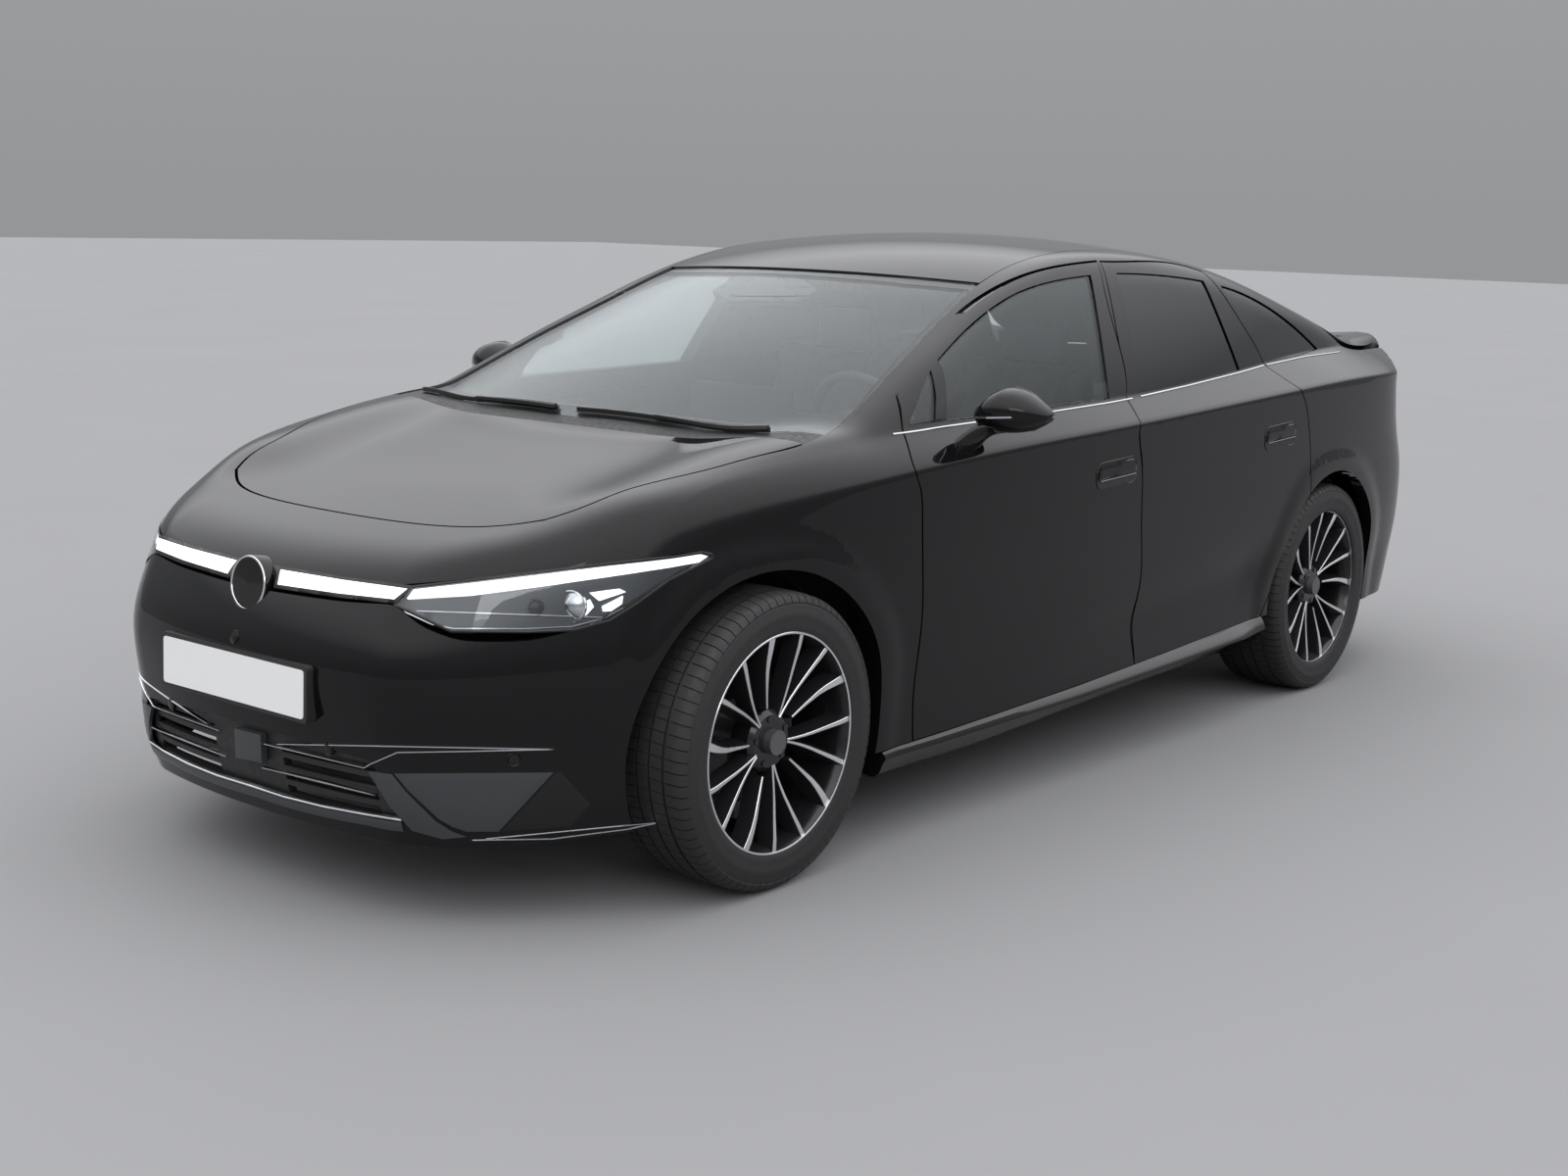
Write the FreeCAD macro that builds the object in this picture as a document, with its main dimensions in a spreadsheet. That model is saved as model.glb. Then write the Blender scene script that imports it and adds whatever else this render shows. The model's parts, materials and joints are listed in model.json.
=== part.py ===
import FreeCAD, Part
import Sketcher
import math
import os

# A five-door notchback sedan, built as separate panels, glasses, doors, wheels and cabin pieces.
# Units are millimetres. +Z is up, -Y is forward, +X is the car's left side, and the origin lies on
# the ground below the middle of the car. A station is a distance back from the tip of the nose.

Vector = FreeCAD.Vector

# Driving sizes: alias in the sheet, and its value
SIZES = (
    ("length", 4961), ("width", 1862), ("height", 1536),
    ("wheelbase", 2966), ("front_overhang", 880),
    ("tyre_diameter", 720), ("front_tyre_width", 235), ("rear_tyre_width", 255),
    ("rim_diameter", 534), ("rim_width", 230), ("rim_flange", 8), ("rim_wall", 22),
    ("bead_drop", 13), ("bead_gap", 0.3), ("tyre_shoulder", 40),
    ("front_wheel_plane", 795), ("rear_wheel_plane", 785),
    ("arch_clearance", 48), ("liner_wall", 6),
    ("shut_gap", 6), ("fixed_gap", 0.5), ("roof_gap", 3), ("seal_gap", 0.4),
    ("glass_gap", 0.4), ("bolt_gap", 0.3), ("jack_pad", 30), ("jack_pad_height", 10),
    ("door_depth", 50), ("flange_depth", 25), ("flange_lip", 24), ("sill_lip", 84), ("fender_depth", 20),
    ("hood_depth", 26), ("roof_depth", 34), ("tailgate_depth", 42), ("bumper_depth", 30),
    ("lamp_depth", 55), ("glass_depth", 5), ("glass_sunk", 5),
    ("badge_diameter", 126), ("badge_depth", 24), ("grille_depth", 22), ("slat_height", 14),
    ("crease_blend", 18), ("belt_blend", 12), ("roof_blend", 90), ("nose_blend", 100),
    ("tail_blend", 70), ("cowl_blend", 30), ("sill_tuck", 36), ("side_crown", 6),
    ("hood_shoulder", 20), ("hood_edge_drop", 30),
    ("floor_level", 300), ("floor_wall", 16), ("battery_height", 150),
    ("cabin_half_width", 770), ("bay_half_width", 470), ("rail_width", 70), ("rail_depth", 120),
    ("rail_level", 400), ("bulkhead_station", 1300), ("seat_riser_station", 3384),
    ("trunk_level", 620),
    ("disc_diameter", 320), ("disc_depth", 28), ("disc_inset", 60), ("hub_diameter", 144),
    ("spindle_diameter", 60), ("running_gap", 0.05), ("kingpin_diameter", 20),
    ("kingpin_plane", 760), ("spoke_width", 17), ("spoke_depth", 30), ("spoke_inset", 14),
    ("arm_width", 40), ("arm_depth", 14), ("arm_drop", 204), ("upright_plane", 695),
    ("steering_wheel_diameter", 370), ("steering_rim_diameter", 28),
    ("steering_shaft_diameter", 40), ("steering_angle", 24),
    ("seat_width", 520), ("seat_plane", 372), ("rear_seat_width", 1290),
    ("dash_width", 1420), ("console_width", 220),
    ("mirror_width", 190), ("mirror_height", 128), ("mirror_depth", 135), ("mirror_corner", 36),
    ("wiper_lift", 12),
)

doc = FreeCAD.newDocument("sedan")
sheet = doc.addObject("Spreadsheet::Sheet", "sizes")
for row, (alias, number) in enumerate(SIZES, start=1):
    sheet.set("A%d" % row, alias)
    sheet.set("B%d" % row, str(number))
    sheet.setAlias("B%d" % row, alias)
doc.recompute()


class Sizes:
    """The sheet's values by alias."""

    def __init__(self):
        for name, _ in SIZES:
            setattr(self, name, float(sheet.get(name)))


size = Sizes()
LENGTH = size.length
HALF = size.width / 2
HEIGHT = size.height
FRONT_AXLE = size.front_overhang
REAR_AXLE = size.front_overhang + size.wheelbase
WHEEL_RADIUS = size.tyre_diameter / 2
ARCH_RADIUS = WHEEL_RADIUS + size.arch_clearance
OVERRUN = size.width


def at(x, station, z):
    """A point of the row frame from a station."""
    return Vector(x, station - LENGTH / 2, z)


# The body's outer form


class Curve:
    """A natural cubic through hand-set shares of two sizes, straight beyond its ends."""

    def __init__(self, shares, unit, scale):
        self.arguments = [pair[0] * unit for pair in shares]
        self.values = [pair[1] * scale for pair in shares]
        self.bends = self.solve()
        self.known = {}

    def solve(self):
        count = len(self.arguments)
        steps = [self.arguments[i + 1] - self.arguments[i] for i in range(count - 1)]
        slopes = [(self.values[i + 1] - self.values[i]) / steps[i] for i in range(count - 1)]
        upper = [0.0] * count
        right = [0.0] * count
        for i in range(1, count - 1):
            pivot = 2 * (steps[i - 1] + steps[i]) - steps[i - 1] * upper[i - 1]
            upper[i] = steps[i] / pivot
            right[i] = (6 * (slopes[i] - slopes[i - 1]) - steps[i - 1] * right[i - 1]) / pivot
        bends = [0.0] * count
        for i in range(count - 2, 0, -1):
            bends[i] = right[i] - upper[i] * bends[i + 1]
        return bends

    def __call__(self, argument):
        if argument not in self.known:
            self.known[argument] = self.value(argument)
        return self.known[argument]

    def value(self, argument):
        places, values, bends = self.arguments, self.values, self.bends
        last = len(places) - 1
        if argument <= places[0]:
            step = places[1] - places[0]
            slope = (values[1] - values[0]) / step - step * bends[1] / 6
            return values[0] + slope * (argument - places[0])
        if argument >= places[last]:
            step = places[last] - places[last - 1]
            slope = (values[last] - values[last - 1]) / step + step * bends[last - 1] / 6
            return values[last] + slope * (argument - places[last])
        i = 0
        while argument > places[i + 1]:
            i += 1
        step = places[i + 1] - places[i]
        a = (places[i + 1] - argument) / step
        b = 1 - a
        bend = ((a ** 3 - a) * bends[i] + (b ** 3 - b) * bends[i + 1]) * step * step / 6
        return a * values[i] + b * values[i + 1] + bend


# Half width at the shoulder crease, by station, as shares of length and half width
crease_plane = Curve(
    ((0.0403, 0.913), (0.1109, 0.9592), (0.1774, 0.9839), (0.2822, 0.9925), (0.4838, 1.0),
     (0.645, 0.9979), (0.7761, 0.9936), (0.8668, 0.9774), (0.9373, 0.9474), (0.9998, 0.8915)),
    LENGTH, HALF)
# Height of the shoulder crease, as shares of length and height
crease_level = Curve(
    ((0.0403, 0.5208), (0.1109, 0.5586), (0.1774, 0.5898), (0.2762, 0.6237), (0.4969, 0.6582),
     (0.7116, 0.6855), (0.8406, 0.6973), (0.9272, 0.6901), (0.9998, 0.6706)), LENGTH, HEIGHT)
# Half width and height of the belt line under the side glass
belt_plane = Curve(
    ((0.0403, 0.7519), (0.1209, 0.8324), (0.1814, 0.8593), (0.258, 0.8754), (0.383, 0.8969),
     (0.5039, 0.9001), (0.6047, 0.8861), (0.7055, 0.8571), (0.8063, 0.8217), (0.8869, 0.7895),
     (0.9998, 0.7089)), LENGTH, HALF)
belt_level = Curve(
    ((0.0403, 0.5794), (0.1209, 0.625), (0.1814, 0.6543), (0.258, 0.6758), (0.3225, 0.6875),
     (0.4939, 0.6999), (0.6047, 0.7161), (0.7055, 0.7383), (0.8063, 0.7572), (0.8869, 0.7585),
     (0.9998, 0.7357)), LENGTH, HEIGHT)
# Centre line heights of the hood, and of the windscreen, roof and tail
hood_level = Curve(
    ((-0.0202, 0.4557), (0, 0.4935), (0.0171, 0.5189), (0.0403, 0.5423), (0.0605, 0.5592),
     (0.0847, 0.5781), (0.1209, 0.6055), (0.1613, 0.6328), (0.2157, 0.6647), (0.262, 0.6803),
     (0.3225, 0.6901)), LENGTH, HEIGHT)
roof_level = Curve(
    ((0.1814, 0.6217), (0.2177, 0.6725), (0.262, 0.7357), (0.3124, 0.806), (0.3628, 0.8704),
     (0.4031, 0.9193), (0.4435, 0.957), (0.4939, 0.9863), (0.5543, 0.9987), (0.6249, 0.9928),
     (0.7055, 0.9603), (0.7861, 0.9017), (0.8668, 0.832), (0.9272, 0.7728), (0.9675, 0.7324),
     (0.9817, 0.7194), (1.028, 0.6706)), LENGTH, HEIGHT)
# How far the roof falls, and how far a roof section runs back, from the middle to the sides
roof_fall = Curve(
    ((0.2016, 0), (0.262, 0.0078), (0.4233, 0.026), (0.5442, 0.0358), (0.6652, 0.0391),
     (0.8063, 0.0358), (0.9272, 0.0293), (1.008, 0.0228)), LENGTH, HEIGHT)
roof_bow = Curve(
    ((0.2016, 0.0252), (0.3225, 0.0212), (0.4233, 0.0151), (0.5442, 0), (0.6853, -0.0101),
     (0.8466, -0.0202), (1.008, -0.0242)), LENGTH, LENGTH)
# Stations of the nose and of the tail on the centre line, by height
nose_station = Curve(
    ((-0.0651, 0.0403), (0.0651, 0.0212), (0.1302, 0.0125), (0.1693, 0.0081), (0.2604, 0.0044),
     (0.3255, 0.0016), (0.3776, 0.0016), (0.4297, 0.0065), (0.4688, 0.0117), (0.5208, 0.0191),
     (0.5859, 0.0323), (0.7161, 0.0605)), HEIGHT, LENGTH)
tail_station = Curve(
    ((-0.0651, 0.9474), (0.0977, 0.9716), (0.1953, 0.9877), (0.293, 0.9968), (0.4036, 1.0),
     (0.4948, 0.9968), (0.5599, 0.9877), (0.638, 0.9817), (0.6901, 0.9806), (0.7292, 0.9827),
     (0.8464, 0.9877)), HEIGHT, LENGTH)

# Where single terms of the form start and how far they reach, as shares of half width, height
# or length
ROOF_REFERENCE_SHARE = 0.752
HOOD_RIDGE_SHARES = (0.709, 0.172)
HOOD_RIDGE_START_SHARES = (0.0605, 0.0706)
HOOD_EDGE_SHARES = (0.8056, 0.322)
TUCK_SHARES = (0.43, 0.234)
CROWN_SHARES = (0.521, 0.13)
TUMBLEHOME_SHARES = (0.40, 0.261)
NOSE_PLAN_SHARES = ((0.0, 0.483, 2.2, 0.0091), (0.451, 0.408, 1.9, 0.0605),
                    (0.838, 0.129, 2.0, 0.0706))
TAIL_PLAN_SHARES = ((0.0, 0.537, 2.2, 0.0101), (0.537, 0.376, 2.0, 0.0433),
                    (0.9345, 0.129, 2.0, 0.0706))
PROBE = size.length / 5000


def soft_low(a, b, blend):
    """The lower of two values, rounded where they meet."""
    near = max(blend - abs(a - b), 0.0) / blend
    return min(a, b) - near ** 3 * blend / 6


def soft_high(a, b, blend):
    """The higher of two values, rounded where they meet."""
    return -soft_low(-a, -b, blend)


def ease(share):
    """A smooth step from 0 to 1."""
    share = min(max(share, 0.0), 1.0)
    return share ** 3 * (share * (6 * share - 15) + 10)


def plan_curve(x, terms):
    """How far an end of the car falls back at a half width."""
    total = 0.0
    for start, reach, power, depth in terms:
        beyond = max(abs(x) / HALF - start, 0.0) / reach
        total += depth * LENGTH * beyond ** power
    return total


def top_level(x, station):
    """Height of the hood, windscreen, roof or tail above a point of the plan."""
    reach = abs(x)
    ridge_at, ridge_spread = HOOD_RIDGE_SHARES
    ridge_start, ridge_run = HOOD_RIDGE_START_SHARES
    edge_at, edge_reach = HOOD_EDGE_SHARES
    ridge = math.exp(-((reach / HALF - ridge_at) / ridge_spread) ** 2)
    ridge *= size.hood_shoulder * ease((station / LENGTH - ridge_start) / ridge_run)
    drop = size.hood_edge_drop * ease((reach / HALF - edge_at) / edge_reach)
    hood = hood_level(station) + ridge - drop
    out = (reach / (ROOF_REFERENCE_SHARE * HALF)) ** 2
    roof = roof_level(station - roof_bow(station) * out) - roof_fall(station) * out
    return soft_high(hood, roof, size.cowl_blend)


def side_plane(station, z):
    """Half width of the body side at a station and height."""
    widest = crease_plane(station)
    crease = crease_level(station)
    tuck_top, tuck_reach = TUCK_SHARES
    crown_from, crown_reach = CROWN_SHARES
    lower = widest - size.sill_tuck * ease((tuck_top - z / HEIGHT) / tuck_reach)
    if z > crown_from * HEIGHT:
        lower -= size.side_crown * ((z / HEIGHT - crown_from) / crown_reach) ** 2
    belt_x = belt_plane(station)
    belt_z = belt_level(station)
    shoulder = widest - (z - crease) * (widest - belt_x) / (belt_z - crease)
    lean, bend = TUMBLEHOME_SHARES
    above = max(z - belt_z, 0.0)
    glass = belt_x - lean * (z - belt_z) - bend * above * above / HEIGHT
    return soft_low(lower, soft_high(shoulder, glass, size.belt_blend), size.crease_blend)


def nose(x, z):
    """Station of the front end."""
    return nose_station(z) + plan_curve(x, NOSE_PLAN_SHARES)


def tail(x, z):
    """Station of the rear end."""
    return tail_station(z) - plan_curve(x, TAIL_PLAN_SHARES)


def inside(x, station, z):
    """About the distance to the outer form, positive inside it."""
    x = abs(x)
    depth = side_plane(station, z) - x
    level = top_level(x, station)
    rise_x = (top_level(x + PROBE, station) - level) / PROBE
    rise_s = (top_level(x, station + PROBE) - level) / PROBE
    below = (level - z) / math.sqrt(1 + rise_x ** 2 + rise_s ** 2)
    depth = soft_low(depth, below, size.roof_blend)
    if station < LENGTH / 2:
        end = nose(x, z)
        run_x = (nose(x + PROBE, z) - end) / PROBE
        run_z = (nose(x, z + PROBE) - end) / PROBE
        ahead = (station - end) / math.sqrt(1 + run_x ** 2 + run_z ** 2)
        return soft_low(depth, ahead, size.nose_blend)
    end = tail(x, z)
    run_x = (tail(x + PROBE, z) - end) / PROBE
    run_z = (tail(x, z + PROBE) - end) / PROBE
    behind = (end - station) / math.sqrt(1 + run_x ** 2 + run_z ** 2)
    return soft_low(depth, behind, size.tail_blend)


# Charts: grids of points on the form, each with the ray that it was found along

ROOTS = 14
REACH = size.width / 6
TINY = size.length / 1e6


def on_form(target, ray):
    """The point where a ray through a target near the form leaves it, with that ray."""
    x, station, z = target
    dx, ds, dz = ray
    near, far = -REACH, REACH * 1.4
    value_near = inside(x + near * dx, station + near * ds, z + near * dz)
    value_far = inside(x + far * dx, station + far * ds, z + far * dz)
    here = near
    kept = 0
    for _ in range(ROOTS):
        here = (near * value_far - far * value_near) / (value_far - value_near)
        value = inside(x + here * dx, station + here * ds, z + here * dz)
        if abs(value) < TINY:
            break
        if value > 0:
            near, value_near = here, value
            if kept > 0:
                value_far /= 2
            kept = 1
        else:
            far, value_far = here, value
            if kept < 0:
                value_near /= 2
            kept = -1
    return at(x + here * dx, station + here * ds, z + here * dz), Vector(dx, ds, dz)


def blend(a, b, share):
    return a + (b - a) * share


def knots(count, degree):
    """Clamped uniform knots and their multiplicities."""
    spans = count - degree
    return [float(i) for i in range(spans + 1)], [degree + 1] + [1] * (spans - 1) + [degree + 1]


def spline_face(poles):
    """A face over a grid of poles, cubic along each long side."""
    degree_u = min(3, len(poles) - 1)
    degree_v = min(3, len(poles[0]) - 1)
    knots_u, counts_u = knots(len(poles), degree_u)
    knots_v, counts_v = knots(len(poles[0]), degree_v)
    surface = Part.BSplineSurface()
    surface.buildFromPolesMultsKnots(
        poles, counts_u, counts_v, knots_u, knots_v, False, False, degree_u, degree_v)
    return surface.toShape()


def block(grid, outer, inner):
    """The solid between two depths below a chart."""
    high = [[point - ray * outer for point, ray in column] for column in grid]
    low = [[point - ray * inner for point, ray in column] for column in grid]
    faces = [spline_face(high), spline_face(low)]
    edges = (
        (high[0], low[0]), (high[-1], low[-1]),
        ([column[0] for column in high], [column[0] for column in low]),
        ([column[-1] for column in high], [column[-1] for column in low]))
    for upper_edge, lower_edge in edges:
        faces.append(spline_face([[a, b] for a, b in zip(upper_edge, lower_edge)]))
    shell = Part.makeShell(faces)
    shell.sewShape()
    solid = Part.makeSolid(shell)
    if solid.Volume < 0:
        solid.reverse()
    return solid


def shares_between(count):
    return [i / (count - 1) for i in range(count)]


# Outlines and prisms


def edge_through(points):
    """A line, or a smooth curve through three or more points."""
    if len(points) == 2:
        return Part.makeLine(points[0], points[1])
    curve = Part.BSplineCurve()
    curve.interpolate(points)
    return curve.toShape()


def wire_through(runs):
    return Part.Wire([edge_through(run) for run in runs])


def normal_of(a, b, turn):
    """The outward normal of a step in the plane of an outline."""
    dx, dy = b[0] - a[0], b[1] - a[1]
    reach = math.hypot(dx, dy)
    return (dy / reach * turn, -dx / reach * turn)


def turning(runs):
    """1 for an outline that runs anticlockwise, -1 for one that runs clockwise."""
    corners = [point for run in runs for point in run[:-1]]
    area = 0.0
    for (ax, ay), (bx, by) in zip(corners, corners[1:] + corners[:1]):
        area += ax * by - bx * ay
    return 1 if area > 0 else -1


def grown(runs, amounts):
    """An outline moved outward; amounts(i, point) gives the growth of run i at a point."""
    turn = turning(runs)
    moved = []
    for i, run in enumerate(runs):
        before = runs[i - 1]
        after = runs[(i + 1) % len(runs)]
        points = []
        for k, point in enumerate(run):
            if k == 0:
                first = normal_of(before[-2], before[-1], turn)
                second = normal_of(run[0], run[1], turn)
                amount = (amounts((i - 1) % len(runs), point), amounts(i, point))
            elif k == len(run) - 1:
                first = normal_of(run[-2], run[-1], turn)
                second = normal_of(after[0], after[1], turn)
                amount = (amounts(i, point), amounts((i + 1) % len(runs), point))
            else:
                first = normal_of(run[k - 1], run[k + 1], turn)
                second = first
                amount = (amounts(i, point), amounts(i, point))
            points.append(corner(point, first, second, amount))
        moved.append(points)
    return moved


def corner(point, first, second, amount):
    """A point moved so that both sides that meet there move out by their amounts."""
    cross = first[0] * second[1] - first[1] * second[0]
    if abs(cross) < math.sin(math.radians(12)):
        mean = (amount[0] + amount[1]) / 2
        nx, ny = first[0] + second[0], first[1] + second[1]
        reach = math.hypot(nx, ny)
        return (point[0] + nx / reach * mean, point[1] + ny / reach * mean)
    dx = (amount[0] * second[1] - amount[1] * first[1]) / cross
    dy = (amount[1] * first[0] - amount[0] * second[0]) / cross
    return (point[0] + dx, point[1] + dy)


def by(amount):
    return lambda i, point: amount


def side_prism(runs, near=0.0, far=None):
    """A side-view outline of stations and heights, extruded across one half of the car."""
    far = OVERRUN if far is None else far
    face = Part.Face(wire_through([[at(near, s, z) for s, z in run] for run in runs]))
    return face.extrude(Vector(far - near, 0, 0))


def plan_prism(runs, low=0.0, high=None):
    """A plan outline of half widths and stations, extruded upward."""
    high = 2 * HEIGHT if high is None else high
    face = Part.Face(wire_through([[at(x, s, low) for x, s in run] for run in runs]))
    return face.extrude(Vector(0, 0, high - low))


def plug(runs, slants, growth):
    """A side-view outline on the form, extruded so that it narrows inward by each run's slant."""
    planes = (1.1 * HALF, 0.45 * HALF)
    wires = []
    for plane in planes:
        def amount(i, point):
            return growth + slants[i] * (plane - side_plane(point[0], point[1]))
        outline = grown(runs, amount)
        wires.append(wire_through([[at(plane, s, z) for s, z in run] for run in outline]))
    return Part.makeLoft(wires, True, True)


def mirrored(shape):
    return shape.mirror(Vector(0, 0, 0), Vector(1, 0, 0))


def scaled(shares, across, up):
    return [(a * across, b * up) for a, b in shares]


def closed(*runs):
    """Runs joined end to start into one outline, with straight steps where they don't meet."""
    joined = []
    for i, run in enumerate(runs):
        if runs[i - 1][-1] != run[0]:
            joined.append([runs[i - 1][-1], run[0]])
        joined.append(list(run))
    return joined


nodes = {}


def panel(name, shape):
    """Store a free-form sub-part as an object of the document."""
    feature = doc.addObject("Part::Feature", name)
    feature.Label = name
    feature.Shape = shape
    feature.Placement = FreeCAD.Placement()
    nodes[name] = feature
    return feature


# Outlines in side view, as shares of length and height

SILL_SHARES = ((0.2614, 0.1654), (0.3161, 0.1667), (0.4533, 0.1758), (0.5709, 0.1901),
               (0.6841, 0.2057))
FRONT_CUT_SHARES = ((0.2897, 0.6771), (0.2842, 0.6445), (0.2824, 0.6211), (0.2828, 0.5534),
                    (0.2852, 0.4329), (0.2878, 0.293), (0.2907, 0.1662))
PILLAR_CUT_SHARES = ((0.5356, 0.9544), (0.5217, 0.8118), (0.5118, 0.7044), (0.4975, 0.6562),
                     (0.5001, 0.5911), (0.5029, 0.4967), (0.51, 0.3418), (0.519, 0.1825))
FRONT_FRAME_SHARES = ((0.2897, 0.6771), (0.3, 0.7378), (0.328, 0.7858), (0.3739, 0.847),
                      (0.414, 0.8965), (0.4501, 0.9277), (0.4898, 0.9453), (0.5356, 0.9544))
REAR_FRAME_SHARES = ((0.5356, 0.9544), (0.6096, 0.9538), (0.645, 0.9453), (0.6672, 0.9323))
REAR_CUT_SHARES = ((0.6672, 0.9323), (0.6743, 0.9076), (0.6914, 0.8268), (0.7069, 0.7324),
                   (0.7116, 0.6966), (0.7186, 0.6738), (0.7257, 0.6217), (0.7313, 0.5729),
                   (0.7329, 0.5143), (0.7329, 0.4557))
FRONT_SILL_SHARES = ((0.2907, 0.1662), (0.4051, 0.172), (0.519, 0.1825))
REAR_SILL_SHARES = ((0.519, 0.1825), (0.6, 0.193), (0.6841, 0.2057))
REAR_HEEL_SHARES = ((0.6841, 0.2057), (0.7329, 0.4557))
# Side glass openings
CORNER_GLASS_SHARES = (((0.2975, 0.6935), (0.319, 0.6945)), ((0.319, 0.6945), (0.3335, 0.775)),
                       ((0.3335, 0.775), (0.3135, 0.7335), (0.2975, 0.6935)))
FRONT_GLASS_SHARES = (
    ((0.3285, 0.6935), (0.4138, 0.6985), (0.492, 0.7045)),
    ((0.492, 0.7045), (0.5035, 0.81), (0.5176, 0.929)),
    ((0.5176, 0.929), (0.4799, 0.9206), (0.436, 0.8991), (0.3929, 0.8568), (0.3431, 0.7904)),
    ((0.3431, 0.7904), (0.3285, 0.6935)))
REAR_GLASS_SHARES = (
    ((0.5285, 0.7095), (0.588, 0.7181), (0.6674, 0.7337)),
    ((0.6674, 0.7337), (0.6587, 0.9141)),
    ((0.6587, 0.9141), (0.6049, 0.9271), (0.5487, 0.9323)),
    ((0.5487, 0.9323), (0.539, 0.82), (0.5285, 0.7095)))
QUARTER_GLASS_SHARES = (
    ((0.7115, 0.7445), (0.7748, 0.7526), (0.803, 0.76)),
    ((0.803, 0.76), (0.7454, 0.8529), (0.6805, 0.9035)),
    ((0.6805, 0.9035), (0.7115, 0.7445)))

# Plan lines, as shares of half width and length
HOOD_SIDE_SHARES = ((0.0875, 0.6101), (0.1018, 0.6595), (0.1213, 0.681), (0.1415, 0.7207),
                    (0.1657, 0.7712), (0.1903, 0.7981), (0.2088, 0.8195), (0.2237, 0.8238))
HOOD_FRONT_SHARES = ((0, 0.0619), (0.415, 0.0631), (0.639, 0.0665), (0.822, 0.0736), (1.0, 0.0875))
# The line between the body sides and the hood, windscreen, roof and tailgate
CANT_SHARES = ((0.0875, 0.6101), (0.1018, 0.6595), (0.1213, 0.681), (0.1415, 0.7207),
               (0.1657, 0.7712), (0.1903, 0.7981), (0.2088, 0.8195), (0.2265, 0.822),
               (0.2465, 0.8002), (0.3225, 0.7304), (0.4267, 0.6294), (0.5241, 0.6069),
               (0.645, 0.6069), (0.6954, 0.6101), (0.766, 0.6445), (0.8063, 0.70),
               (0.8264, 0.755), (0.8446, 0.80), (0.8587, 0.818), (0.885, 0.815), (0.91, 0.795),
               (0.9373, 0.77))
cant_plane = Curve(CANT_SHARES, LENGTH, HALF)
hood_side = Curve(HOOD_SIDE_SHARES, LENGTH, HALF)
hood_front = Curve(HOOD_FRONT_SHARES, 1.0, LENGTH)

# Body side chart: heights of its lower rows as shares of height, then steps about the crease, each
# with the rise of its rays in degrees, then shares of the way to the belt and to the cant line
LOWER_ROW_SHARES = ((0.112, 0), (0.14, 0), (0.18, 0), (0.23, 0), (0.29, 1), (0.36, 2), (0.43, 3),
                    (0.5, 5))
CREASE_ROWS = ((-1.9, 7), (-0.7, 8), (0.0, 9), (0.7, 10))
BELT_ROW_SHARES = (0.5, 0.82, 1.0)
UPPER_ROW_SHARES = (0.04, 0.16, 0.34, 0.52, 0.68, 0.8, 0.88, 0.94, 0.975, 1.0)
SHOULDER_SHARE = 0.35
FIRST_RISE, LAST_RISE, RISE_POWER = 10, 66, 1.7


def side_targets(station):
    """Where the rows of the body side chart meet one section, and how steeply."""
    widest, crease = crease_plane(station), crease_level(station)
    rows = []
    for share, rise in LOWER_ROW_SHARES:
        rows.append((side_plane(station, share * HEIGHT), share * HEIGHT, rise))
    for step, rise in CREASE_ROWS:
        rows.append((widest, crease + step * size.crease_blend, rise))
    cant = cant_plane(station)
    top = on_form((cant, station, top_level(cant, station)), (0, 0, 1))[0]
    belt_x, belt_z = belt_plane(station), belt_level(station)
    nearest = cant + SHOULDER_SHARE * (widest - cant)
    if belt_x < nearest:
        belt_x = nearest
        found = on_form((belt_x, station, top_level(belt_x, station)), (0, 0, 1))[0]
        belt_z = max(found.z, blend(crease, top.z, SHOULDER_SHARE))
    lower_run = math.hypot(widest - belt_x, belt_z - crease)
    upper_run = math.hypot(belt_x - cant, top.z - belt_z)
    for share in BELT_ROW_SHARES + UPPER_ROW_SHARES:
        on_belt = len(rows) < len(LOWER_ROW_SHARES + CREASE_ROWS + BELT_ROW_SHARES)
        if on_belt:
            x, z = blend(widest, belt_x, share), blend(crease, belt_z, share)
            run = lower_run * share
        else:
            x, z = blend(belt_x, cant, share), blend(belt_z, top.z, share)
            run = lower_run + upper_run * share
        way = run / (lower_run + upper_run)
        rows.append((x, z, blend(FIRST_RISE, LAST_RISE, way ** RISE_POWER)))
    return rows


def side_chart(start, end, count, first=0, last=None):
    """The body side between two stations, and between two of its rows."""
    grid = []
    for share in shares_between(count):
        station = blend(start, end, share)
        column = []
        for x, z, rise in side_targets(station)[first:last]:
            ray = (math.cos(math.radians(rise)), 0, math.sin(math.radians(rise)))
            column.append(on_form((x, station, z), ray))
        grid.append(column)
    return grid


def arch_tool(axle, radius, near):
    """A cylinder along X that clears one wheel."""
    return Part.makeCylinder(radius, OVERRUN, at(near, axle, WHEEL_RADIUS), Vector(1, 0, 0))


def outline(*share_runs):
    return closed(*[scaled(run, LENGTH, HEIGHT) for run in share_runs])


FRONT_DOOR = outline(FRONT_FRAME_SHARES, PILLAR_CUT_SHARES, FRONT_SILL_SHARES[::-1],
                     FRONT_CUT_SHARES[::-1])
REAR_DOOR = outline(REAR_FRAME_SHARES, REAR_CUT_SHARES, REAR_HEEL_SHARES[::-1],
                    REAR_SILL_SHARES[::-1], PILLAR_CUT_SHARES[::-1])
FRONT_SLANTS = (0.05, 0.22, 0.0, 0.75)
REAR_SLANTS = (0.12, 0.24, 0.0, 0.0, 0.75)
FRONT_WINDOWS = (outline(*CORNER_GLASS_SHARES), outline(*FRONT_GLASS_SHARES))
REAR_WINDOWS = (outline(*REAR_GLASS_SHARES),)
QUARTER_WINDOW = outline(*QUARTER_GLASS_SHARES)

# More plan and side lines, as shares

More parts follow.
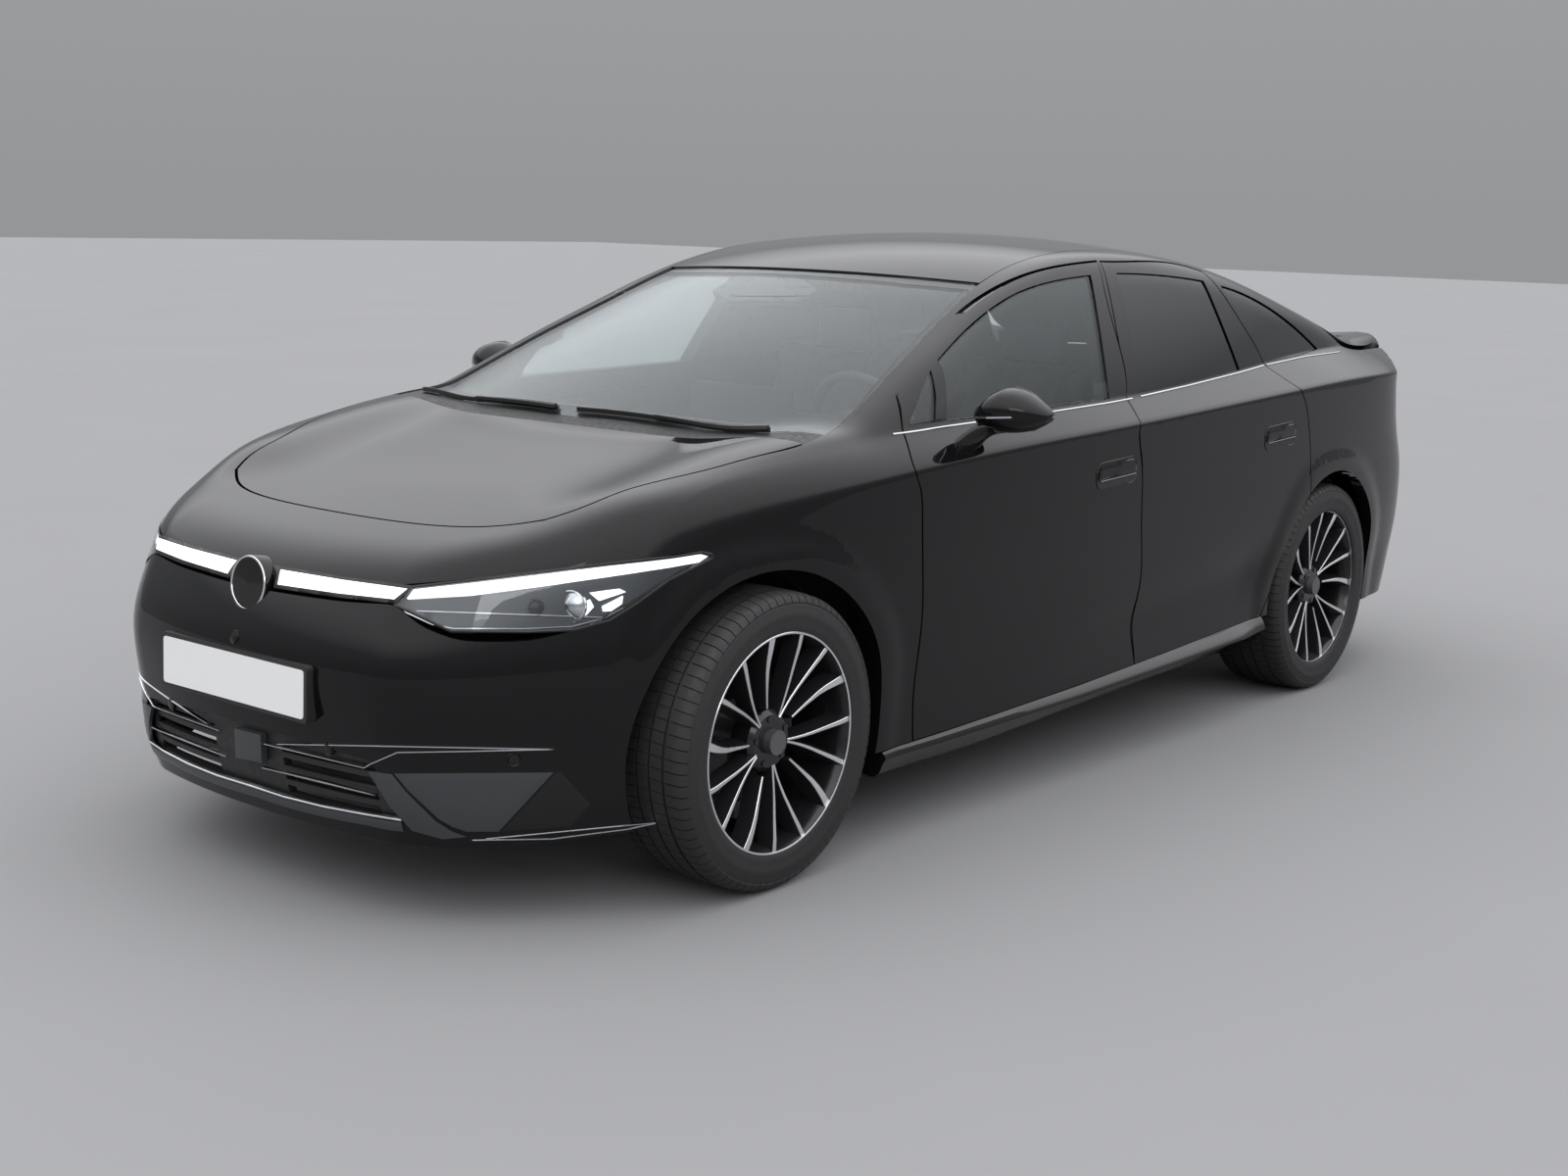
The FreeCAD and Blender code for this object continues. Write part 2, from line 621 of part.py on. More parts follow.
PILLAR_FOOT_SHARES = ((0.70, 0.24), (0.8002, 0.2465), (0.8722, 0.2586), (0.8786, 0.2935),
                      (0.70, 0.2935))
FENDER_FRONT_SHARES = ((0.0857, 0.5892), (0.0887, 0.5755), (0.0953, 0.5651), (0.1034, 0.5553),
                       (0.1147, 0.5371))
FENDER_LAMP_SHARES = ((0.1147, 0.5371), (0.1274, 0.541), (0.1421, 0.5332))
FENDER_BUMPER_SHARES = ((0.1421, 0.5332), (0.1536, 0.5137), (0.1655, 0.485))
TAIL_CUT_SHARES = ((0.8162, 0.4837), (0.8265, 0.485), (0.8559, 0.5039), (0.8869, 0.5534),
                   (0.9071, 0.6022), (0.9273, 0.6055))
SKIRT_SHARES = ((0.2625, 0.1198), (0.354, 0.1191), (0.5114, 0.1374), (0.6884, 0.1478))

JACK_SHARES = (0.3024, 0.6451)
SILL_LEVEL = 0.1875 * HEIGHT

half_gap = size.shut_gap / 2
frame_depth = size.door_depth + size.flange_depth
FENDER_END = 0.2915 * LENGTH
SIDE_START, SIDE_END = 0.2465 * LENGTH, 0.94 * LENGTH
BELOW, ABOVE = 0.0, 1.2 * HEIGHT

side_grid = side_chart(SIDE_START, SIDE_END, 48)
wall_slab = block(side_grid, 0, frame_depth)
door_slab = block(side_grid, 0, size.door_depth - size.seal_gap)
pocket_slab = block(side_grid, -size.flange_depth, size.door_depth)
glass_slab = block(side_grid, size.glass_sunk, size.glass_sunk + size.glass_depth)
front_arch = arch_tool(FRONT_AXLE, ARCH_RADIUS, size.bay_half_width)
rear_arch = arch_tool(REAR_AXLE, ARCH_RADIUS, size.bay_half_width)


front_plug = plug(FRONT_DOOR, FRONT_SLANTS, half_gap)
rear_plug = plug(REAR_DOOR, REAR_SLANTS, half_gap)


def aperture(runs, slants, sill_run):
    """The way through the body behind a door: its outline less the lip that the seal sits on."""
    lips = [size.flange_lip + slant * size.door_depth for slant in slants]
    lips[sill_run] = size.sill_lip
    return grown(runs, lambda i, point: -lips[i])


def door(runs, slants, windows):
    shape = door_slab.common(plug(runs, slants, -half_gap))
    return shape.cut([side_prism(window) for window in windows])


def door_glass(windows):
    panes = [glass_slab.common(side_prism(grown(window, by(-size.glass_gap))))
             for window in windows]
    return Part.makeCompound(panes)


def largest(shape):
    return max(shape.Solids, key=lambda solid: solid.Volume)


def heel():
    """The rear door's way through, kept off the wheel arch."""
    radius = ARCH_RADIUS + size.flange_lip + size.liner_wall
    return arch_tool(REAR_AXLE, radius, 0)


def side_frame():
    """Sill, pillars, cant rail and rear quarter in one wall, with both doorways cut."""
    frame = wall_slab.cut([
        pocket_slab.common(front_plug), pocket_slab.common(rear_plug),
        side_prism(aperture(FRONT_DOOR, FRONT_SLANTS, 2)),
        side_prism(aperture(REAR_DOOR, REAR_SLANTS, 3)).cut(heel()),
        side_prism(QUARTER_WINDOW), rear_arch, front_arch, below_sill(), behind_quarter(0),
        fender_pocket(), tail_lamp_room, gate_room,
        Part.makeBox(OVERRUN, 0.1 * LENGTH, OVERRUN,
                     at(0, SIDE_START + size.shut_gap - 0.1 * LENGTH, BELOW))])
    sill = Part.makeBox(0.065 * HALF, 0.42 * LENGTH, 0.0335 * HEIGHT,
                        at(size.cabin_half_width, size.bulkhead_station, SILL_LEVEL))
    pads = [Part.makeBox(size.jack_pad, 2 * size.jack_pad, 2 * size.jack_pad_height,
                         at(size.cabin_half_width + size.jack_pad_height / 2,
                            share * LENGTH - size.jack_pad, SILL_LEVEL - size.jack_pad_height))
            for share in JACK_SHARES]
    return largest(frame.fuse([sill] + pads))


def below_sill():
    line = scaled(SILL_SHARES, LENGTH, HEIGHT)
    start, end = (0.2 * LENGTH, line[0][1]), (0.8 * LENGTH, line[-1][1])
    return side_prism(closed([start] + line + [end], [end, (end[0], BELOW)],
                             [(end[0], BELOW), (start[0], BELOW)]))


def behind_quarter(gap):
    """What lies under and behind the line between the rear quarter and the rear bumper."""
    line = scaled(TAIL_CUT_SHARES, LENGTH, HEIGHT)
    line = [(station, z + gap) for station, z in line]
    end = (LENGTH, line[-1][1])
    start = (REAR_AXLE, line[0][1])
    return side_prism(closed([start, line[0]], line, [line[-1], end], [end, (LENGTH, BELOW)],
                             [(LENGTH, BELOW), (REAR_AXLE, BELOW)]))


def quarter_zone(gap):
    """The rear quarter's side view above its line with the bumper, grown down by a gap."""
    line = [(station, z - gap) for station, z in scaled(TAIL_CUT_SHARES, LENGTH, HEIGHT)]
    start, end = (REAR_AXLE, line[0][1]), line[-1]
    above, over = (end[0], ABOVE), (REAR_AXLE, ABOVE)
    return side_prism(closed([start, line[0]], line, [end, above], [above, over], [over, start]),
                      HALF / 2)


def pillar_foot():
    runs = [(x * HALF, station * LENGTH) for x, station in PILLAR_FOOT_SHARES]
    return plan_prism(closed(*[[a, b] for a, b in zip(runs, runs[1:] + runs[:1])]))


def fender_pocket():
    """The layer that the front fender takes from the body in front of the door."""
    slab = block(side_chart(SIDE_START, 0.31 * LENGTH, 12), -size.flange_depth,
                 size.fender_depth + size.fixed_gap)
    start = SIDE_START - size.door_depth
    corners = [(start, BELOW), (FENDER_END, BELOW), (FENDER_END, ABOVE), (start, ABOVE)]
    zone = side_prism(closed(*[[a, b] for a, b in zip(corners, corners[1:] + corners[:1])]))
    return slab.common(zone).cut(pillar_foot())


def fender_zone(gap):
    """The front wing's side view, grown at its front by a gap."""
    front = scaled(FENDER_FRONT_SHARES, LENGTH, HEIGHT)
    lamp = scaled(FENDER_LAMP_SHARES, LENGTH, HEIGHT)
    bumper = scaled(FENDER_BUMPER_SHARES, LENGTH, HEIGHT)
    sill = SILL_SHARES[0][1] * HEIGHT + half_gap
    foot, behind = (FRONT_AXLE + WHEEL_RADIUS, sill), (FENDER_END, sill)
    middle = (FRONT_AXLE, WHEEL_RADIUS)
    top, start = (behind[0], ABOVE), (front[0][0], ABOVE)
    runs = closed(front, lamp, bumper, [bumper[-1], middle], [middle, foot],
                  [foot, behind], [behind, top], [top, start], [start, front[0]])
    return side_prism(grown(runs, lambda i, point: gap if i < 3 else 0.0))


def fender():
    """The front wing from the nose to the door, over the wheel arch."""
    slab = block(side_chart(0.0857 * LENGTH, 0.31 * LENGTH, 22), 0, size.fender_depth)
    return largest(slab.common(fender_zone(0)).cut([front_arch, pillar_foot(), front_plug]))


def skirt():
    """The blade along the foot of the sill."""
    chart = side_chart(0.2595 * LENGTH, 0.6935 * LENGTH, 12, 0, 5)
    slab = block(chart, 0, size.bumper_depth)
    top = [(station, z - size.fixed_gap) for station, z in scaled(SILL_SHARES, LENGTH, HEIGHT)]
    foot = scaled(SKIRT_SHARES, LENGTH, HEIGHT)[::-1]
    return slab.common(side_prism(closed(top, [top[-1], foot[0]], foot)))


# Panels that cross the car

ACROSS = [-1.0, -0.96, -0.9, -0.8, -0.65, -0.45, -0.2, 0.0, 0.2, 0.45, 0.65, 0.8, 0.9, 0.96, 1.0]
UP = 90


SIDE_LEAN = math.cos(math.radians(LAST_RISE))


def leaning(u, rise, lean=SIDE_LEAN):
    """A ray of a rise in side view that leans outward toward the sides."""
    out = u * lean
    along = math.sqrt(1 - out * out)
    return (out, along * math.cos(math.radians(rise)), along * math.sin(math.radians(rise)))


def cross_chart(count, side_station, side_plane_at, middle_station, rise):
    """A chart across the car: its side line, and the station of its middle row by row."""
    grid = []
    for u in ACROSS:
        column = []
        for v in shares_between(count):
            edge = side_station(v)
            x = u * side_plane_at(edge)
            station = blend(middle_station(v, u), edge, u * u)
            column.append(on_form((x, station, top_level(x, station)), leaning(u, rise)))
        grid.append(column)
    return grid


HOOD_FRONT, HOOD_REAR, HOOD_REAR_MIDDLE = 0.0875 * LENGTH, 0.2237 * LENGTH, 0.2117 * LENGTH
SCREEN_FOOT, SCREEN_FOOT_MIDDLE = 0.2471 * LENGTH, 0.2223 * LENGTH
SCREEN_HEAD, SCREEN_HEAD_MIDDLE = 0.4259 * LENGTH, 0.4088 * LENGTH
ROOF_END, ROOF_END_MIDDLE = 0.6965 * LENGTH, 0.6895 * LENGTH


def cant_less(gap):
    return lambda station: cant_plane(station) - gap


def hood_chart():
    grid = []
    for u in ACROSS:
        column = []
        front = hood_front(abs(u)) + size.shut_gap
        rear = blend(HOOD_REAR_MIDDLE, HOOD_REAR, u * u)
        for v in shares_between(14):
            edge = blend(HOOD_FRONT, HOOD_REAR, v)
            x = u * (hood_side(edge) - size.shut_gap)
            station = blend(front, rear, v)
            column.append(on_form((x, station, top_level(x, station)), leaning(u, UP)))
        grid.append(column)
    return grid


def band_chart(count, foot, foot_middle, head, head_middle, gap, rise):
    return cross_chart(
        count, lambda v: blend(foot, head, v), cant_less(gap),
        lambda v, u: blend(foot_middle, head_middle, v), rise)


hood_shape = block(hood_chart(), 0, size.hood_depth)
cowl_shape = block(band_chart(
    4, HOOD_REAR + size.shut_gap, HOOD_REAR_MIDDLE + size.shut_gap,
    SCREEN_FOOT - size.glass_gap, SCREEN_FOOT_MIDDLE - size.glass_gap, size.fixed_gap, UP),
    size.glass_depth, size.glass_depth + size.fender_depth)
SCREEN_RISE = 117
windscreen = block(band_chart(
    12, SCREEN_FOOT, SCREEN_FOOT_MIDDLE, SCREEN_HEAD, SCREEN_HEAD_MIDDLE, size.glass_gap * 2,
    SCREEN_RISE), 0, size.glass_depth)
roof_shape = block(band_chart(
    16, SCREEN_HEAD + size.glass_depth, SCREEN_HEAD_MIDDLE + size.glass_depth, ROOF_END,
    ROOF_END_MIDDLE, size.roof_gap, UP), 0, size.roof_depth)

# The tailgate's rows: on the glass by station, then down the tail by height, as shares of length
# and height, each with the angle of its rays and the half width of its edge
TAILGATE_TOP_ROWS = ((0.0, 105), (0.06, 102), (0.2, 99), (0.4, 95), (0.6, 88), (0.78, 78),
                     (0.9, 66), (1.0, 52))
TAIL_LEAN = math.cos(math.radians(45))
TAILGATE_END_SHARE, TAILGATE_END_MIDDLE_SHARE = 0.945, 0.966
TAILGATE_LOW_ROW_SHARES = ((0.712, 32, 0.762), (0.695, 20, 0.70), (0.65, 8, 0.664),
                           (0.60, 3, 0.655), (0.53, 0, 0.645), (0.4557, 0, 0.625))


def tailgate_chart(growth):
    """The tailgate's outside from the roof to the bumper, grown at its sides and foot."""
    grid = []
    for u in ACROSS:
        column = []
        for share, rise in TAILGATE_TOP_ROWS:
            edge = blend(ROOF_END + size.shut_gap, TAILGATE_END_SHARE * LENGTH, share)
            middle = blend(ROOF_END_MIDDLE + size.shut_gap, TAILGATE_END_MIDDLE_SHARE * LENGTH,
                           share)
            x = u * (cant_plane(edge) - size.shut_gap + growth)
            station = blend(middle, edge, u * u)
            column.append(on_form((x, station, top_level(x, station)), leaning(u, rise)))
        for share, rise, edge_share in TAILGATE_LOW_ROW_SHARES:
            x = u * (edge_share * HALF + growth)
            z = share * HEIGHT - (growth if share == TAILGATE_LOW_ROW_SHARES[-1][0] else 0)
            lean = blend(TAIL_LEAN, SIDE_LEAN, rise / UP)
            column.append(on_form((x, tail(x, z), z), leaning(u, rise, lean)))
        grid.append(column)
    return grid


REAR_SCREEN_SHARES = (
    ((-0.54, 0.7175), (0, 0.7095), (0.54, 0.7175)),
    ((0.54, 0.7175), (0.595, 0.776), (0.672, 0.8466), (0.70, 0.895)),
    ((0.70, 0.895), (0.45, 0.918), (0, 0.9273), (-0.45, 0.918), (-0.70, 0.895)),
    ((-0.70, 0.895), (-0.672, 0.8466), (-0.595, 0.776), (-0.54, 0.7175)))
rear_screen = closed(*[scaled(run, HALF, LENGTH) for run in REAR_SCREEN_SHARES])
tailgate_grid = tailgate_chart(0)
tailgate_shape = block(tailgate_grid, 0, size.tailgate_depth).cut(
    plan_prism(rear_screen, 0.55 * HEIGHT))
tailgate_glass = block(
    tailgate_grid, size.glass_sunk, size.glass_sunk + size.glass_depth).common(
    plan_prism(grown(rear_screen, by(-size.glass_gap)), 0.55 * HEIGHT))

# The two ends, charted by the angle round an upright axis

NOSE_AXIS, TAIL_AXIS = 0.121 * LENGTH, 0.8466 * LENGTH
DRUM_RADIUS = 0.75 * HALF


def drum_chart(axis, forward, angles, low, high, rows):
    """A band of one end of the car between two height curves of the angle."""
    grid = []
    for angle in angles:
        dx = math.sin(math.radians(angle))
        ds = math.cos(math.radians(angle)) * (-1 if forward else 1)
        column = []
        for v in rows:
            z = blend(low(abs(angle)), high(abs(angle)), v)
            column.append(on_form((dx * DRUM_RADIUS, axis + ds * DRUM_RADIUS, z), (dx, ds, 0)))
        grid.append(column)
    return grid


class Steps:
    """Straight steps through shares of a size, by angle."""

    def __init__(self, shares, offset=0.0):
        self.points = [(angle, share * HEIGHT + offset) for angle, share in shares]

    def __call__(self, angle):
        points = self.points
        for (a, value_a), (b, value_b) in zip(points, points[1:]):
            if angle <= b:
                return blend(value_a, value_b, (angle - a) / (b - a))
        return points[-1][1]


LAMP_TOP_SHARES = ((0, 0.4844), (20, 0.4883), (35, 0.4922), (43.7, 0.4974), (59.1, 0.515),
                   (72.5, 0.526), (82.2, 0.5326), (87.8, 0.5371), (92.3, 0.541), (97.2, 0.5365))
LAMP_FOOT_SHARES = ((0, 0.4635), (30, 0.468), (42, 0.4745), (47, 0.4473), (53.5, 0.429),
                    (64.9, 0.4277), (74.7, 0.4447), (83, 0.4772), (90.1, 0.5085), (97.2, 0.5332))
BUMPER_FLOOR_SHARES = ((0, 0.1236), (60, 0.1236), (80, 0.133), (104.4, 0.14))
BUMPER_TOP_SHARES = LAMP_FOOT_SHARES + ((104.4, 0.5332),)
BUMPER_RISE_SHARE = 0.006
REAR_TOP_SHARES = ((0, 0.4525), (40, 0.4525), (44, 0.601), (66, 0.603), (104, 0.603))
REAR_FLOOR_SHARES = ((0, 0.17), (104, 0.17))
TAIL_LAMP_FOOT_SHARES = ((48, 0.6048), (67, 0.6078))
TAIL_LAMP_TOP_SHARES = ((48, 0.70), (67, 0.70))
TAIL_LAMP_ANGLES = (48.6, 52, 56, 61, 66)
BAND_ANGLES = (0, 10, 20, 30, 36, 39, 42, 44, 47, 50, 53.5, 59, 65, 70, 75, 79, 83, 86.5, 90, 93,
               95.5, 97)
BAR_REACH, LAMP_STEP = 41, 0.1
BUMPER_ANGLES = (0, 10, 20, 30, 37, 42, 44, 47, 50, 53.5, 59, 65, 70, 75, 79, 83, 87, 90, 93, 97,
                 100, 104)
REAR_ANGLES = (0, 10, 20, 30, 36, 40, 44, 48.6, 52, 56, 61, 66, 70, 75, 80, 86, 92, 98, 103)
ROWS = shares_between(9)


def both_ways(angles):
    return [-angle for angle in angles[:0:-1]] + list(angles)


gap = size.fixed_gap
lamp_rows = shares_between(4)


def band_room(growth, outer, inner):
    """The band of the lamps round the nose, grown up and down."""
    return block(drum_chart(NOSE_AXIS, True, both_ways(BAND_ANGLES),
                            Steps(LAMP_FOOT_SHARES, -growth), Steps(LAMP_TOP_SHARES, growth),
                            lamp_rows), outer, inner)


def sector(axis, first, last):
    """A wedge in plan from an upright axis, between two angles from straight ahead."""
    near, middle, far = [
        (OVERRUN * math.sin(math.radians(angle)), axis - OVERRUN * math.cos(math.radians(angle)))
        for angle in (first, (first + last) / 2, last)]
    corners = [(0.0, axis), near, middle, far]
    return plan_prism(closed(*[[a, b] for a, b in zip(corners, corners[1:] + corners[:1])]))


band = band_room(-gap, 0, size.lamp_depth)
bar = band.common(sector(NOSE_AXIS, -BAR_REACH, BAR_REACH))
lamp = band.common(sector(NOSE_AXIS, BAR_REACH + LAMP_STEP, BAND_ANGLES[-1]))
bumper = block(drum_chart(NOSE_AXIS, True, both_ways(BUMPER_ANGLES), Steps(BUMPER_FLOOR_SHARES),
                          Steps(BUMPER_TOP_SHARES, BUMPER_RISE_SHARE * HEIGHT), ROWS),
               0, size.bumper_depth)
rear_bumper = block(drum_chart(TAIL_AXIS, False, both_ways(REAR_ANGLES),
                               Steps(REAR_FLOOR_SHARES), Steps(REAR_TOP_SHARES, -gap), ROWS),
                    0, size.bumper_depth)
tail_lamp = block(drum_chart(TAIL_AXIS, False, TAIL_LAMP_ANGLES,
                             Steps(TAIL_LAMP_FOOT_SHARES, gap), Steps(TAIL_LAMP_TOP_SHARES),
                             lamp_rows), 0, size.lamp_depth)


def lamp_room(growth):
    """The space that a tail lamp takes from the panels round it."""
    turn = math.degrees(growth / DRUM_RADIUS)
    angles = [angle - turn for angle in TAIL_LAMP_ANGLES[:1]]
    angles += TAIL_LAMP_ANGLES[1:-1] + (TAIL_LAMP_ANGLES[-1] + turn,)
    return block(drum_chart(TAIL_AXIS, False, angles, Steps(TAIL_LAMP_FOOT_SHARES, gap - growth),
                            Steps(TAIL_LAMP_TOP_SHARES, growth), lamp_rows),
                 -size.bumper_depth, size.lamp_depth + size.bumper_depth)
NOSE_EDGE_SHARES = ((0, 0.0133, 0.4844), (0.565, 0.026, 0.4961), (0.746, 0.0492, 0.515),
                    (0.874, 0.0768, 0.526), (0.959, 0.1, 0.5326), (1.0, 0.1147, 0.5371))
nose_edge_station = Curve([(u, s) for u, s, z in NOSE_EDGE_SHARES], 1.0, LENGTH)
nose_edge_level = Curve([(u, z) for u, s, z in NOSE_EDGE_SHARES], 1.0, HEIGHT)
NOSE_EDGE_PLANE_SHARE = 0.855


def nose_chart():
    """The panel between the hood and the lamps."""
    grid = []
    for u in ACROSS:
        column = []
        for v in shares_between(7):
            x = u * blend(hood_side(HOOD_FRONT), NOSE_EDGE_PLANE_SHARE * HALF, v)
            x -= math.copysign(gap, u) if u else 0
            station = blend(hood_front(abs(u)), nose_edge_station(abs(u)), v)
            level = top_level(u * hood_side(HOOD_FRONT), hood_front(abs(u)))
            z = blend(level, nose_edge_level(abs(u)) - BUMPER_RISE_SHARE * HEIGHT, v)
            rise = blend(UP, 2 * UP, v)
            column.append(on_form((x, station, z), leaning(u, rise)))
        grid.append(column)
    return grid


badge_level = 0.472 * HEIGHT
badge_face = on_form((0, 0, badge_level), (0, -1, 0))[0]
badge_axis = Vector(0, -1, 0.4).normalize()
badge_radius = size.badge_diameter / 2


def badge_disc(radius, proud, depth):
    """A disc square to the nose, from a little proud of it to a depth."""
    return Part.makeCylinder(radius, proud + depth, badge_face + badge_axis * proud,
                             -badge_axis)


GRILLE_SHARES = (((-0.46, 0.2475), (0, 0.263), (0.46, 0.2475)), ((0.46, 0.2475), (0.54, 0.16)),
                 ((0.54, 0.16), (0, 0.156), (-0.54, 0.16)), ((-0.54, 0.16), (-0.46, 0.2475)))


def front_prism(runs, depth):
    """A front-view outline of half widths and heights, extruded back from the nose."""
    start = -size.shut_gap
    face = Part.Face(wire_through([[at(x, start, z) for x, z in run] for run in runs]))
    return face.extrude(Vector(0, depth, 0))


grille_hole = closed(*[scaled(run, HALF, HEIGHT) for run in GRILLE_SHARES])
socket = badge_disc(badge_radius + gap, size.lamp_depth, 2 * size.lamp_depth)
wing_room = fender_zone(gap)
wing_rooms = [wing_room, mirrored(wing_room),
              band_room(0, -size.bumper_depth, size.lamp_depth + size.bumper_depth)]
bumper = bumper.cut([front_arch, mirrored(front_arch), socket,
                     front_prism(grille_hole, FRONT_AXLE / 2)] + wing_rooms)
nose_panel = largest(block(nose_chart(), 0, size.bumper_depth).cut([socket] + wing_rooms))
bar = bar.cut(socket)
lamp = lamp.cut(wing_room)
badge = badge_disc(badge_radius, size.glass_depth, size.badge_depth)


def grille():
    """A frame with slats, set back inside the lower opening."""
    slab = block(drum_chart(NOSE_AXIS, True, both_ways(BUMPER_ANGLES[:8]),
                            Steps(BUMPER_FLOOR_SHARES), Steps(LAMP_FOOT_SHARES, -gap), ROWS),
                 size.slat_height, size.slat_height + size.grille_depth)
    runs = grown(grille_hole, by(-gap))
    low, high = runs[2][0][1], runs[0][0][1]
    slots = []
    count = 4
    pitch = (high - low) / count
    for i in range(count):
        top = low + pitch * (i + 1) - size.slat_height / 2
        bottom = low + pitch * i + size.slat_height / 2
        for side in (-1, 1):
            near = side * size.badge_diameter
            far = side * 0.44 * HALF
            corners = [(near, bottom), (far, bottom), (far, top), (near, top)]
            slots.append(front_prism(closed(*[[a, b] for a, b in zip(
                corners, corners[1:] + corners[:1])]), FRONT_AXLE / 2))
    return slab.common(front_prism(runs, FRONT_AXLE / 2)).cut(slots)


gate_room = block(tailgate_chart(0.8 * size.shut_gap), -size.fender_depth,
                  size.tailgate_depth + size.fender_depth)
quarter_room = quarter_zone(gap)
tail_lamp_room = lamp_room(gap)
tailgate_shape = tailgate_shape.cut([lamp_room(size.shut_gap),
                                     mirrored(lamp_room(size.shut_gap))])
rear_bumper = rear_bumper.cut([
    rear_arch, mirrored(rear_arch), gate_room, quarter_room, mirrored(quarter_room),
    tail_lamp_room, mirrored(tail_lamp_room)])
frame_left = side_frame()
panel("side_frame_left", frame_left)
panel("side_frame_right", mirrored(frame_left))
for label, shape in (
        ("front_fenders", fender()), ("side_skirts", skirt())):
    panel(label, Part.makeCompound([shape, mirrored(shape)]))
doors = {"front_door": door(FRONT_DOOR, FRONT_SLANTS, FRONT_WINDOWS),
         "rear_door": door(REAR_DOOR, REAR_SLANTS, REAR_WINDOWS).cut([rear_arch, front_plug])}
panes = {"front_door": door_glass(FRONT_WINDOWS), "rear_door": door_glass(REAR_WINDOWS)}
for label, shape in doors.items():
    panel(label + "_left", shape)
    panel(label + "_right", mirrored(shape))
    panel(label + "_glass_left", panes[label])
    panel(label + "_glass_right", mirrored(panes[label]))
quarter_glass = glass_slab.common(side_prism(grown(QUARTER_WINDOW, by(-size.glass_gap))))
panel("hood", hood_shape)
panel("roof_panel", roof_shape)
panel("fixed_glasses", Part.makeCompound([windscreen, quarter_glass, mirrored(quarter_glass)]))
panel("tailgate", tailgate_shape)
panel("tailgate_glass", tailgate_glass)
panel("front_bumper", Part.makeCompound([bumper, nose_panel]))
panel("lower_grille", grille())
panel("front_lamps", Part.makeCompound([bar, badge, lamp, mirrored(lamp)]))
panel("rear_bumper", rear_bumper)
panel("tail_lamps", Part.makeCompound([tail_lamp, mirrored(tail_lamp)]))


# Door mirrors and wipers


def solid_box(x, station, z):
    corner_point = at(x[0], station[0], z[0])
    return Part.makeBox(x[1] - x[0], station[1] - station[0], z[1] - z[0], corner_point)


def door_mirror():
    """The housing on its arm, which follows the door's shoulder."""
    reach, station, level = 0.945 * HALF, 0.3275 * LENGTH, 0.675 * HEIGHT
    low = level + size.shut_gap
    housing = solid_box((reach, reach + size.mirror_width),
                        (station, station + size.mirror_depth),
                        (low, low + size.mirror_height))
    housing = housing.makeFillet(size.mirror_corner, housing.Edges)
    stem = solid_box((reach - size.mirror_corner * 1.6, reach + size.mirror_width / 2),
                     (station + size.mirror_corner * 0.6, station + size.mirror_corner * 2),
                     (level - size.mirror_corner * 1.6, low + size.mirror_corner / 2))
    skin = block(side_chart(0.31 * LENGTH, 0.37 * LENGTH, 8, 6, 18), -size.seal_gap,
                 size.door_depth * 2)
    return housing.fuse(stem.cut(skin))


def wiper(foot, tip):
    """One parked wiper over the foot of the windscreen, between two plan points as shares."""
    lift = block(band_chart(
        8, HOOD_REAR + size.shut_gap * 2, HOOD_REAR_MIDDLE + size.shut_gap * 2,
        blend(SCREEN_FOOT, SCREEN_HEAD, 0.3), blend(SCREEN_FOOT_MIDDLE, SCREEN_HEAD_MIDDLE, 0.3),
        size.glass_gap, SCREEN_RISE), -size.wiper_lift, -size.seal_gap)
    (ax, ay), (bx, by_) = [(x * HALF, s * LENGTH) for x, s in (foot, tip)]
    reach = math.hypot(bx - ax, by_ - ay)
    nx, ny = -(by_ - ay) / reach * size.wiper_lift, (bx - ax) / reach
    ny *= size.wiper_lift
    corners = [(ax - nx, ay - ny), (bx - nx, by_ - ny), (bx + nx, by_ + ny), (ax + nx, ay + ny)]
    return lift.common(plan_prism(closed(*[[a, b] for a, b in zip(
        corners, corners[1:] + corners[:1])])))


mirror_left = door_mirror()
panel("mirror_left", mirror_left)
panel("mirror_right", mirrored(mirror_left))
panel("cowl", Part.makeCompound([cowl_shape, wiper((0.66, 0.2345), (-0.02, 0.2275)),
                                 wiper((-0.1, 0.2275), (-0.74, 0.2375))]))

# Sizes with the expressions that give them from the sheet


class Term:
    """A length, and the same length as an expression of the sheet's cells."""

    def __init__(self, value, text):
        self.value = value
        self.text = text

    def joined(self, other, sign, value):
        return Term(value, "(%s %s %s)" % (self.text, sign, term(other).text))

    def __add__(self, other):
        return self.joined(other, "+", self.value + term(other).value)

    def __sub__(self, other):
        return self.joined(other, "-", self.value - term(other).value)

    def __mul__(self, other):
        return self.joined(other, "*", self.value * term(other).value)

    def __truediv__(self, other):
        return self.joined(other, "/", self.value / term(other).value)

    def __neg__(self):
        return self * -1


def term(value):
    return value if isinstance(value, Term) else Term(float(value), "%.9g" % value)


class Terms:
    """The sheet's cells as terms, by alias."""

    def __init__(self):
        for name, _ in SIZES:
            setattr(self, name, Term(getattr(size, name), "sizes." + name))


cell = Terms()
ZERO = cell.length * 0
FRONT_STATION = cell.front_overhang
REAR_STATION = cell.front_overhang + cell.wheelbase
AXLE_LEVEL = cell.tyre_diameter / 2


def place(shape, x, station, z):
    """Bind an object's place to half width, station and height."""
    shape.setExpression("Placement.Base.x", x.text)
    shape.setExpression("Placement.Base.y", (station - cell.length / 2).text)
    shape.setExpression("Placement.Base.z", z.text)


def box(name, x, station, z):
    """A box between pairs of half widths, stations and heights."""
    shape = doc.addObject("Part::Box", name)
    for side, (low, high) in zip(("Length", "Width", "Height"), (x, station, z)):
        shape.setExpression(side, (high - low).text)
    place(shape, x[0], station[0], z[0])
    return shape


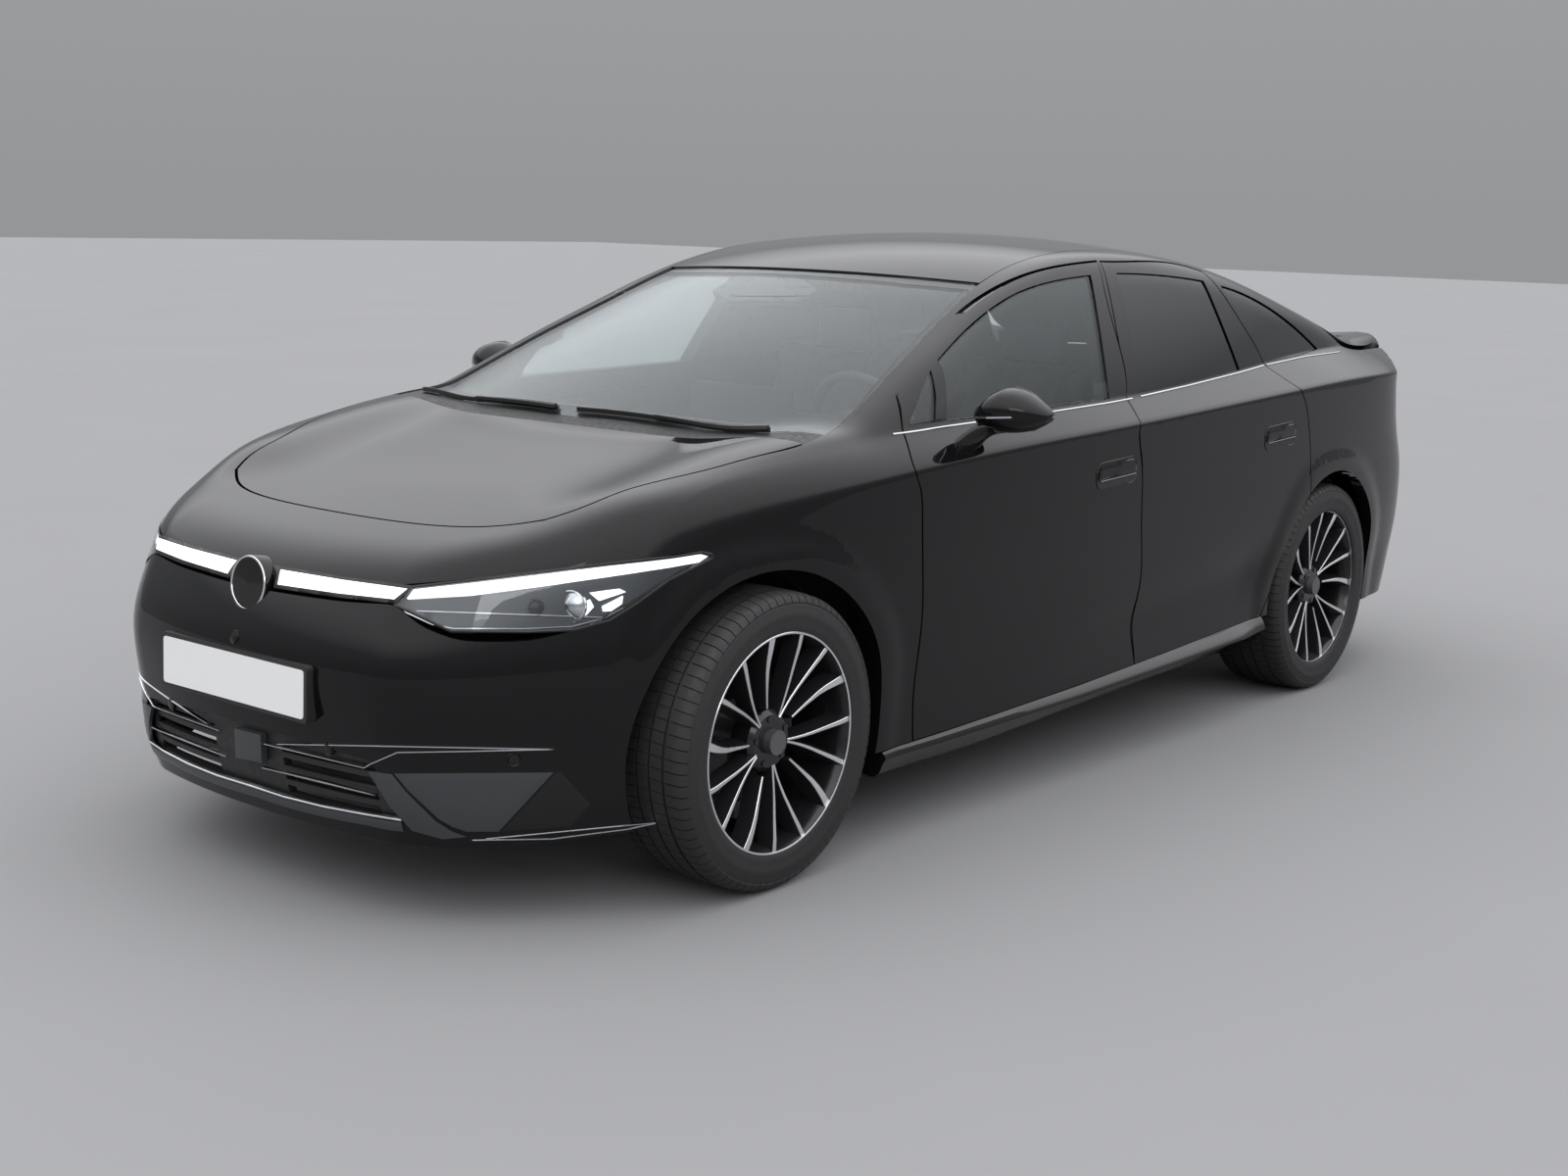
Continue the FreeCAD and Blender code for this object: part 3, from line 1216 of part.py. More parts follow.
def rod(name, radius, run, start, axis):
    """A cylinder from a start point along a direction."""
    shape = doc.addObject("Part::Cylinder", name)
    shape.setExpression("Radius", radius.text)
    shape.setExpression("Height", run.text)
    shape.Placement = FreeCAD.Placement(Vector(), FreeCAD.Rotation(Vector(0, 0, 1), axis))
    place(shape, *start)
    return shape


def fused(name, shapes):
    shape = doc.addObject("Part::MultiFuse", name)
    shape.Shapes = shapes
    return shape


def less(name, base, tool):
    shape = doc.addObject("Part::Cut", name)
    shape.Base = base
    shape.Tool = tool
    return shape


def across(name, source):
    """A piece's mirror image on the other side of the car."""
    shape = doc.addObject("Part::Mirroring", name)
    shape.Source = source
    shape.Normal = Vector(1, 0, 0)
    return shape


def group(name, shapes):
    shape = doc.addObject("Part::Compound", name)
    shape.Links = shapes
    return shape


def node(name, feature):
    feature.Label = name
    nodes[name] = feature
    return feature


def pair(name, left):
    """A left piece and its mirror image as two sub-parts."""
    node(name + "_left", left)
    node(name + "_right", across(name + "_mirror_image", left))


AXES = (("X", 0), ("Y", 1))


def sketch_on(body, name, role, loops):
    """A sketch of closed loops of straight lines on an origin plane, bound to the sheet."""
    sketch = body.newObject("Sketcher::SketchObject", name)
    planes = [item for item in body.Origin.OriginFeatures if item.Role == role]
    sketch.AttachmentSupport = [(planes[0], "")]
    sketch.MapMode = "FlatFace"
    for loop in loops:
        first = sketch.GeometryCount
        ends = loop[1:] + loop[:1]
        for (a, b), (c, d) in zip(loop, ends):
            sketch.addGeometry(Part.LineSegment(Vector(a.value, b.value, 0),
                                                Vector(c.value, d.value, 0)), False)
        for i, point in enumerate(loop):
            after = first + (i + 1) % len(loop)
            sketch.addConstraint(Sketcher.Constraint("Coincident", first + i, 2, after, 1))
            for axis, k in AXES:
                bind(sketch, axis, first + i, point[k])
    return sketch


def bind(sketch, axis, line, value):
    """Hold the start of a line at a distance from the sketch's origin."""
    if abs(value.value) < TINY:
        other = -2 if axis == "X" else -1
        sketch.addConstraint(Sketcher.Constraint("PointOnObject", line, 1, other))
        return
    kind = "Distance" + axis
    if value.value > 0:
        rule = Sketcher.Constraint(kind, -1, 1, line, 1, value.value)
    else:
        value = -value
        rule = Sketcher.Constraint(kind, line, 1, -1, 1, value.value)
    index = sketch.addConstraint(rule)
    sketch.setExpression("Constraints[%d]" % index, value.text)


def body_at(name, x, station, z):
    body = doc.addObject("PartDesign::Body", name)
    place(body, x, station, z)
    return body


def turned(body, name, loop):
    """A solid of revolution about the body's X axis."""
    sketch = sketch_on(body, name + "_sketch", "XY_Plane", [loop])
    feature = body.newObject("PartDesign::Revolution", name)
    feature.Profile = sketch
    feature.ReferenceAxis = (sketch, ["H_Axis"])
    feature.Angle = 360
    return feature


def padded(body, name, role, loops, start, run):
    """A straight extrusion of loops from a distance along the plane's normal."""
    sketch = sketch_on(body, name + "_sketch", role, loops)
    sketch.setExpression("AttachmentOffset.Base.z", start.text)
    feature = body.newObject("PartDesign::Pad", name)
    feature.Profile = sketch
    feature.setExpression("Length", run.text)
    return feature, sketch


def side_body(name, points, near, far):
    """A side-view polygon of stations and heights, extruded between two half widths."""
    body = body_at(name, ZERO, cell.length / 2, ZERO)
    padded(body, name + "_pad", "YZ_Plane", [points], near, far - near)
    return body


# Wheels

RIM_RADIUS = cell.rim_diameter / 2
DROP_RADIUS = RIM_RADIUS - cell.bead_drop
BARREL_BORE = RIM_RADIUS - cell.rim_wall
HUB_RADIUS = cell.hub_diameter / 2
HUB_BORE = cell.spindle_diameter / 2 + cell.running_gap
SPOKE_FACE = cell.rim_width / 2 - cell.spoke_inset
DISC_INNER = -cell.disc_inset - cell.disc_depth / 2
DISC_OUTER = DISC_INNER + cell.disc_depth
SPOKE_SETS = 5
# Each spoke of a set: its angles in degrees at the hub and at the rim, and its width as a share
SPOKE_SHARES = ((-5, -17, 1.0), (5, 17, 1.0), (36, 36, 1.5))


def spoke_loop(near_angle, far_angle, width_share):
    """One straight spoke from inside the hub to inside the barrel."""
    near, far = HUB_RADIUS * 0.9, BARREL_BORE + cell.rim_wall / 5
    half = cell.spoke_width * (width_share / 2)
    a, b = math.radians(near_angle), math.radians(far_angle)
    way = math.atan2(math.sin(b) * far.value - math.sin(a) * near.value,
                     math.cos(b) * far.value - math.cos(a) * near.value)
    points = []
    for reach, angle, sides in ((near, a, (-1, 1)), (far, b, (1, -1))):
        for side in sides:
            points.append((reach * math.cos(angle) - half * (side * math.sin(way)),
                           reach * math.sin(angle) + half * (side * math.cos(way))))
    return points


def rim(name, plane, station):
    """Hub and brake disc, spokes and barrel, outboard toward +X."""
    body = body_at(name, plane, station, AXLE_LEVEL)
    turned(body, name + "_hub", [
        (DISC_INNER, HUB_BORE), (SPOKE_FACE, HUB_BORE), (SPOKE_FACE, HUB_RADIUS),
        (DISC_OUTER, HUB_RADIUS), (DISC_OUTER, cell.disc_diameter / 2),
        (DISC_INNER, cell.disc_diameter / 2)])
    spokes, sketch = padded(
        body, name + "_spokes", "YZ_Plane", [spoke_loop(*shares) for shares in SPOKE_SHARES],
        SPOKE_FACE - cell.spoke_depth, cell.spoke_depth)
    pattern = body.newObject("PartDesign::PolarPattern", name + "_pattern")
    pattern.Originals = [spokes]
    pattern.Axis = (sketch, ["N_Axis"])
    pattern.Angle = 360
    pattern.Occurrences = SPOKE_SETS
    body.Tip = pattern
    doc.recompute()
    half = cell.rim_width / 2
    well = half - cell.rim_flange
    barrel = turned(body, name + "_barrel", [
        (-half, BARREL_BORE), (half, BARREL_BORE), (half, RIM_RADIUS), (well, RIM_RADIUS),
        (well, DROP_RADIUS), (-well, DROP_RADIUS), (-well, RIM_RADIUS), (-half, RIM_RADIUS)])
    body.Tip = barrel
    return body


def tyre(name, plane, station, width):
    body = body_at(name, plane, station, AXLE_LEVEL)
    half = width / 2
    bead = cell.rim_width / 2 - cell.rim_flange - cell.bead_gap
    seat = DROP_RADIUS + cell.bead_gap
    over = RIM_RADIUS + cell.bead_gap
    radius = cell.tyre_diameter / 2
    shoulder = cell.tyre_shoulder
    turned(body, name + "_ring", [
        (-bead, seat), (bead, seat), (bead, over), (half * 0.97, over + shoulder / 8),
        (half, over + shoulder), (half, radius - shoulder * 0.7),
        (half - shoulder * 0.25, radius - shoulder * 0.2), (half - shoulder * 0.6, radius),
        (-half + shoulder * 0.6, radius), (-half + shoulder * 0.25, radius - shoulder * 0.2),
        (-half, radius - shoulder * 0.7), (-half, over + shoulder),
        (-half * 0.97, over + shoulder / 8), (-bead, over)])
    return body


for end, plane, station, width in (
        ("front", cell.front_wheel_plane, FRONT_STATION, cell.front_tyre_width),
        ("rear", cell.rear_wheel_plane, REAR_STATION, cell.rear_tyre_width)):
    pair("rim_" + end, rim("rim_" + end, plane, station))
    pair("tyre_" + end, tyre("tyre_" + end, plane, station, width))

# Knuckles with their spindles and calipers

UPRIGHT = (cell.upright_plane - cell.arm_depth * 0.75, cell.upright_plane + cell.arm_depth * 0.75)
ARM_TOP = AXLE_LEVEL - cell.arm_drop + cell.arm_depth
LUG = (ARM_TOP + cell.bolt_gap, ARM_TOP + cell.bolt_gap + cell.arm_depth * 1.7)
DISC_PLANE = cell.front_wheel_plane - cell.disc_inset
SPINDLE = cell.spindle_diameter / 2
caliper_stations = (FRONT_STATION + HUB_RADIUS * 1.4, FRONT_STATION + cell.disc_diameter * 0.62)
caliper_levels = (AXLE_LEVEL - cell.arm_width, AXLE_LEVEL + cell.arm_width * 1.5)
slot_half = cell.disc_depth / 2 + cell.shut_gap
caliper = less("caliper", box(
    "caliper_block", (UPRIGHT[0], DISC_PLANE + cell.disc_depth * 1.5), caliper_stations,
    caliper_levels), box("caliper_slot", (DISC_PLANE - slot_half, DISC_PLANE + slot_half),
                         (FRONT_STATION, FRONT_STATION + cell.disc_diameter / 2 + cell.shut_gap),
                         (AXLE_LEVEL - cell.disc_diameter, AXLE_LEVEL + cell.disc_diameter)))
knuckle = less("knuckle_bored", fused("knuckle_solid", [
    box("upright", UPRIGHT, (FRONT_STATION - cell.arm_width, FRONT_STATION + cell.arm_width),
        (LUG[0], AXLE_LEVEL + cell.arm_width * 1.5)),
    box("caliper_bracket", UPRIGHT, (FRONT_STATION, caliper_stations[1]), caliper_levels),
    box("lug", (UPRIGHT[0], cell.kingpin_plane + cell.kingpin_diameter),
        (FRONT_STATION - cell.arm_width / 2, FRONT_STATION + cell.arm_width / 2), LUG),
    rod("spindle", SPINDLE, cell.front_wheel_plane + SPOKE_FACE - cell.upright_plane,
        (cell.upright_plane, FRONT_STATION, AXLE_LEVEL), Vector(1, 0, 0)), caliper]),
    rod("kingpin_bore", cell.kingpin_diameter / 2 + cell.running_gap, cell.arm_drop,
        (cell.kingpin_plane, FRONT_STATION, ARM_TOP), Vector(0, 0, 1)))
pair("knuckle", knuckle)

# Front and rear subframes

front_box = (FRONT_STATION - cell.arm_width * 2, FRONT_STATION + cell.arm_width * 2)
rail_inner = cell.bay_half_width - cell.rail_width
low_box = (cell.battery_height, cell.battery_height + cell.arm_width * 2)
front_parts = [box("front_cross", (-rail_inner, rail_inner), front_box, low_box)]
for side, sign in (("left", 1), ("right", -1)):
    def span(near, far):
        return (near * sign, far * sign) if sign > 0 else (far * sign, near * sign)
    front_parts += [
        box("front_arm_" + side, span(rail_inner * 0.9, cell.kingpin_plane + cell.arm_width * 0.6),
            (FRONT_STATION - cell.arm_width / 2, FRONT_STATION + cell.arm_width / 2),
            (ARM_TOP - cell.arm_depth, ARM_TOP)),
        rod("kingpin_" + side, cell.kingpin_diameter / 2, cell.arm_depth * 2.5,
            (cell.kingpin_plane * sign, FRONT_STATION, ARM_TOP - cell.arm_depth / 2),
            Vector(0, 0, 1)),
        box("tower_" + side, span(rail_inner * 0.9, rail_inner + cell.rail_width * 0.8),
            front_box, (low_box[0], cell.rail_level - cell.bolt_gap))]
node("front_subframe", fused("front_subframe_solid", front_parts))

rear_box = (REAR_STATION - cell.arm_width * 2, REAR_STATION + cell.arm_width * 2)
rear_parts = [
    box("rear_cross", (-rail_inner, rail_inner), rear_box,
        (AXLE_LEVEL - cell.arm_width, AXLE_LEVEL + cell.arm_width)),
    box("motor_block", (-rail_inner * 0.55, rail_inner * 0.55),
        (rear_box[0] - cell.arm_width * 2, rear_box[1]), (low_box[0] + cell.arm_width,
                                                          AXLE_LEVEL + cell.arm_width * 3))]
for side, sign in (("left", 1), ("right", -1)):
    rear_parts.append(rod(
        "rear_spindle_" + side, SPINDLE, cell.rear_wheel_plane + SPOKE_FACE - rail_inner * 0.9,
        (rail_inner * 0.9 * sign, REAR_STATION, AXLE_LEVEL), Vector(sign, 0, 0)))
    near, far = rail_inner * 0.9, rail_inner + cell.rail_width * 0.8
    xs = (near, far) if sign > 0 else (-far, -near)
    rear_parts.append(box("rear_tower_" + side, xs, rear_box,
                          (AXLE_LEVEL - cell.arm_width, cell.trunk_level - cell.rail_depth
                           - cell.bolt_gap)))
node("rear_subframe", fused("rear_subframe_solid", rear_parts))

# Battery, floor and rails

FLOOR_TOP = cell.floor_level + cell.floor_wall
RAIL_TOP = cell.rail_level + cell.rail_depth
TRUNK_TOP = cell.trunk_level + cell.floor_wall
battery = side_body("battery_pack", [
    (cell.bulkhead_station + cell.rail_depth - cell.length / 2, cell.battery_height),
    (cell.seat_riser_station - cell.arm_width - cell.length / 2, cell.battery_height),
    (cell.seat_riser_station - cell.arm_width - cell.length / 2, cell.floor_level - cell.bolt_gap),
    (cell.bulkhead_station + cell.rail_depth - cell.length / 2,
     cell.floor_level - cell.bolt_gap)], -cell.cabin_half_width * 0.8, cell.cabin_half_width * 0.8)
node("battery_pack", battery)
inside_x = (-cell.cabin_half_width, cell.cabin_half_width)
bay_x = (-cell.bay_half_width, cell.bay_half_width)
rear_end = cell.length * 0.9345
pan_parts = [
    box("floor_plate", inside_x, (cell.bulkhead_station, cell.seat_riser_station),
        (cell.floor_level, FLOOR_TOP)),
    box("bulkhead", inside_x, (cell.bulkhead_station, cell.bulkhead_station + cell.floor_wall),
        (cell.floor_level, cell.height * 0.625)),
    box("bulkhead_foot", bay_x, (cell.bulkhead_station, cell.bulkhead_station + cell.floor_wall),
        (cell.floor_level, RAIL_TOP)),
    box("seat_riser", inside_x, (cell.seat_riser_station,
                                 cell.seat_riser_station + cell.floor_wall),
        (cell.floor_level, TRUNK_TOP)),
    box("trunk_plate", bay_x, (cell.seat_riser_station, rear_end), (cell.trunk_level, TRUNK_TOP)),
    box("tail_plate", bay_x, (rear_end, rear_end + cell.floor_wall),
        (cell.rail_level, TRUNK_TOP + cell.arm_width)),
    box("crash_beam", bay_x, (cell.length * 0.032, cell.length * 0.04),
        (cell.rail_level, RAIL_TOP))]
for side, sign in (("left", 1), ("right", -1)):
    xs = (rail_inner, cell.bay_half_width)
    if sign < 0:
        xs = (-cell.bay_half_width, -rail_inner)
    pan_parts.append(box("front_rail_" + side, xs, (cell.length * 0.04, cell.bulkhead_station),
                         (cell.rail_level, RAIL_TOP)))
    pan_parts.append(box("rear_rail_" + side, xs, (cell.seat_riser_station, rear_end),
                         (cell.trunk_level - cell.rail_depth, cell.trunk_level)))
node("floor_pan", fused("floor_pan_solid", pan_parts))

tub_x = cell.bay_half_width * 0.98
tub_wall = cell.floor_wall
tub_stations = (cell.length * 0.095, cell.bulkhead_station - cell.bolt_gap)
tub_levels = (RAIL_TOP + cell.bolt_gap, cell.height * 0.51)
node("front_trunk", less("front_trunk_tub", box(
    "tub_block", (-tub_x, tub_x), tub_stations, tub_levels), box(
        "tub_hollow", (-tub_x + tub_wall, tub_x - tub_wall),
        (tub_stations[0] + tub_wall, tub_stations[1] - tub_wall),
        (tub_levels[0] + tub_wall, tub_levels[1] + tub_wall))))


def liner(name, station, side, sign):
    """The shell over a wheel, with its inner wall."""
    near = cell.bay_half_width + cell.bolt_gap
    far = cell.cabin_half_width + cell.arm_width * (0.9 if station is REAR_STATION else -0.9)
    wall = cell.liner_wall
    radius = AXLE_LEVEL + cell.arch_clearance + cell.bolt_gap * 6
    def drum(suffix, reach, start, end):
        return rod(name + suffix, reach, end - start, (start * sign, station, AXLE_LEVEL),
                   Vector(sign, 0, 0))
    shell = less(name + "_hollowed", drum("_drum", radius + wall, near, far),
                 drum("_hollow", radius, near + wall, far + wall))
    xs = (near - wall, far + wall) if sign > 0 else (-far - wall, -near + wall)
    keep = box(name + "_keep", xs, (station - radius - wall * 2, station + radius + wall * 2),
               (AXLE_LEVEL + cell.arm_width * 1.6, AXLE_LEVEL + radius + wall * 2))
    shape = doc.addObject("Part::Common", name + "_upper")
    shape.Base = shell
    shape.Tool = keep
    return shape


liners = []
for end, station in (("front", FRONT_STATION), ("rear", REAR_STATION)):
    for side, sign in (("left", 1), ("right", -1)):
        liners.append(liner("liner_%s_%s" % (end, side), station, side, sign))
node("wheel_liners", group("wheel_liner_set", liners))

# Cabin


def back_from(station_share, level_share):
    """A side-view point given as shares of length and height."""
    return (cell.length * (station_share - 0.5), cell.height * level_share)


DASH_SHARES = ((0.3145, 0.6576), (0.3548, 0.625), (0.3588, 0.5469), (0.3326, 0.4557),
               (0.3024, 0.4167))
dash_front = cell.bulkhead_station + cell.floor_wall + cell.bolt_gap - cell.length / 2
dash_points = [(dash_front, cell.height * 0.638)]
dash_points += [back_from(*shares) for shares in DASH_SHARES]
dash_points.append((dash_front, cell.height * 0.4167))
dash_body = side_body("dash_body", dash_points, -cell.dash_width / 2, cell.dash_width / 2)
console = box("console", (-cell.console_width / 2, cell.console_width / 2),
              (cell.length * 0.33, cell.length * 0.514),
              (FLOOR_TOP + cell.bolt_gap, cell.height * 0.39))
pillar_post = box("dash_post", (-cell.console_width / 2, cell.console_width / 2),
                  (cell.length * 0.31, cell.length * 0.345),
                  (FLOOR_TOP + cell.bolt_gap, cell.height * 0.5))
lean = math.radians(size.steering_angle)
toward_driver = Vector(0, math.cos(lean), math.sin(lean))
bore_run = cell.steering_wheel_diameter
steering_centre = (cell.seat_plane, cell.length * 0.381, cell.height * 0.6413)
node("dashboard", less("dash_bored", fused("dash_solid", [dash_body, console, pillar_post]), rod(
    "column_bore", cell.steering_shaft_diameter / 2 + cell.running_gap, bore_run,
    steering_centre, -toward_driver)))

steering_parts = []
ring = doc.addObject("Part::Torus", "steering_ring")
ring.setExpression("Radius1", ((cell.steering_wheel_diameter
                                - cell.steering_rim_diameter) / 2).text)
ring.setExpression("Radius2", (cell.steering_rim_diameter / 2).text)
steering_parts.append(ring)
reach = (cell.steering_wheel_diameter - cell.steering_rim_diameter) / 2
spoke = cell.steering_rim_diameter / 2


def local_box(name, x, y, z):
    shape = doc.addObject("Part::Box", name)
    for side, (low, high) in zip(("Length", "Width", "Height"), (x, y, z)):
        shape.setExpression(side, (high - low).text)
    for axis, (low, _) in zip("xyz", (x, y, z)):
        shape.setExpression("Placement.Base." + axis, low.text)
    return shape


steering_parts.append(local_box("steering_bar", (-reach, reach), (-spoke, spoke), (-spoke, ZERO)))
steering_parts.append(local_box("steering_stem", (-spoke, spoke), (ZERO, reach), (-spoke, ZERO)))
steering_parts.append(local_box("steering_boss", (-spoke * 5, spoke * 5), (-spoke * 4, spoke * 4),
                                (-spoke * 2, spoke)))
shaft = doc.addObject("Part::Cylinder", "steering_shaft")
shaft.setExpression("Radius", (cell.steering_shaft_diameter / 2).text)
shaft.setExpression("Height", (bore_run * 0.95).text)
shaft.setExpression("Placement.Base.z", (bore_run * -0.95).text)
steering_parts.append(shaft)
steering = fused("steering_solid", steering_parts)
steering.Placement = FreeCAD.Placement(
    Vector(), FreeCAD.Rotation(Vector(1, 0, 0), size.steering_angle - 90))
place(steering, *steering_centre)
node("steering_wheel", steering)

FRONT_SEAT_SHARES = ((0.432, 0.293), (0.53, 0.293), (0.5744, 0.66), (0.5643, 0.7617),
                     (0.5462, 0.7617), (0.53, 0.58), (0.512, 0.375), (0.436, 0.39))
REAR_SEAT_SHARES = ((0.6047, 0.24), (0.6813, 0.24), (0.6813, 0.42), (0.705, 0.66), (0.6853, 0.66),
                    (0.6571, 0.36), (0.6047, 0.37))
seat_half = cell.seat_width / 2
seat_back = [back_from(*shares) for shares in FRONT_SEAT_SHARES]
seat_left = fused("seat_left", [
    side_body("seat_body", seat_back, cell.seat_plane - seat_half, cell.seat_plane + seat_half),
    box("seat_base", (cell.seat_plane - seat_half * 0.7, cell.seat_plane + seat_half * 0.7),
        (cell.length * 0.44, cell.length * 0.525),
        (FLOOR_TOP + cell.bolt_gap, cell.height * 0.3)),
    box("head_rest", (cell.seat_plane - seat_half * 0.45, cell.seat_plane + seat_half * 0.45),
        (cell.length * 0.549, cell.length * 0.566), (cell.height * 0.74, cell.height * 0.835))])
node("front_seats", group("front_seat_pair", [seat_left, across("seat_right", seat_left)]))
rear_half = cell.rear_seat_width / 2
node("rear_seat", fused("rear_seat_solid", [
    side_body("rear_seat_body", [back_from(*shares) for shares in REAR_SEAT_SHARES],
              -rear_half, rear_half),
    box("rear_seat_base", (-rear_half, rear_half), (cell.length * 0.61, cell.length * 0.68),
        (FLOOR_TOP + cell.bolt_gap, cell.height * 0.25))]))


# Checks and files

doc.recompute()
os.makedirs("parts", exist_ok=True)
for item in doc.Objects:
    if "Invalid" in item.State or "Error" in item.State:
        raise RuntimeError("%s failed to recompute" % item.Name)
for name, feature in nodes.items():
    shape = feature.Shape
    if shape.isNull() or not shape.isValid() or not shape.Solids:
        raise RuntimeError("%s has no valid solid" % name)
for name, feature in nodes.items():
    feature.Shape.exportStep("parts/%s.step" % name)
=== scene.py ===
"""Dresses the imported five-door sedan: skins, glass, lamps, trim, wheels, cabin and studio."""
import json
import logging
import math
from dataclasses import dataclass
from enum import Enum
from typing import Callable, Iterable, Optional, Sequence, Union

import bmesh
import bpy
import numpy as np
from mathutils import Matrix, Vector
from mathutils.geometry import delaunay_2d_cdt


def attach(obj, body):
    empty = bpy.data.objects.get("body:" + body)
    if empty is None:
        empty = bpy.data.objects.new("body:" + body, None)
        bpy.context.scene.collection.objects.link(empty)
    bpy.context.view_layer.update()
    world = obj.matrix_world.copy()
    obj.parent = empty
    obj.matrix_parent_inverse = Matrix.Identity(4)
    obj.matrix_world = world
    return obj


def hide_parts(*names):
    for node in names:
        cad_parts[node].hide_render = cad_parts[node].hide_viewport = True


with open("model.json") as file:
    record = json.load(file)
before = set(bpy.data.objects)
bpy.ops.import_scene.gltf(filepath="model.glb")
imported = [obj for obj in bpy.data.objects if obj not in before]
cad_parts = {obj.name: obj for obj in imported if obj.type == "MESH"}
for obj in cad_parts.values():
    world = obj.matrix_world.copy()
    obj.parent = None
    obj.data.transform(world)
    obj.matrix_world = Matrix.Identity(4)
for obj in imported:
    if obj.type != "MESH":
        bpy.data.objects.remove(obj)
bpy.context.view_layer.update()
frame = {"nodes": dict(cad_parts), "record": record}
log = logging.getLogger("sedan")

Shape = tuple[np.ndarray, list[tuple[int, ...]]]
Pairs = Sequence[tuple[float, float]]


@dataclass(frozen=True)
class CarSize:
    """Leading sizes of the car, in metres."""

    length: float = 4.961
    half: float = 0.931
    height: float = 1.536
    front_axle: float = 0.880
    rear_axle: float = 3.846
    wheel_radius: float = 0.360
    front_plane: float = 0.795
    rear_plane: float = 0.785


def rounded(half: float, rise: float, corner: float, steps: int) -> list[tuple[float, float]]:
    """Return a rectangle's outline with round corners.

    Args:
        half: Half its width.
        rise: Half its height.
        corner: The corners' radius.
        steps: Edges in each corner.

    Returns:
        Its points in order.
    """
    points = []
    for quarter in range(4):
        cx = (half - corner) * (1 if quarter in (0, 3) else -1)
        cy = (rise - corner) * (1 if quarter < 2 else -1)
        for step in range(steps + 1):
            angle = math.radians(90 * quarter + 90 / steps * step)
            points.append((cx + corner * math.cos(angle), cy + corner * math.sin(angle)))
    return points


@dataclass(frozen=True)
class HandlePocket:
    """A door handle's pocket, not cut in but shown by a patch of painted shade: its middle, its
    half sizes and its slope in side view.
    """

    door: str
    station: float
    level: float
    half_run: float = 0.110
    half_rise: float = 0.036
    slope: float = 0.045
    corner: float = 0.030

    def outline(self, grow: float, low: float = -1.0, high: float = 1.0) -> list:
        """Return the pocket's outline in side view.

        Args:
            grow: How far outside the pocket it runs.
            low: Lowest part of the height that it takes, from -1 to 1.
            high: Highest part.

        Returns:
            Rows of station and height.
        """
        rise = self.half_rise + grow
        points = []
        for along, up in rounded(self.half_run + grow, rise, self.corner, 6):
            up = min(max(up, low * rise), high * rise)
            points.append((self.station + along, self.level + up + self.slope * along))
        kept = [points[0]]
        for point in points[1:]:
            if math.dist(point, kept[-1]) > 0.002:
                kept.append(point)
        return kept


HANDLES = (HandlePocket("front_door", 2.341, 0.883), HandlePocket("rear_door", 3.393, 0.917))


def ease(share: np.ndarray) -> np.ndarray:
    """Return a smooth step from 0 to 1."""
    share = np.clip(share, 0.0, 1.0)
    return share ** 3 * (share * (6 * share - 15) + 10)


def soft_low(a: np.ndarray, b: np.ndarray, blend: float) -> np.ndarray:
    """Return the lower of two values, rounded where they meet."""
    near = np.maximum(blend - np.abs(a - b), 0.0) / blend
    return np.minimum(a, b) - near ** 3 * blend / 6


class Curve:
    """A natural cubic through given shares of two sizes, straight beyond its ends."""

    def __init__(self, shares: Pairs, unit: float, scale: float) -> None:
        """Solve the cubic.

        Args:
            shares: Pairs of argument and value.
            unit: Size that the arguments are shares of.
            scale: Size that the values are shares of.
        """
        table = np.array(shares)
        self.places, self.values = table[:, 0] * unit, table[:, 1] * scale
        steps = np.diff(self.places)
        slopes = np.diff(self.values) / steps
        count = len(table)
        system, right = np.eye(count), np.zeros(count)
        for i in range(1, count - 1):
            system[i, i - 1:i + 2] = steps[i - 1], 2 * (steps[i - 1] + steps[i]), steps[i]
            right[i] = 6 * (slopes[i] - slopes[i - 1])
        self.bends = np.linalg.solve(system, right)
        self.first = slopes[0] - steps[0] * self.bends[1] / 6
        self.last = slopes[-1] + steps[-1] * self.bends[-2] / 6

    def __call__(self, argument: np.ndarray) -> np.ndarray:
        """Return the curve's values."""
        a = np.asarray(argument, float)
        i = np.clip(np.searchsorted(self.places, a) - 1, 0, len(self.places) - 2)
        step = self.places[i + 1] - self.places[i]
        p = (self.places[i + 1] - a) / step
        q = 1 - p
        bend = ((p ** 3 - p) * self.bends[i] + (q ** 3 - q) * self.bends[i + 1]) * step ** 2 / 6
        value = p * self.values[i] + q * self.values[i + 1] + bend
        value = np.where(a < self.places[0],
                         self.values[0] + self.first * (a - self.places[0]), value)
        return np.where(a > self.places[-1],
                        self.values[-1] + self.last * (a - self.places[-1]), value)


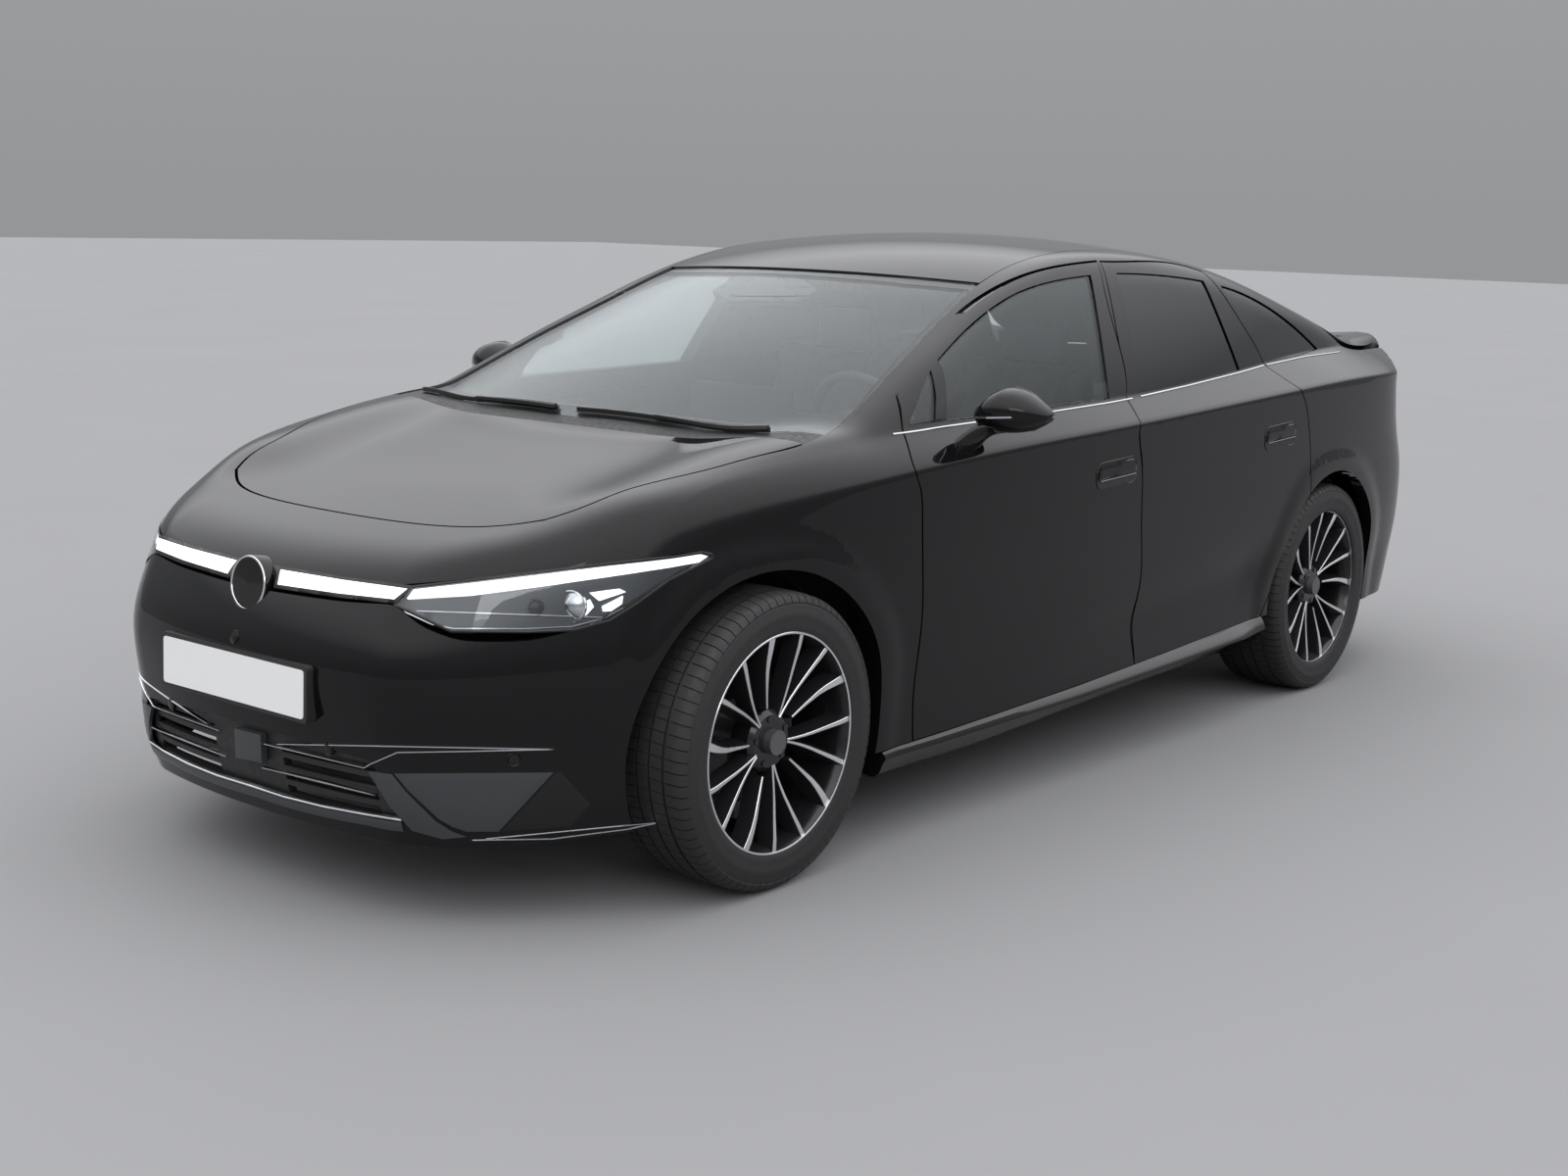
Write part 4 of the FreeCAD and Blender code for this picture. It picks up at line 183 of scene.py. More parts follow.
class Form:
    """The body's outer form, as a depth below its skin, with its pressed reliefs."""

    def __init__(self, size: CarSize) -> None:
        """Set the form's curves up from shares of the car's sizes."""
        length, half, height = size.length, size.half, size.height
        self.size = size
        self.crease_plane = Curve(
            ((0.0403, 0.913), (0.1109, 0.9592), (0.1774, 0.9839), (0.2822, 0.9925), (0.4838, 1.0),
             (0.645, 0.9979), (0.7761, 0.9936), (0.8668, 0.9774), (0.9373, 0.9474),
             (0.9998, 0.8915)), length, half)
        self.crease_level = Curve(
            ((0.0403, 0.5208), (0.1109, 0.5586), (0.1774, 0.5898), (0.2762, 0.6237),
             (0.4969, 0.6582), (0.7116, 0.6855), (0.8406, 0.6973), (0.9272, 0.6901),
             (0.9998, 0.6706)), length, height)
        self.belt_plane = Curve(
            ((0.0403, 0.7519), (0.1209, 0.8324), (0.1814, 0.8593), (0.258, 0.8754),
             (0.383, 0.8969), (0.5039, 0.9001), (0.6047, 0.8861), (0.7055, 0.8571),
             (0.8063, 0.8217), (0.8869, 0.7895), (0.9998, 0.7089)), length, half)
        self.belt_level = Curve(
            ((0.0403, 0.5794), (0.1209, 0.625), (0.1814, 0.6543), (0.258, 0.6758),
             (0.3225, 0.6875), (0.4939, 0.6999), (0.6047, 0.7161), (0.7055, 0.7383),
             (0.8063, 0.7572), (0.8869, 0.7585), (0.9998, 0.7357)), length, height)
        self.hood_level = Curve(
            ((-0.0202, 0.4557), (0, 0.4935), (0.0171, 0.5189), (0.0403, 0.5423),
             (0.0605, 0.5592), (0.0847, 0.5781), (0.1209, 0.6055), (0.1613, 0.6328),
             (0.2157, 0.6647), (0.262, 0.6803), (0.3225, 0.6901)), length, height)
        self.roof_level = Curve(
            ((0.1814, 0.6217), (0.2177, 0.6725), (0.262, 0.7357), (0.3124, 0.806),
             (0.3628, 0.8704), (0.4031, 0.9193), (0.4435, 0.957), (0.4939, 0.9863),
             (0.5543, 0.9987), (0.6249, 0.9928), (0.7055, 0.9603), (0.7861, 0.9017),
             (0.8668, 0.832), (0.9272, 0.7728), (0.9675, 0.7324), (0.9817, 0.7194),
             (1.028, 0.6706)), length, height)
        self.roof_fall = Curve(
            ((0.2016, 0), (0.262, 0.0078), (0.4233, 0.026), (0.5442, 0.0358), (0.6652, 0.0391),
             (0.8063, 0.0358), (0.9272, 0.0293), (1.008, 0.0228)), length, height)
        self.roof_bow = Curve(
            ((0.2016, 0.0252), (0.3225, 0.0212), (0.4233, 0.0151), (0.5442, 0),
             (0.6853, -0.0101), (0.8466, -0.0202), (1.008, -0.0242)), length, length)
        self.nose_station = Curve(
            ((-0.0651, 0.0403), (0.0651, 0.0212), (0.1302, 0.0125), (0.1693, 0.0081),
             (0.2604, 0.0044), (0.3255, 0.0016), (0.3776, 0.0016), (0.4297, 0.0065),
             (0.4688, 0.0117), (0.5208, 0.0191), (0.5859, 0.0323), (0.7161, 0.0605)),
            height, length)
        self.tail_station = Curve(
            ((-0.0651, 0.9474), (0.0977, 0.9716), (0.1953, 0.9877), (0.293, 0.9968),
             (0.4036, 1.0), (0.4948, 0.9968), (0.5599, 0.9877), (0.638, 0.9817),
             (0.6901, 0.9806), (0.7292, 0.9827), (0.8464, 0.9877)), height, length)
        self.nose_plan = ((0.0, 0.483, 2.2, 0.0091), (0.451, 0.408, 1.9, 0.0605),
                          (0.838, 0.129, 2.0, 0.0706))
        self.tail_plan = ((0.0, 0.537, 2.2, 0.0101), (0.537, 0.376, 2.0, 0.0433),
                          (0.9345, 0.129, 2.0, 0.0706))

    def plan_curve(self, x: np.ndarray, terms: Sequence[tuple[float, ...]]) -> np.ndarray:
        """Return how far an end of the car falls back at a half width."""
        total = np.zeros_like(x)
        for start, reach, power, deep in terms:
            beyond = np.maximum(x / self.size.half - start, 0.0) / reach
            total += deep * self.size.length * beyond ** power
        return total

    def top_level(self, x: np.ndarray, s: np.ndarray) -> np.ndarray:
        """Return the height of the hood, windscreen, roof or tail over the plan."""
        length, half = self.size.length, self.size.half
        ridge = 0.020 * np.exp(-((x / half - 0.709) / 0.172) ** 2)
        ridge = ridge * ease((s / length - 0.0605) / 0.0706)
        hood = self.hood_level(s) + ridge - 0.030 * ease((x / half - 0.8056) / 0.322)
        out = (x / (0.752 * half)) ** 2
        roof = self.roof_level(s - self.roof_bow(s) * out) - self.roof_fall(s) * out
        return -soft_low(-hood, -roof, 0.030)

    def side_plane(self, s: np.ndarray, z: np.ndarray) -> np.ndarray:
        """Return the half width of the body side."""
        height = self.size.height
        widest, crease = self.crease_plane(s), self.crease_level(s)
        lower = widest - 0.036 * ease((0.43 - z / height) / 0.234)
        crown = np.maximum(z / height - 0.521, 0.0) / 0.13
        lower = lower - 0.006 * crown ** 2
        belt_x, belt_z = self.belt_plane(s), self.belt_level(s)
        shoulder = widest - (z - crease) * (widest - belt_x) / (belt_z - crease)
        above = np.maximum(z - belt_z, 0.0)
        glass = belt_x - 0.40 * (z - belt_z) - 0.261 * above ** 2 / height
        return soft_low(lower, -soft_low(-shoulder, -glass, 0.012), 0.018)

    def relief(self, x: np.ndarray, s: np.ndarray, z: np.ndarray) -> np.ndarray:
        """Return how far the pressed shapes stand out: wheel arch lips and the door scoop."""
        size = self.size
        beside = ease((x / size.half - 0.84) / 0.06) * ease((0.9 - z) / 0.12)
        total = np.zeros_like(x)
        for axle in (size.front_axle, size.rear_axle):
            away = np.hypot(s - axle, z - size.wheel_radius)
            total = total + 0.008 * ease(1.0 - (away - 0.42) / 0.11)
        run = ease((s - 1.7) / 1.2) * ease((3.52 - s) / 0.35)
        middle = 0.40 + 0.09 * (s - 2.4)
        total = total - 0.016 * run * np.exp(-((z - middle) / 0.085) ** 2)
        return total * beside

    def depth(self, points: np.ndarray) -> np.ndarray:
        """Return about how deep points lie below the skin.

        Args:
            points: Rows of x, y and z.

        Returns:
            One depth for each point, positive inside.
        """
        probe = self.size.length / 5000
        x, s, z = np.abs(points[:, 0]), points[:, 1] + self.size.length / 2, points[:, 2]
        level = self.top_level(x, s)
        rise_x = (self.top_level(x + probe, s) - level) / probe
        rise_s = (self.top_level(x, s + probe) - level) / probe
        below = (level - z) / np.sqrt(1 + rise_x ** 2 + rise_s ** 2)
        deep = soft_low(self.side_plane(s, z) - x, below, 0.090)
        ends = []
        for sign, station, terms in ((1, self.nose_station, self.nose_plan),
                                     (-1, self.tail_station, self.tail_plan)):
            fall, level_at = self.plan_curve(x, terms), station(z)
            run_x = (self.plan_curve(x + probe, terms) - fall) / probe
            run_z = (station(z + probe) - level_at) / probe
            gap = sign * (s - level_at) - fall
            ends.append(gap / np.sqrt(1 + run_x ** 2 + run_z ** 2))
        ahead = soft_low(deep, ends[0], 0.100)
        behind = soft_low(deep, ends[1], 0.070)
        deep = np.where(s < self.size.length / 2, ahead, behind)
        return deep + self.relief(x, s, z)

    def gradient(self, points: np.ndarray) -> np.ndarray:
        """Return the depth's gradient at points."""
        step = 0.0004
        columns = []
        for axis in range(3):
            shift = np.zeros(3)
            shift[axis] = step
            columns.append((self.depth(points + shift) - self.depth(points - shift)) / 2 / step)
        return np.stack(columns, axis=1)

    def outward(self, points: np.ndarray) -> np.ndarray:
        """Return the skin's unit normals near points."""
        gradient = self.gradient(points)
        return -gradient / np.linalg.norm(gradient, axis=1, keepdims=True)

    def settle(self, points: np.ndarray, level: Union[float, np.ndarray] = 0.0,
               rounds: int = 3) -> np.ndarray:
        """Move points straight up or down to a depth below the skin."""
        for _ in range(rounds):
            gradient = self.gradient(points)
            miss = (self.depth(points) - level) / np.sum(gradient ** 2, axis=1)
            points = points - np.clip(miss, -0.02, 0.02)[:, None] * gradient
        return points

    def cast(self, starts: np.ndarray, rays: np.ndarray, near: float, far: float) -> np.ndarray:
        """Return where rays first meet the skin."""
        rays = np.broadcast_to(rays, starts.shape)
        run = np.full(len(starts), far)
        found = np.zeros(len(starts), bool)
        for reach in np.linspace(near, far, 220):
            inside = ~found & (self.depth(starts + rays * reach) > 0)
            run[inside] = reach
            found |= inside
        low, high = run - (far - near) / 219, run.copy()
        for _ in range(18):
            middle = (low + high) / 2
            inside = self.depth(starts + rays * middle[:, None]) > 0
            high = np.where(inside, middle, high)
            low = np.where(inside, low, middle)
        return starts + rays * high[:, None]

    def on_side(self, places: np.ndarray) -> np.ndarray:
        """Return points of the left side from rows of station and height."""
        starts = np.stack([np.full(len(places), 1.2), places[:, 0] - self.size.length / 2,
                           places[:, 1]], axis=1)
        return self.cast(starts, np.array([-1.0, 0, 0]), 0.1, 1.0)

    def on_rear(self, places: np.ndarray) -> np.ndarray:
        """Return points of the tail from rows of x and height."""
        starts = np.stack([places[:, 0], np.full(len(places), self.size.length / 2 + 0.1),
                           places[:, 1]], axis=1)
        return self.cast(starts, np.array([0, -1.0, 0]), 0.0, 1.0)

    def on_top(self, places: np.ndarray) -> np.ndarray:
        """Return points of the upper side from rows of x and station."""
        starts = np.stack([places[:, 0], places[:, 1] - self.size.length / 2,
                           np.full(len(places), 1.7)], axis=1)
        return self.cast(starts, np.array([0, 0, -1.0]), 0.0, 1.4)


@dataclass(frozen=True)
class PhotoView:
    """The view that the car is shown from."""

    eye: tuple[float, float, float] = (3.80523050, -5.21766009, 1.59065915)
    yaw: float = 0.676599238
    pitch: float = 0.183186580
    roll: float = 0.0278488027
    focal: float = 2078.09605
    width: int = 1600
    height: int = 1200

    def axes(self) -> tuple[np.ndarray, np.ndarray, np.ndarray]:
        """Return the view's right, up and forward directions."""
        ahead = np.array([-math.sin(self.yaw) * math.cos(self.pitch),
                          math.cos(self.yaw) * math.cos(self.pitch), -math.sin(self.pitch)])
        right = np.cross(ahead, [0, 0, 1.0])
        right /= np.linalg.norm(right)
        up = np.cross(right, ahead)
        c, s = math.cos(self.roll), math.sin(self.roll)
        return c * right + s * up, -s * right + c * up, ahead

    def hit(self, form: Form, pixels: np.ndarray) -> np.ndarray:
        """Return where the skin shows at places of the view's picture."""
        right, up, ahead = self.axes()
        rays = (ahead + np.outer((pixels[:, 0] - self.width / 2) / self.focal, right)
                - np.outer((pixels[:, 1] - self.height / 2) / self.focal, up))
        starts = np.tile(np.array(self.eye), (len(pixels), 1))
        return form.cast(starts, rays, 2.5, 8.5)

    def lay(self, form: Form) -> Callable[[np.ndarray], np.ndarray]:
        """Return what lays places of the view's picture on the skin."""
        return lambda places: self.hit(form, places)

    def camera(self) -> None:
        """Make the camera."""
        right, up, ahead = self.axes()
        data = bpy.data.cameras.new("camera")
        data.sensor_width, data.sensor_fit = 36.0, "HORIZONTAL"
        data.lens = self.focal * 36.0 / self.width
        data.clip_end = 200.0
        camera = bpy.data.objects.new("camera", data)
        turn = Matrix((right, up, -ahead)).transposed().to_4x4()
        camera.matrix_world = Matrix.Translation(self.eye) @ turn
        bpy.context.scene.collection.objects.link(camera)
        bpy.context.scene.camera = camera


class Wire:
    """A shader socket that takes part in arithmetic."""

    def __init__(self, graph: "Graph", socket: bpy.types.NodeSocket) -> None:
        """Wrap a socket of a graph."""
        self.graph, self.socket = graph, socket

    def math(self, kind: str, other: Union["Wire", float]) -> "Wire":
        """Return a Math node's result on this value and another."""
        return self.graph.add("ShaderNodeMath", {"operation": kind}, {0: self, 1: other})

    def __add__(self, other: Union["Wire", float]) -> "Wire":
        """Return the sum."""
        return self.math("ADD", other)

    def __mul__(self, other: Union["Wire", float]) -> "Wire":
        """Return the product."""
        return self.math("MULTIPLY", other)

    def __pow__(self, other: Union["Wire", float]) -> "Wire":
        """Return the power."""
        return self.math("POWER", other)

    def ramp(self, low: float, high: float, first: float = 0.0, last: float = 1.0) -> "Wire":
        """Return this value mapped from one range to another and clamped."""
        return self.graph.add("ShaderNodeMapRange", {"clamp": True}, {
            "Value": self, "From Min": low, "From Max": high, "To Min": first, "To Max": last})


class Graph:
    """A material's node tree, built by expressions."""

    def __init__(self, name: str) -> None:
        """Start an empty material."""
        self.material = bpy.data.materials.new(name)
        self.material.use_nodes = True
        self.tree = self.material.node_tree
        self.tree.nodes.clear()
        self.place = self.add("ShaderNodeTexCoord", {}, {}, "Object")

    def add(self, kind: str, settings: dict, inputs: dict,
            output: Union[str, int] = 0) -> Wire:
        """Add a node.

        Args:
            kind: The node's type.
            settings: The node's properties.
            inputs: Values or wires by socket name or number.
            output: The socket that is returned.

        Returns:
            The output as a wire.
        """
        node = self.tree.nodes.new(kind)
        for key, value in settings.items():
            setattr(node, key, value)
        for key, value in inputs.items():
            if isinstance(value, Wire):
                self.tree.links.new(value.socket, node.inputs[key])
            else:
                node.inputs[key].default_value = value
        return Wire(self, node.outputs[output])

    def noise(self, scale: float, detail: float = 3.0, stretch: Optional[Wire] = None) -> Wire:
        """Return cloudy noise on the piece's own coordinates."""
        return self.add("ShaderNodeTexNoise", {}, {
            "Vector": stretch or self.place, "Scale": scale, "Detail": detail}, "Fac")

    def stretched(self, scale: tuple[float, float, float]) -> Wire:
        """Return the piece's coordinates scaled along each axis."""
        return self.add("ShaderNodeMapping", {}, {"Vector": self.place, "Scale": scale})

    def tone(self, share: Wire, low: Sequence[float], high: Sequence[float]) -> Wire:
        """Return a colour between two."""
        return self.add("ShaderNodeMix", {"data_type": "RGBA"},
                        {0: share, 6: (*low, 1.0), 7: (*high, 1.0)}, 2)

    def bump(self, height: Wire, strength: float, distance: float) -> Wire:
        """Return a normal raised by a height."""
        return self.add("ShaderNodeBump", {}, {
            "Height": height, "Strength": strength, "Distance": distance})

    def surface(self, shader: Wire) -> bpy.types.Material:
        """End the tree on a shader and return the material."""
        end = self.tree.nodes.new("ShaderNodeOutputMaterial")
        self.tree.links.new(shader.socket, end.inputs["Surface"])
        return self.material


class Grain(Enum):
    """What a finish's surface is like close up."""

    LACQUER = "lacquer"
    MOULDED = "moulded"
    MACHINED = "machined"
    CAST = "cast"
    RUBBER = "rubber"
    LEATHER = "leather"
    FELT = "felt"
    GLASS = "glass"
    LIGHT = "light"


# how far each grain's colour strays, and its bump's strength and height in metres
UNEVEN = {Grain.LACQUER: 0.03, Grain.MACHINED: 0.12, Grain.LIGHT: 0.02}
BUMPS = {Grain.MACHINED: (0.06, 0.0004), Grain.LEATHER: (0.35, 0.0009),
         Grain.FELT: (0.8, 0.002), Grain.MOULDED: (0.18, 0.0006), Grain.CAST: (0.5, 0.0006),
         Grain.RUBBER: (0.3, 0.0006)}


@dataclass(frozen=True)
class Finish:
    """A finish: its colour, gloss and grain."""

    name: str
    grain: Grain
    colour: tuple[float, float, float]
    slot: str
    rough: float = 0.4
    metal: float = 0.0
    ior: float = 1.5
    size: float = 200.0
    clear: float = 0.0
    glow: float = 0.0

    def material(self) -> bpy.types.Material:
        """Return the finish's material, made at its first use."""
        known = bpy.data.materials.get(self.name)
        return known or self.build()

    def build(self) -> bpy.types.Material:
        """Build the finish's node tree."""
        graph = Graph(self.name)
        if self.grain is Grain.GLASS:
            return self.pane(graph)
        cloud = graph.noise(self.size * 0.05, 4.0)
        fine = graph.noise(self.size, 5.0)
        shift = UNEVEN.get(self.grain, 0.22)
        low = [c * (1 - shift) for c in self.colour]
        high = [min(c * (1 + shift), 1.0) for c in self.colour]
        values = {
            "Base Color": graph.tone(cloud * 0.6 + fine * 0.4, low, high),
            "Metallic": self.metal, "IOR": self.ior}
        spread = 0.012 if self.grain is Grain.LACQUER else 0.1
        values["Roughness"] = cloud.ramp(0.3, 0.7, max(self.rough - spread, 0.0),
                                         self.rough + spread)
        if self.grain in BUMPS:
            values["Normal"] = graph.bump(self.height(graph, cloud, fine), *BUMPS[self.grain])
        if self.grain is Grain.LIGHT:
            values["Emission Color"] = graph.tone(cloud, low, self.colour)
            values["Emission Strength"] = self.glow
        return graph.surface(graph.add("ShaderNodeBsdfPrincipled", {}, values, "BSDF"))

    def height(self, graph: Graph, cloud: Wire, fine: Wire) -> Wire:
        """Return the height that the grain's bump follows."""
        if self.grain is Grain.MACHINED:
            return graph.noise(900.0, 2.0, graph.stretched((1.0, 0.08, 0.08)))
        if self.grain is Grain.LEATHER:
            cell = graph.add("ShaderNodeTexVoronoi", {"feature": "DISTANCE_TO_EDGE"},
                             {"Vector": graph.place, "Scale": self.size}, "Distance")
            return cell.ramp(0.0, 0.12) + fine * 0.3
        return fine if self.grain is Grain.FELT else fine + cloud * 0.5

    def pane(self, graph: Graph) -> bpy.types.Material:
        """Build tinted glass that mirrors more at a glancing angle."""
        facing = graph.add("ShaderNodeLayerWeight", {}, {"Blend": 0.5}, "Facing")
        least = ((self.ior - 1) / (self.ior + 1)) ** 2
        fresnel = facing ** 5.0 * (1 - least) + least
        haze = graph.noise(3.0, 2.0)
        through = graph.add("ShaderNodeBsdfTransparent", {}, {"Color": (*self.colour, 1.0)})
        mirror = graph.add("ShaderNodeBsdfPrincipled", {}, {
            "Base Color": (0.9, 0.92, 0.93, 1.0), "Metallic": 1.0,
            "Roughness": haze.ramp(0.3, 0.7, 0.0, 0.015)}, "BSDF")
        share = (fresnel * self.clear).math("MINIMUM", 1.0)
        mixed = graph.add("ShaderNodeMixShader", {}, {0: share, 1: through, 2: mirror})
        return graph.surface(mixed)


PAINT = Finish("gloss_black_lacquer", Grain.LACQUER, (0.0045, 0.0045, 0.005),
               "gloss_black_paint", rough=0.035, ior=1.36, size=900.0)
PIANO = Finish("gloss_black_moulding", Grain.LACQUER, (0.006, 0.006, 0.006),
               "gloss_black_trim", rough=0.05, ior=1.45, size=700.0)
SATIN = Finish("satin_grey_panel", Grain.LACQUER, (0.040, 0.042, 0.045),
               "gloss_black_trim", rough=0.26, size=900.0)
GRAINED = Finish("grained_black_plastic", Grain.MOULDED, (0.016, 0.016, 0.016),
                 "matte_black_trim", rough=0.55, size=1400.0)
CHROME = Finish("satin_bright_trim", Grain.MACHINED, (0.62, 0.63, 0.65), "alloy",
                rough=0.16, metal=1.0)
MACHINED = Finish("machined_alloy_face", Grain.MACHINED, (0.80, 0.81, 0.82), "alloy",
                  rough=0.2, metal=1.0)
BLACK_ALLOY = Finish("black_enamel_alloy", Grain.LACQUER, (0.012, 0.012, 0.013), "alloy",
                     rough=0.16, size=500.0)
RUBBER = Finish("tyre_compound", Grain.RUBBER, (0.014, 0.014, 0.0145), "tyre_rubber",
                rough=0.62, size=1500.0)
CLEAR = Finish("clear_laminated_glass", Grain.GLASS, (0.80, 0.84, 0.84), "clear_glass",
               ior=1.5, clear=0.85)
PRIVACY = Finish("privacy_tinted_glass", Grain.GLASS, (0.045, 0.05, 0.055), "privacy_glass",
                 ior=1.5, clear=1.1)
LENS = Finish("clear_lamp_cover", Grain.GLASS, (0.93, 0.94, 0.95), "lamp_front",
              ior=1.45, clear=1.2)
RED_LENS = Finish("red_lamp_cover", Grain.GLASS, (0.45, 0.012, 0.012), "lamp_rear",
                  ior=1.45, clear=1.2)
RED_SHELL = Finish("red_lamp_shell", Grain.LACQUER, (0.20, 0.005, 0.006), "lamp_rear",
                   rough=0.05, ior=1.45, size=600.0)
# its glow is a lamp's on the light bar and light guides, and painted highlight on the headlamp
# reflector patches
WHITE_LIGHT = Finish("white_light_guide", Grain.LIGHT, (0.93, 0.95, 1.0), "lamp_front",
                     rough=0.3, glow=1.15)
RED_LIGHT = Finish("red_light_guide", Grain.LIGHT, (0.55, 0.01, 0.01), "lamp_rear",
                   rough=0.3, glow=0.6)
CAST = Finish("cast_iron_grey", Grain.CAST, (0.16, 0.16, 0.165), "cast_metal", rough=0.5,
              metal=0.8, size=300.0)
PRIMER = Finish("dark_primer", Grain.CAST, (0.035, 0.035, 0.037), "structure", rough=0.6)
CASING = Finish("cast_casing", Grain.CAST, (0.30, 0.31, 0.32), "battery_case", rough=0.5,
                metal=0.7)
FELT = Finish("liner_fleece", Grain.FELT, (0.012, 0.012, 0.012), "liner_felt", rough=0.9,
              size=1100.0)
CABIN = Finish("soft_cabin_plastic", Grain.MOULDED, (0.035, 0.035, 0.037), "cabin_plastic",
               rough=0.6, size=1300.0)
LEATHER = Finish("dark_grained_leather", Grain.LEATHER, (0.045, 0.043, 0.042),
                 "seat_leather", rough=0.45, size=420.0)
MIRROR = Finish("silvered_mirror", Grain.LACQUER, (0.85, 0.87, 0.88), "clear_glass",
                rough=0.014, metal=1.0)
PLATE = Finish("white_plate_enamel", Grain.LACQUER, (0.82, 0.82, 0.81), "gloss_black_trim",
               rough=0.3, size=500.0)


class Side(Enum):
    """The sides of the car."""

    LEFT = 1
    RIGHT = -1

    @property
    def word(self) -> str:
        """Return the side's name."""
        return self.name.lower()


class Bench:
    """Makes pieces of the car and puts each on its body."""

    def __init__(self, form: Form) -> None:
        """Read which body carries each node."""
        self.form = form
        self.body_of = {node: body for body, nodes in
                        frame["record"]["behaviour"]["bodies"].items() for node in nodes}
        self.taken: set[str] = set()

    def piece(self, name: str, shape: Shape, finish: Finish, body: str,
              stands_for: Iterable[str] = (), angle: float = 35.0,
              outward: bool = False) -> bpy.types.Object:
        """Make a piece from its vertices and faces.

        Args:
            name: The piece's name.
            shape: Its vertices and faces.
            finish: Its finish.
            body: The body that it rides on.
            stands_for: CAD nodes that it replaces.
            angle: Edges sharper than this stay sharp, in degrees.
            outward: True turns the faces outward first.

        Returns:
            The piece.
        """
        verts, faces = shape
        mesh = bpy.data.meshes.new(name)
        mesh.from_pydata([tuple(v) for v in verts], [], [tuple(f) for f in faces])
        if outward:
            work = bmesh.new()
            work.from_mesh(mesh)
            bmesh.ops.remove_doubles(work, verts=work.verts, dist=1e-6)
            bmesh.ops.recalc_face_normals(work, faces=work.faces)
            work.to_mesh(mesh)
            work.free()
        return self.finish(name, mesh, finish, body, stands_for, angle)

    def finish(self, name: str, mesh: bpy.types.Mesh, finish: Finish, body: str,
               stands_for: Iterable[str] = (), angle: Optional[float] = 35.0
               ) -> bpy.types.Object:
        """Put a finished mesh on its body and return its object."""
        mesh.materials.clear()
        mesh.materials.append(finish.material())
        if angle is not None:
            mesh.polygons.foreach_set("use_smooth", [True] * len(mesh.polygons))
            mesh.set_sharp_from_angle(angle=math.radians(angle))
        piece = bpy.data.objects.new(name, mesh)
        bpy.context.scene.collection.objects.link(piece)
        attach(piece, body)
        nodes = list(stands_for)
        if nodes:
            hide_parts(*nodes)
            self.taken.update(nodes)
        log.info("%s: %d faces on %s", name, len(mesh.polygons), body)
        return piece

    def pair(self, name: str, shape: Shape, finish: Finish, body: str,
             stands_for: Sequence[str] = (), angle: float = 35.0, outward: bool = False
             ) -> list[bpy.types.Object]:
        """Make a left piece and its mirror image; names hold {side}."""
        made = []
        for side in Side:
            turned = shape
            if side is Side.RIGHT:
                turned = (shape[0] * np.array([-1.0, 1, 1]), [f[::-1] for f in shape[1]])
            nodes = [n.format(side=side.word) for n in stands_for]
            if side is Side.RIGHT:
                nodes = [n for n in nodes if n not in self.taken]
            made.append(self.piece(f"{name}_{side.word}", turned, finish,
                                   body.format(side=side.word), nodes, angle, outward))
        return made

    def patch(self, outline: Pairs, lay: Callable[[np.ndarray], np.ndarray], step: float,
              proud: float, sunk: float, soft: float = 0.0) -> Shape:
        """Make a plate that follows the skin inside a flat outline.

        Args:
            outline: Corners in the plane that lay reads.
            lay: Turns rows of that plane into points of the skin.
            step: Longest edge in that plane.
            proud: Height of the outer face over the skin.
            sunk: Depth of the inner face below it.
            soft: How much lower the outer face's rim lies.

        Returns:
            The plate's vertices and faces.
        """
        rim: list[Vector] = []
        for a, b in zip(outline, list(outline[1:]) + [outline[0]]):
            count = max(1, math.ceil(math.dist(a, b) / step))
            rim += [Vector(a).lerp(Vector(b), i / count) for i in range(count)]
        corners = np.array(outline)
        low, high = corners.min(0), corners.max(0)
        grid = [Vector((x, y)) for x in np.arange(low[0] + step / 2, high[0], step)
                for y in np.arange(low[1] + step / 2, high[1], step)]
        edges = [(i, (i + 1) % len(rim)) for i in range(len(rim))]
        flat, _, faces, *_ = delaunay_2d_cdt(rim + grid, edges, [], 1, 1e-9)
        used = sorted({i for f in faces for i in f})
        number = {v: i for i, v in enumerate(used)}
        faces = [tuple(number[i] for i in f) for f in faces]
        points = lay(np.array([tuple(flat[i]) for i in used]))
        normals = self.form.outward(points)
        sums = sum(float(np.dot(np.cross(points[b] - points[a], points[c] - points[a]),
                                normals[a])) for a, b, c in faces)
        if sums < 0:
            faces = [f[::-1] for f in faces]
        count: dict[tuple[int, int], int] = {}
        for f in faces:
            for a, b in zip(f, f[1:] + f[:1]):
                count[(a, b)] = 1
        border = [e for e in count if (e[1], e[0]) not in count]
        drop = np.zeros(len(used))
        drop[[i for e in border for i in e]] = soft
        size = len(used)
        verts = np.vstack([points + normals * (proud - drop)[:, None], points - normals * sunk])
        faces = faces + [tuple(i + size for i in f[::-1]) for f in faces]
        faces += [(b, a, a + size, b + size) for a, b in border]
        return verts, faces

    def strip(self, path: np.ndarray, width: Union[float, np.ndarray], proud: float,
              sunk: float, closed: bool = False) -> Shape:
        """Make a moulding along points of the skin."""
        count = len(path)
        width = np.broadcast_to(np.asarray(width, float), (count,))
        normals = self.form.outward(path)
        ahead = np.roll(path, -1, 0) - np.roll(path, 1, 0)
        if not closed:
            ahead[0], ahead[-1] = path[1] - path[0], path[-1] - path[-2]
        across = np.cross(normals, ahead)
        across /= np.linalg.norm(across, axis=1, keepdims=True)
        section = ((-0.5, -sunk), (-0.5, proud * 0.5), (-0.3, proud), (0.3, proud),
                   (0.5, proud * 0.5), (0.5, -sunk))
        rings = [path + across * (width * u)[:, None] + normals * v for u, v in section]
        return self.woven(rings, True, closed)

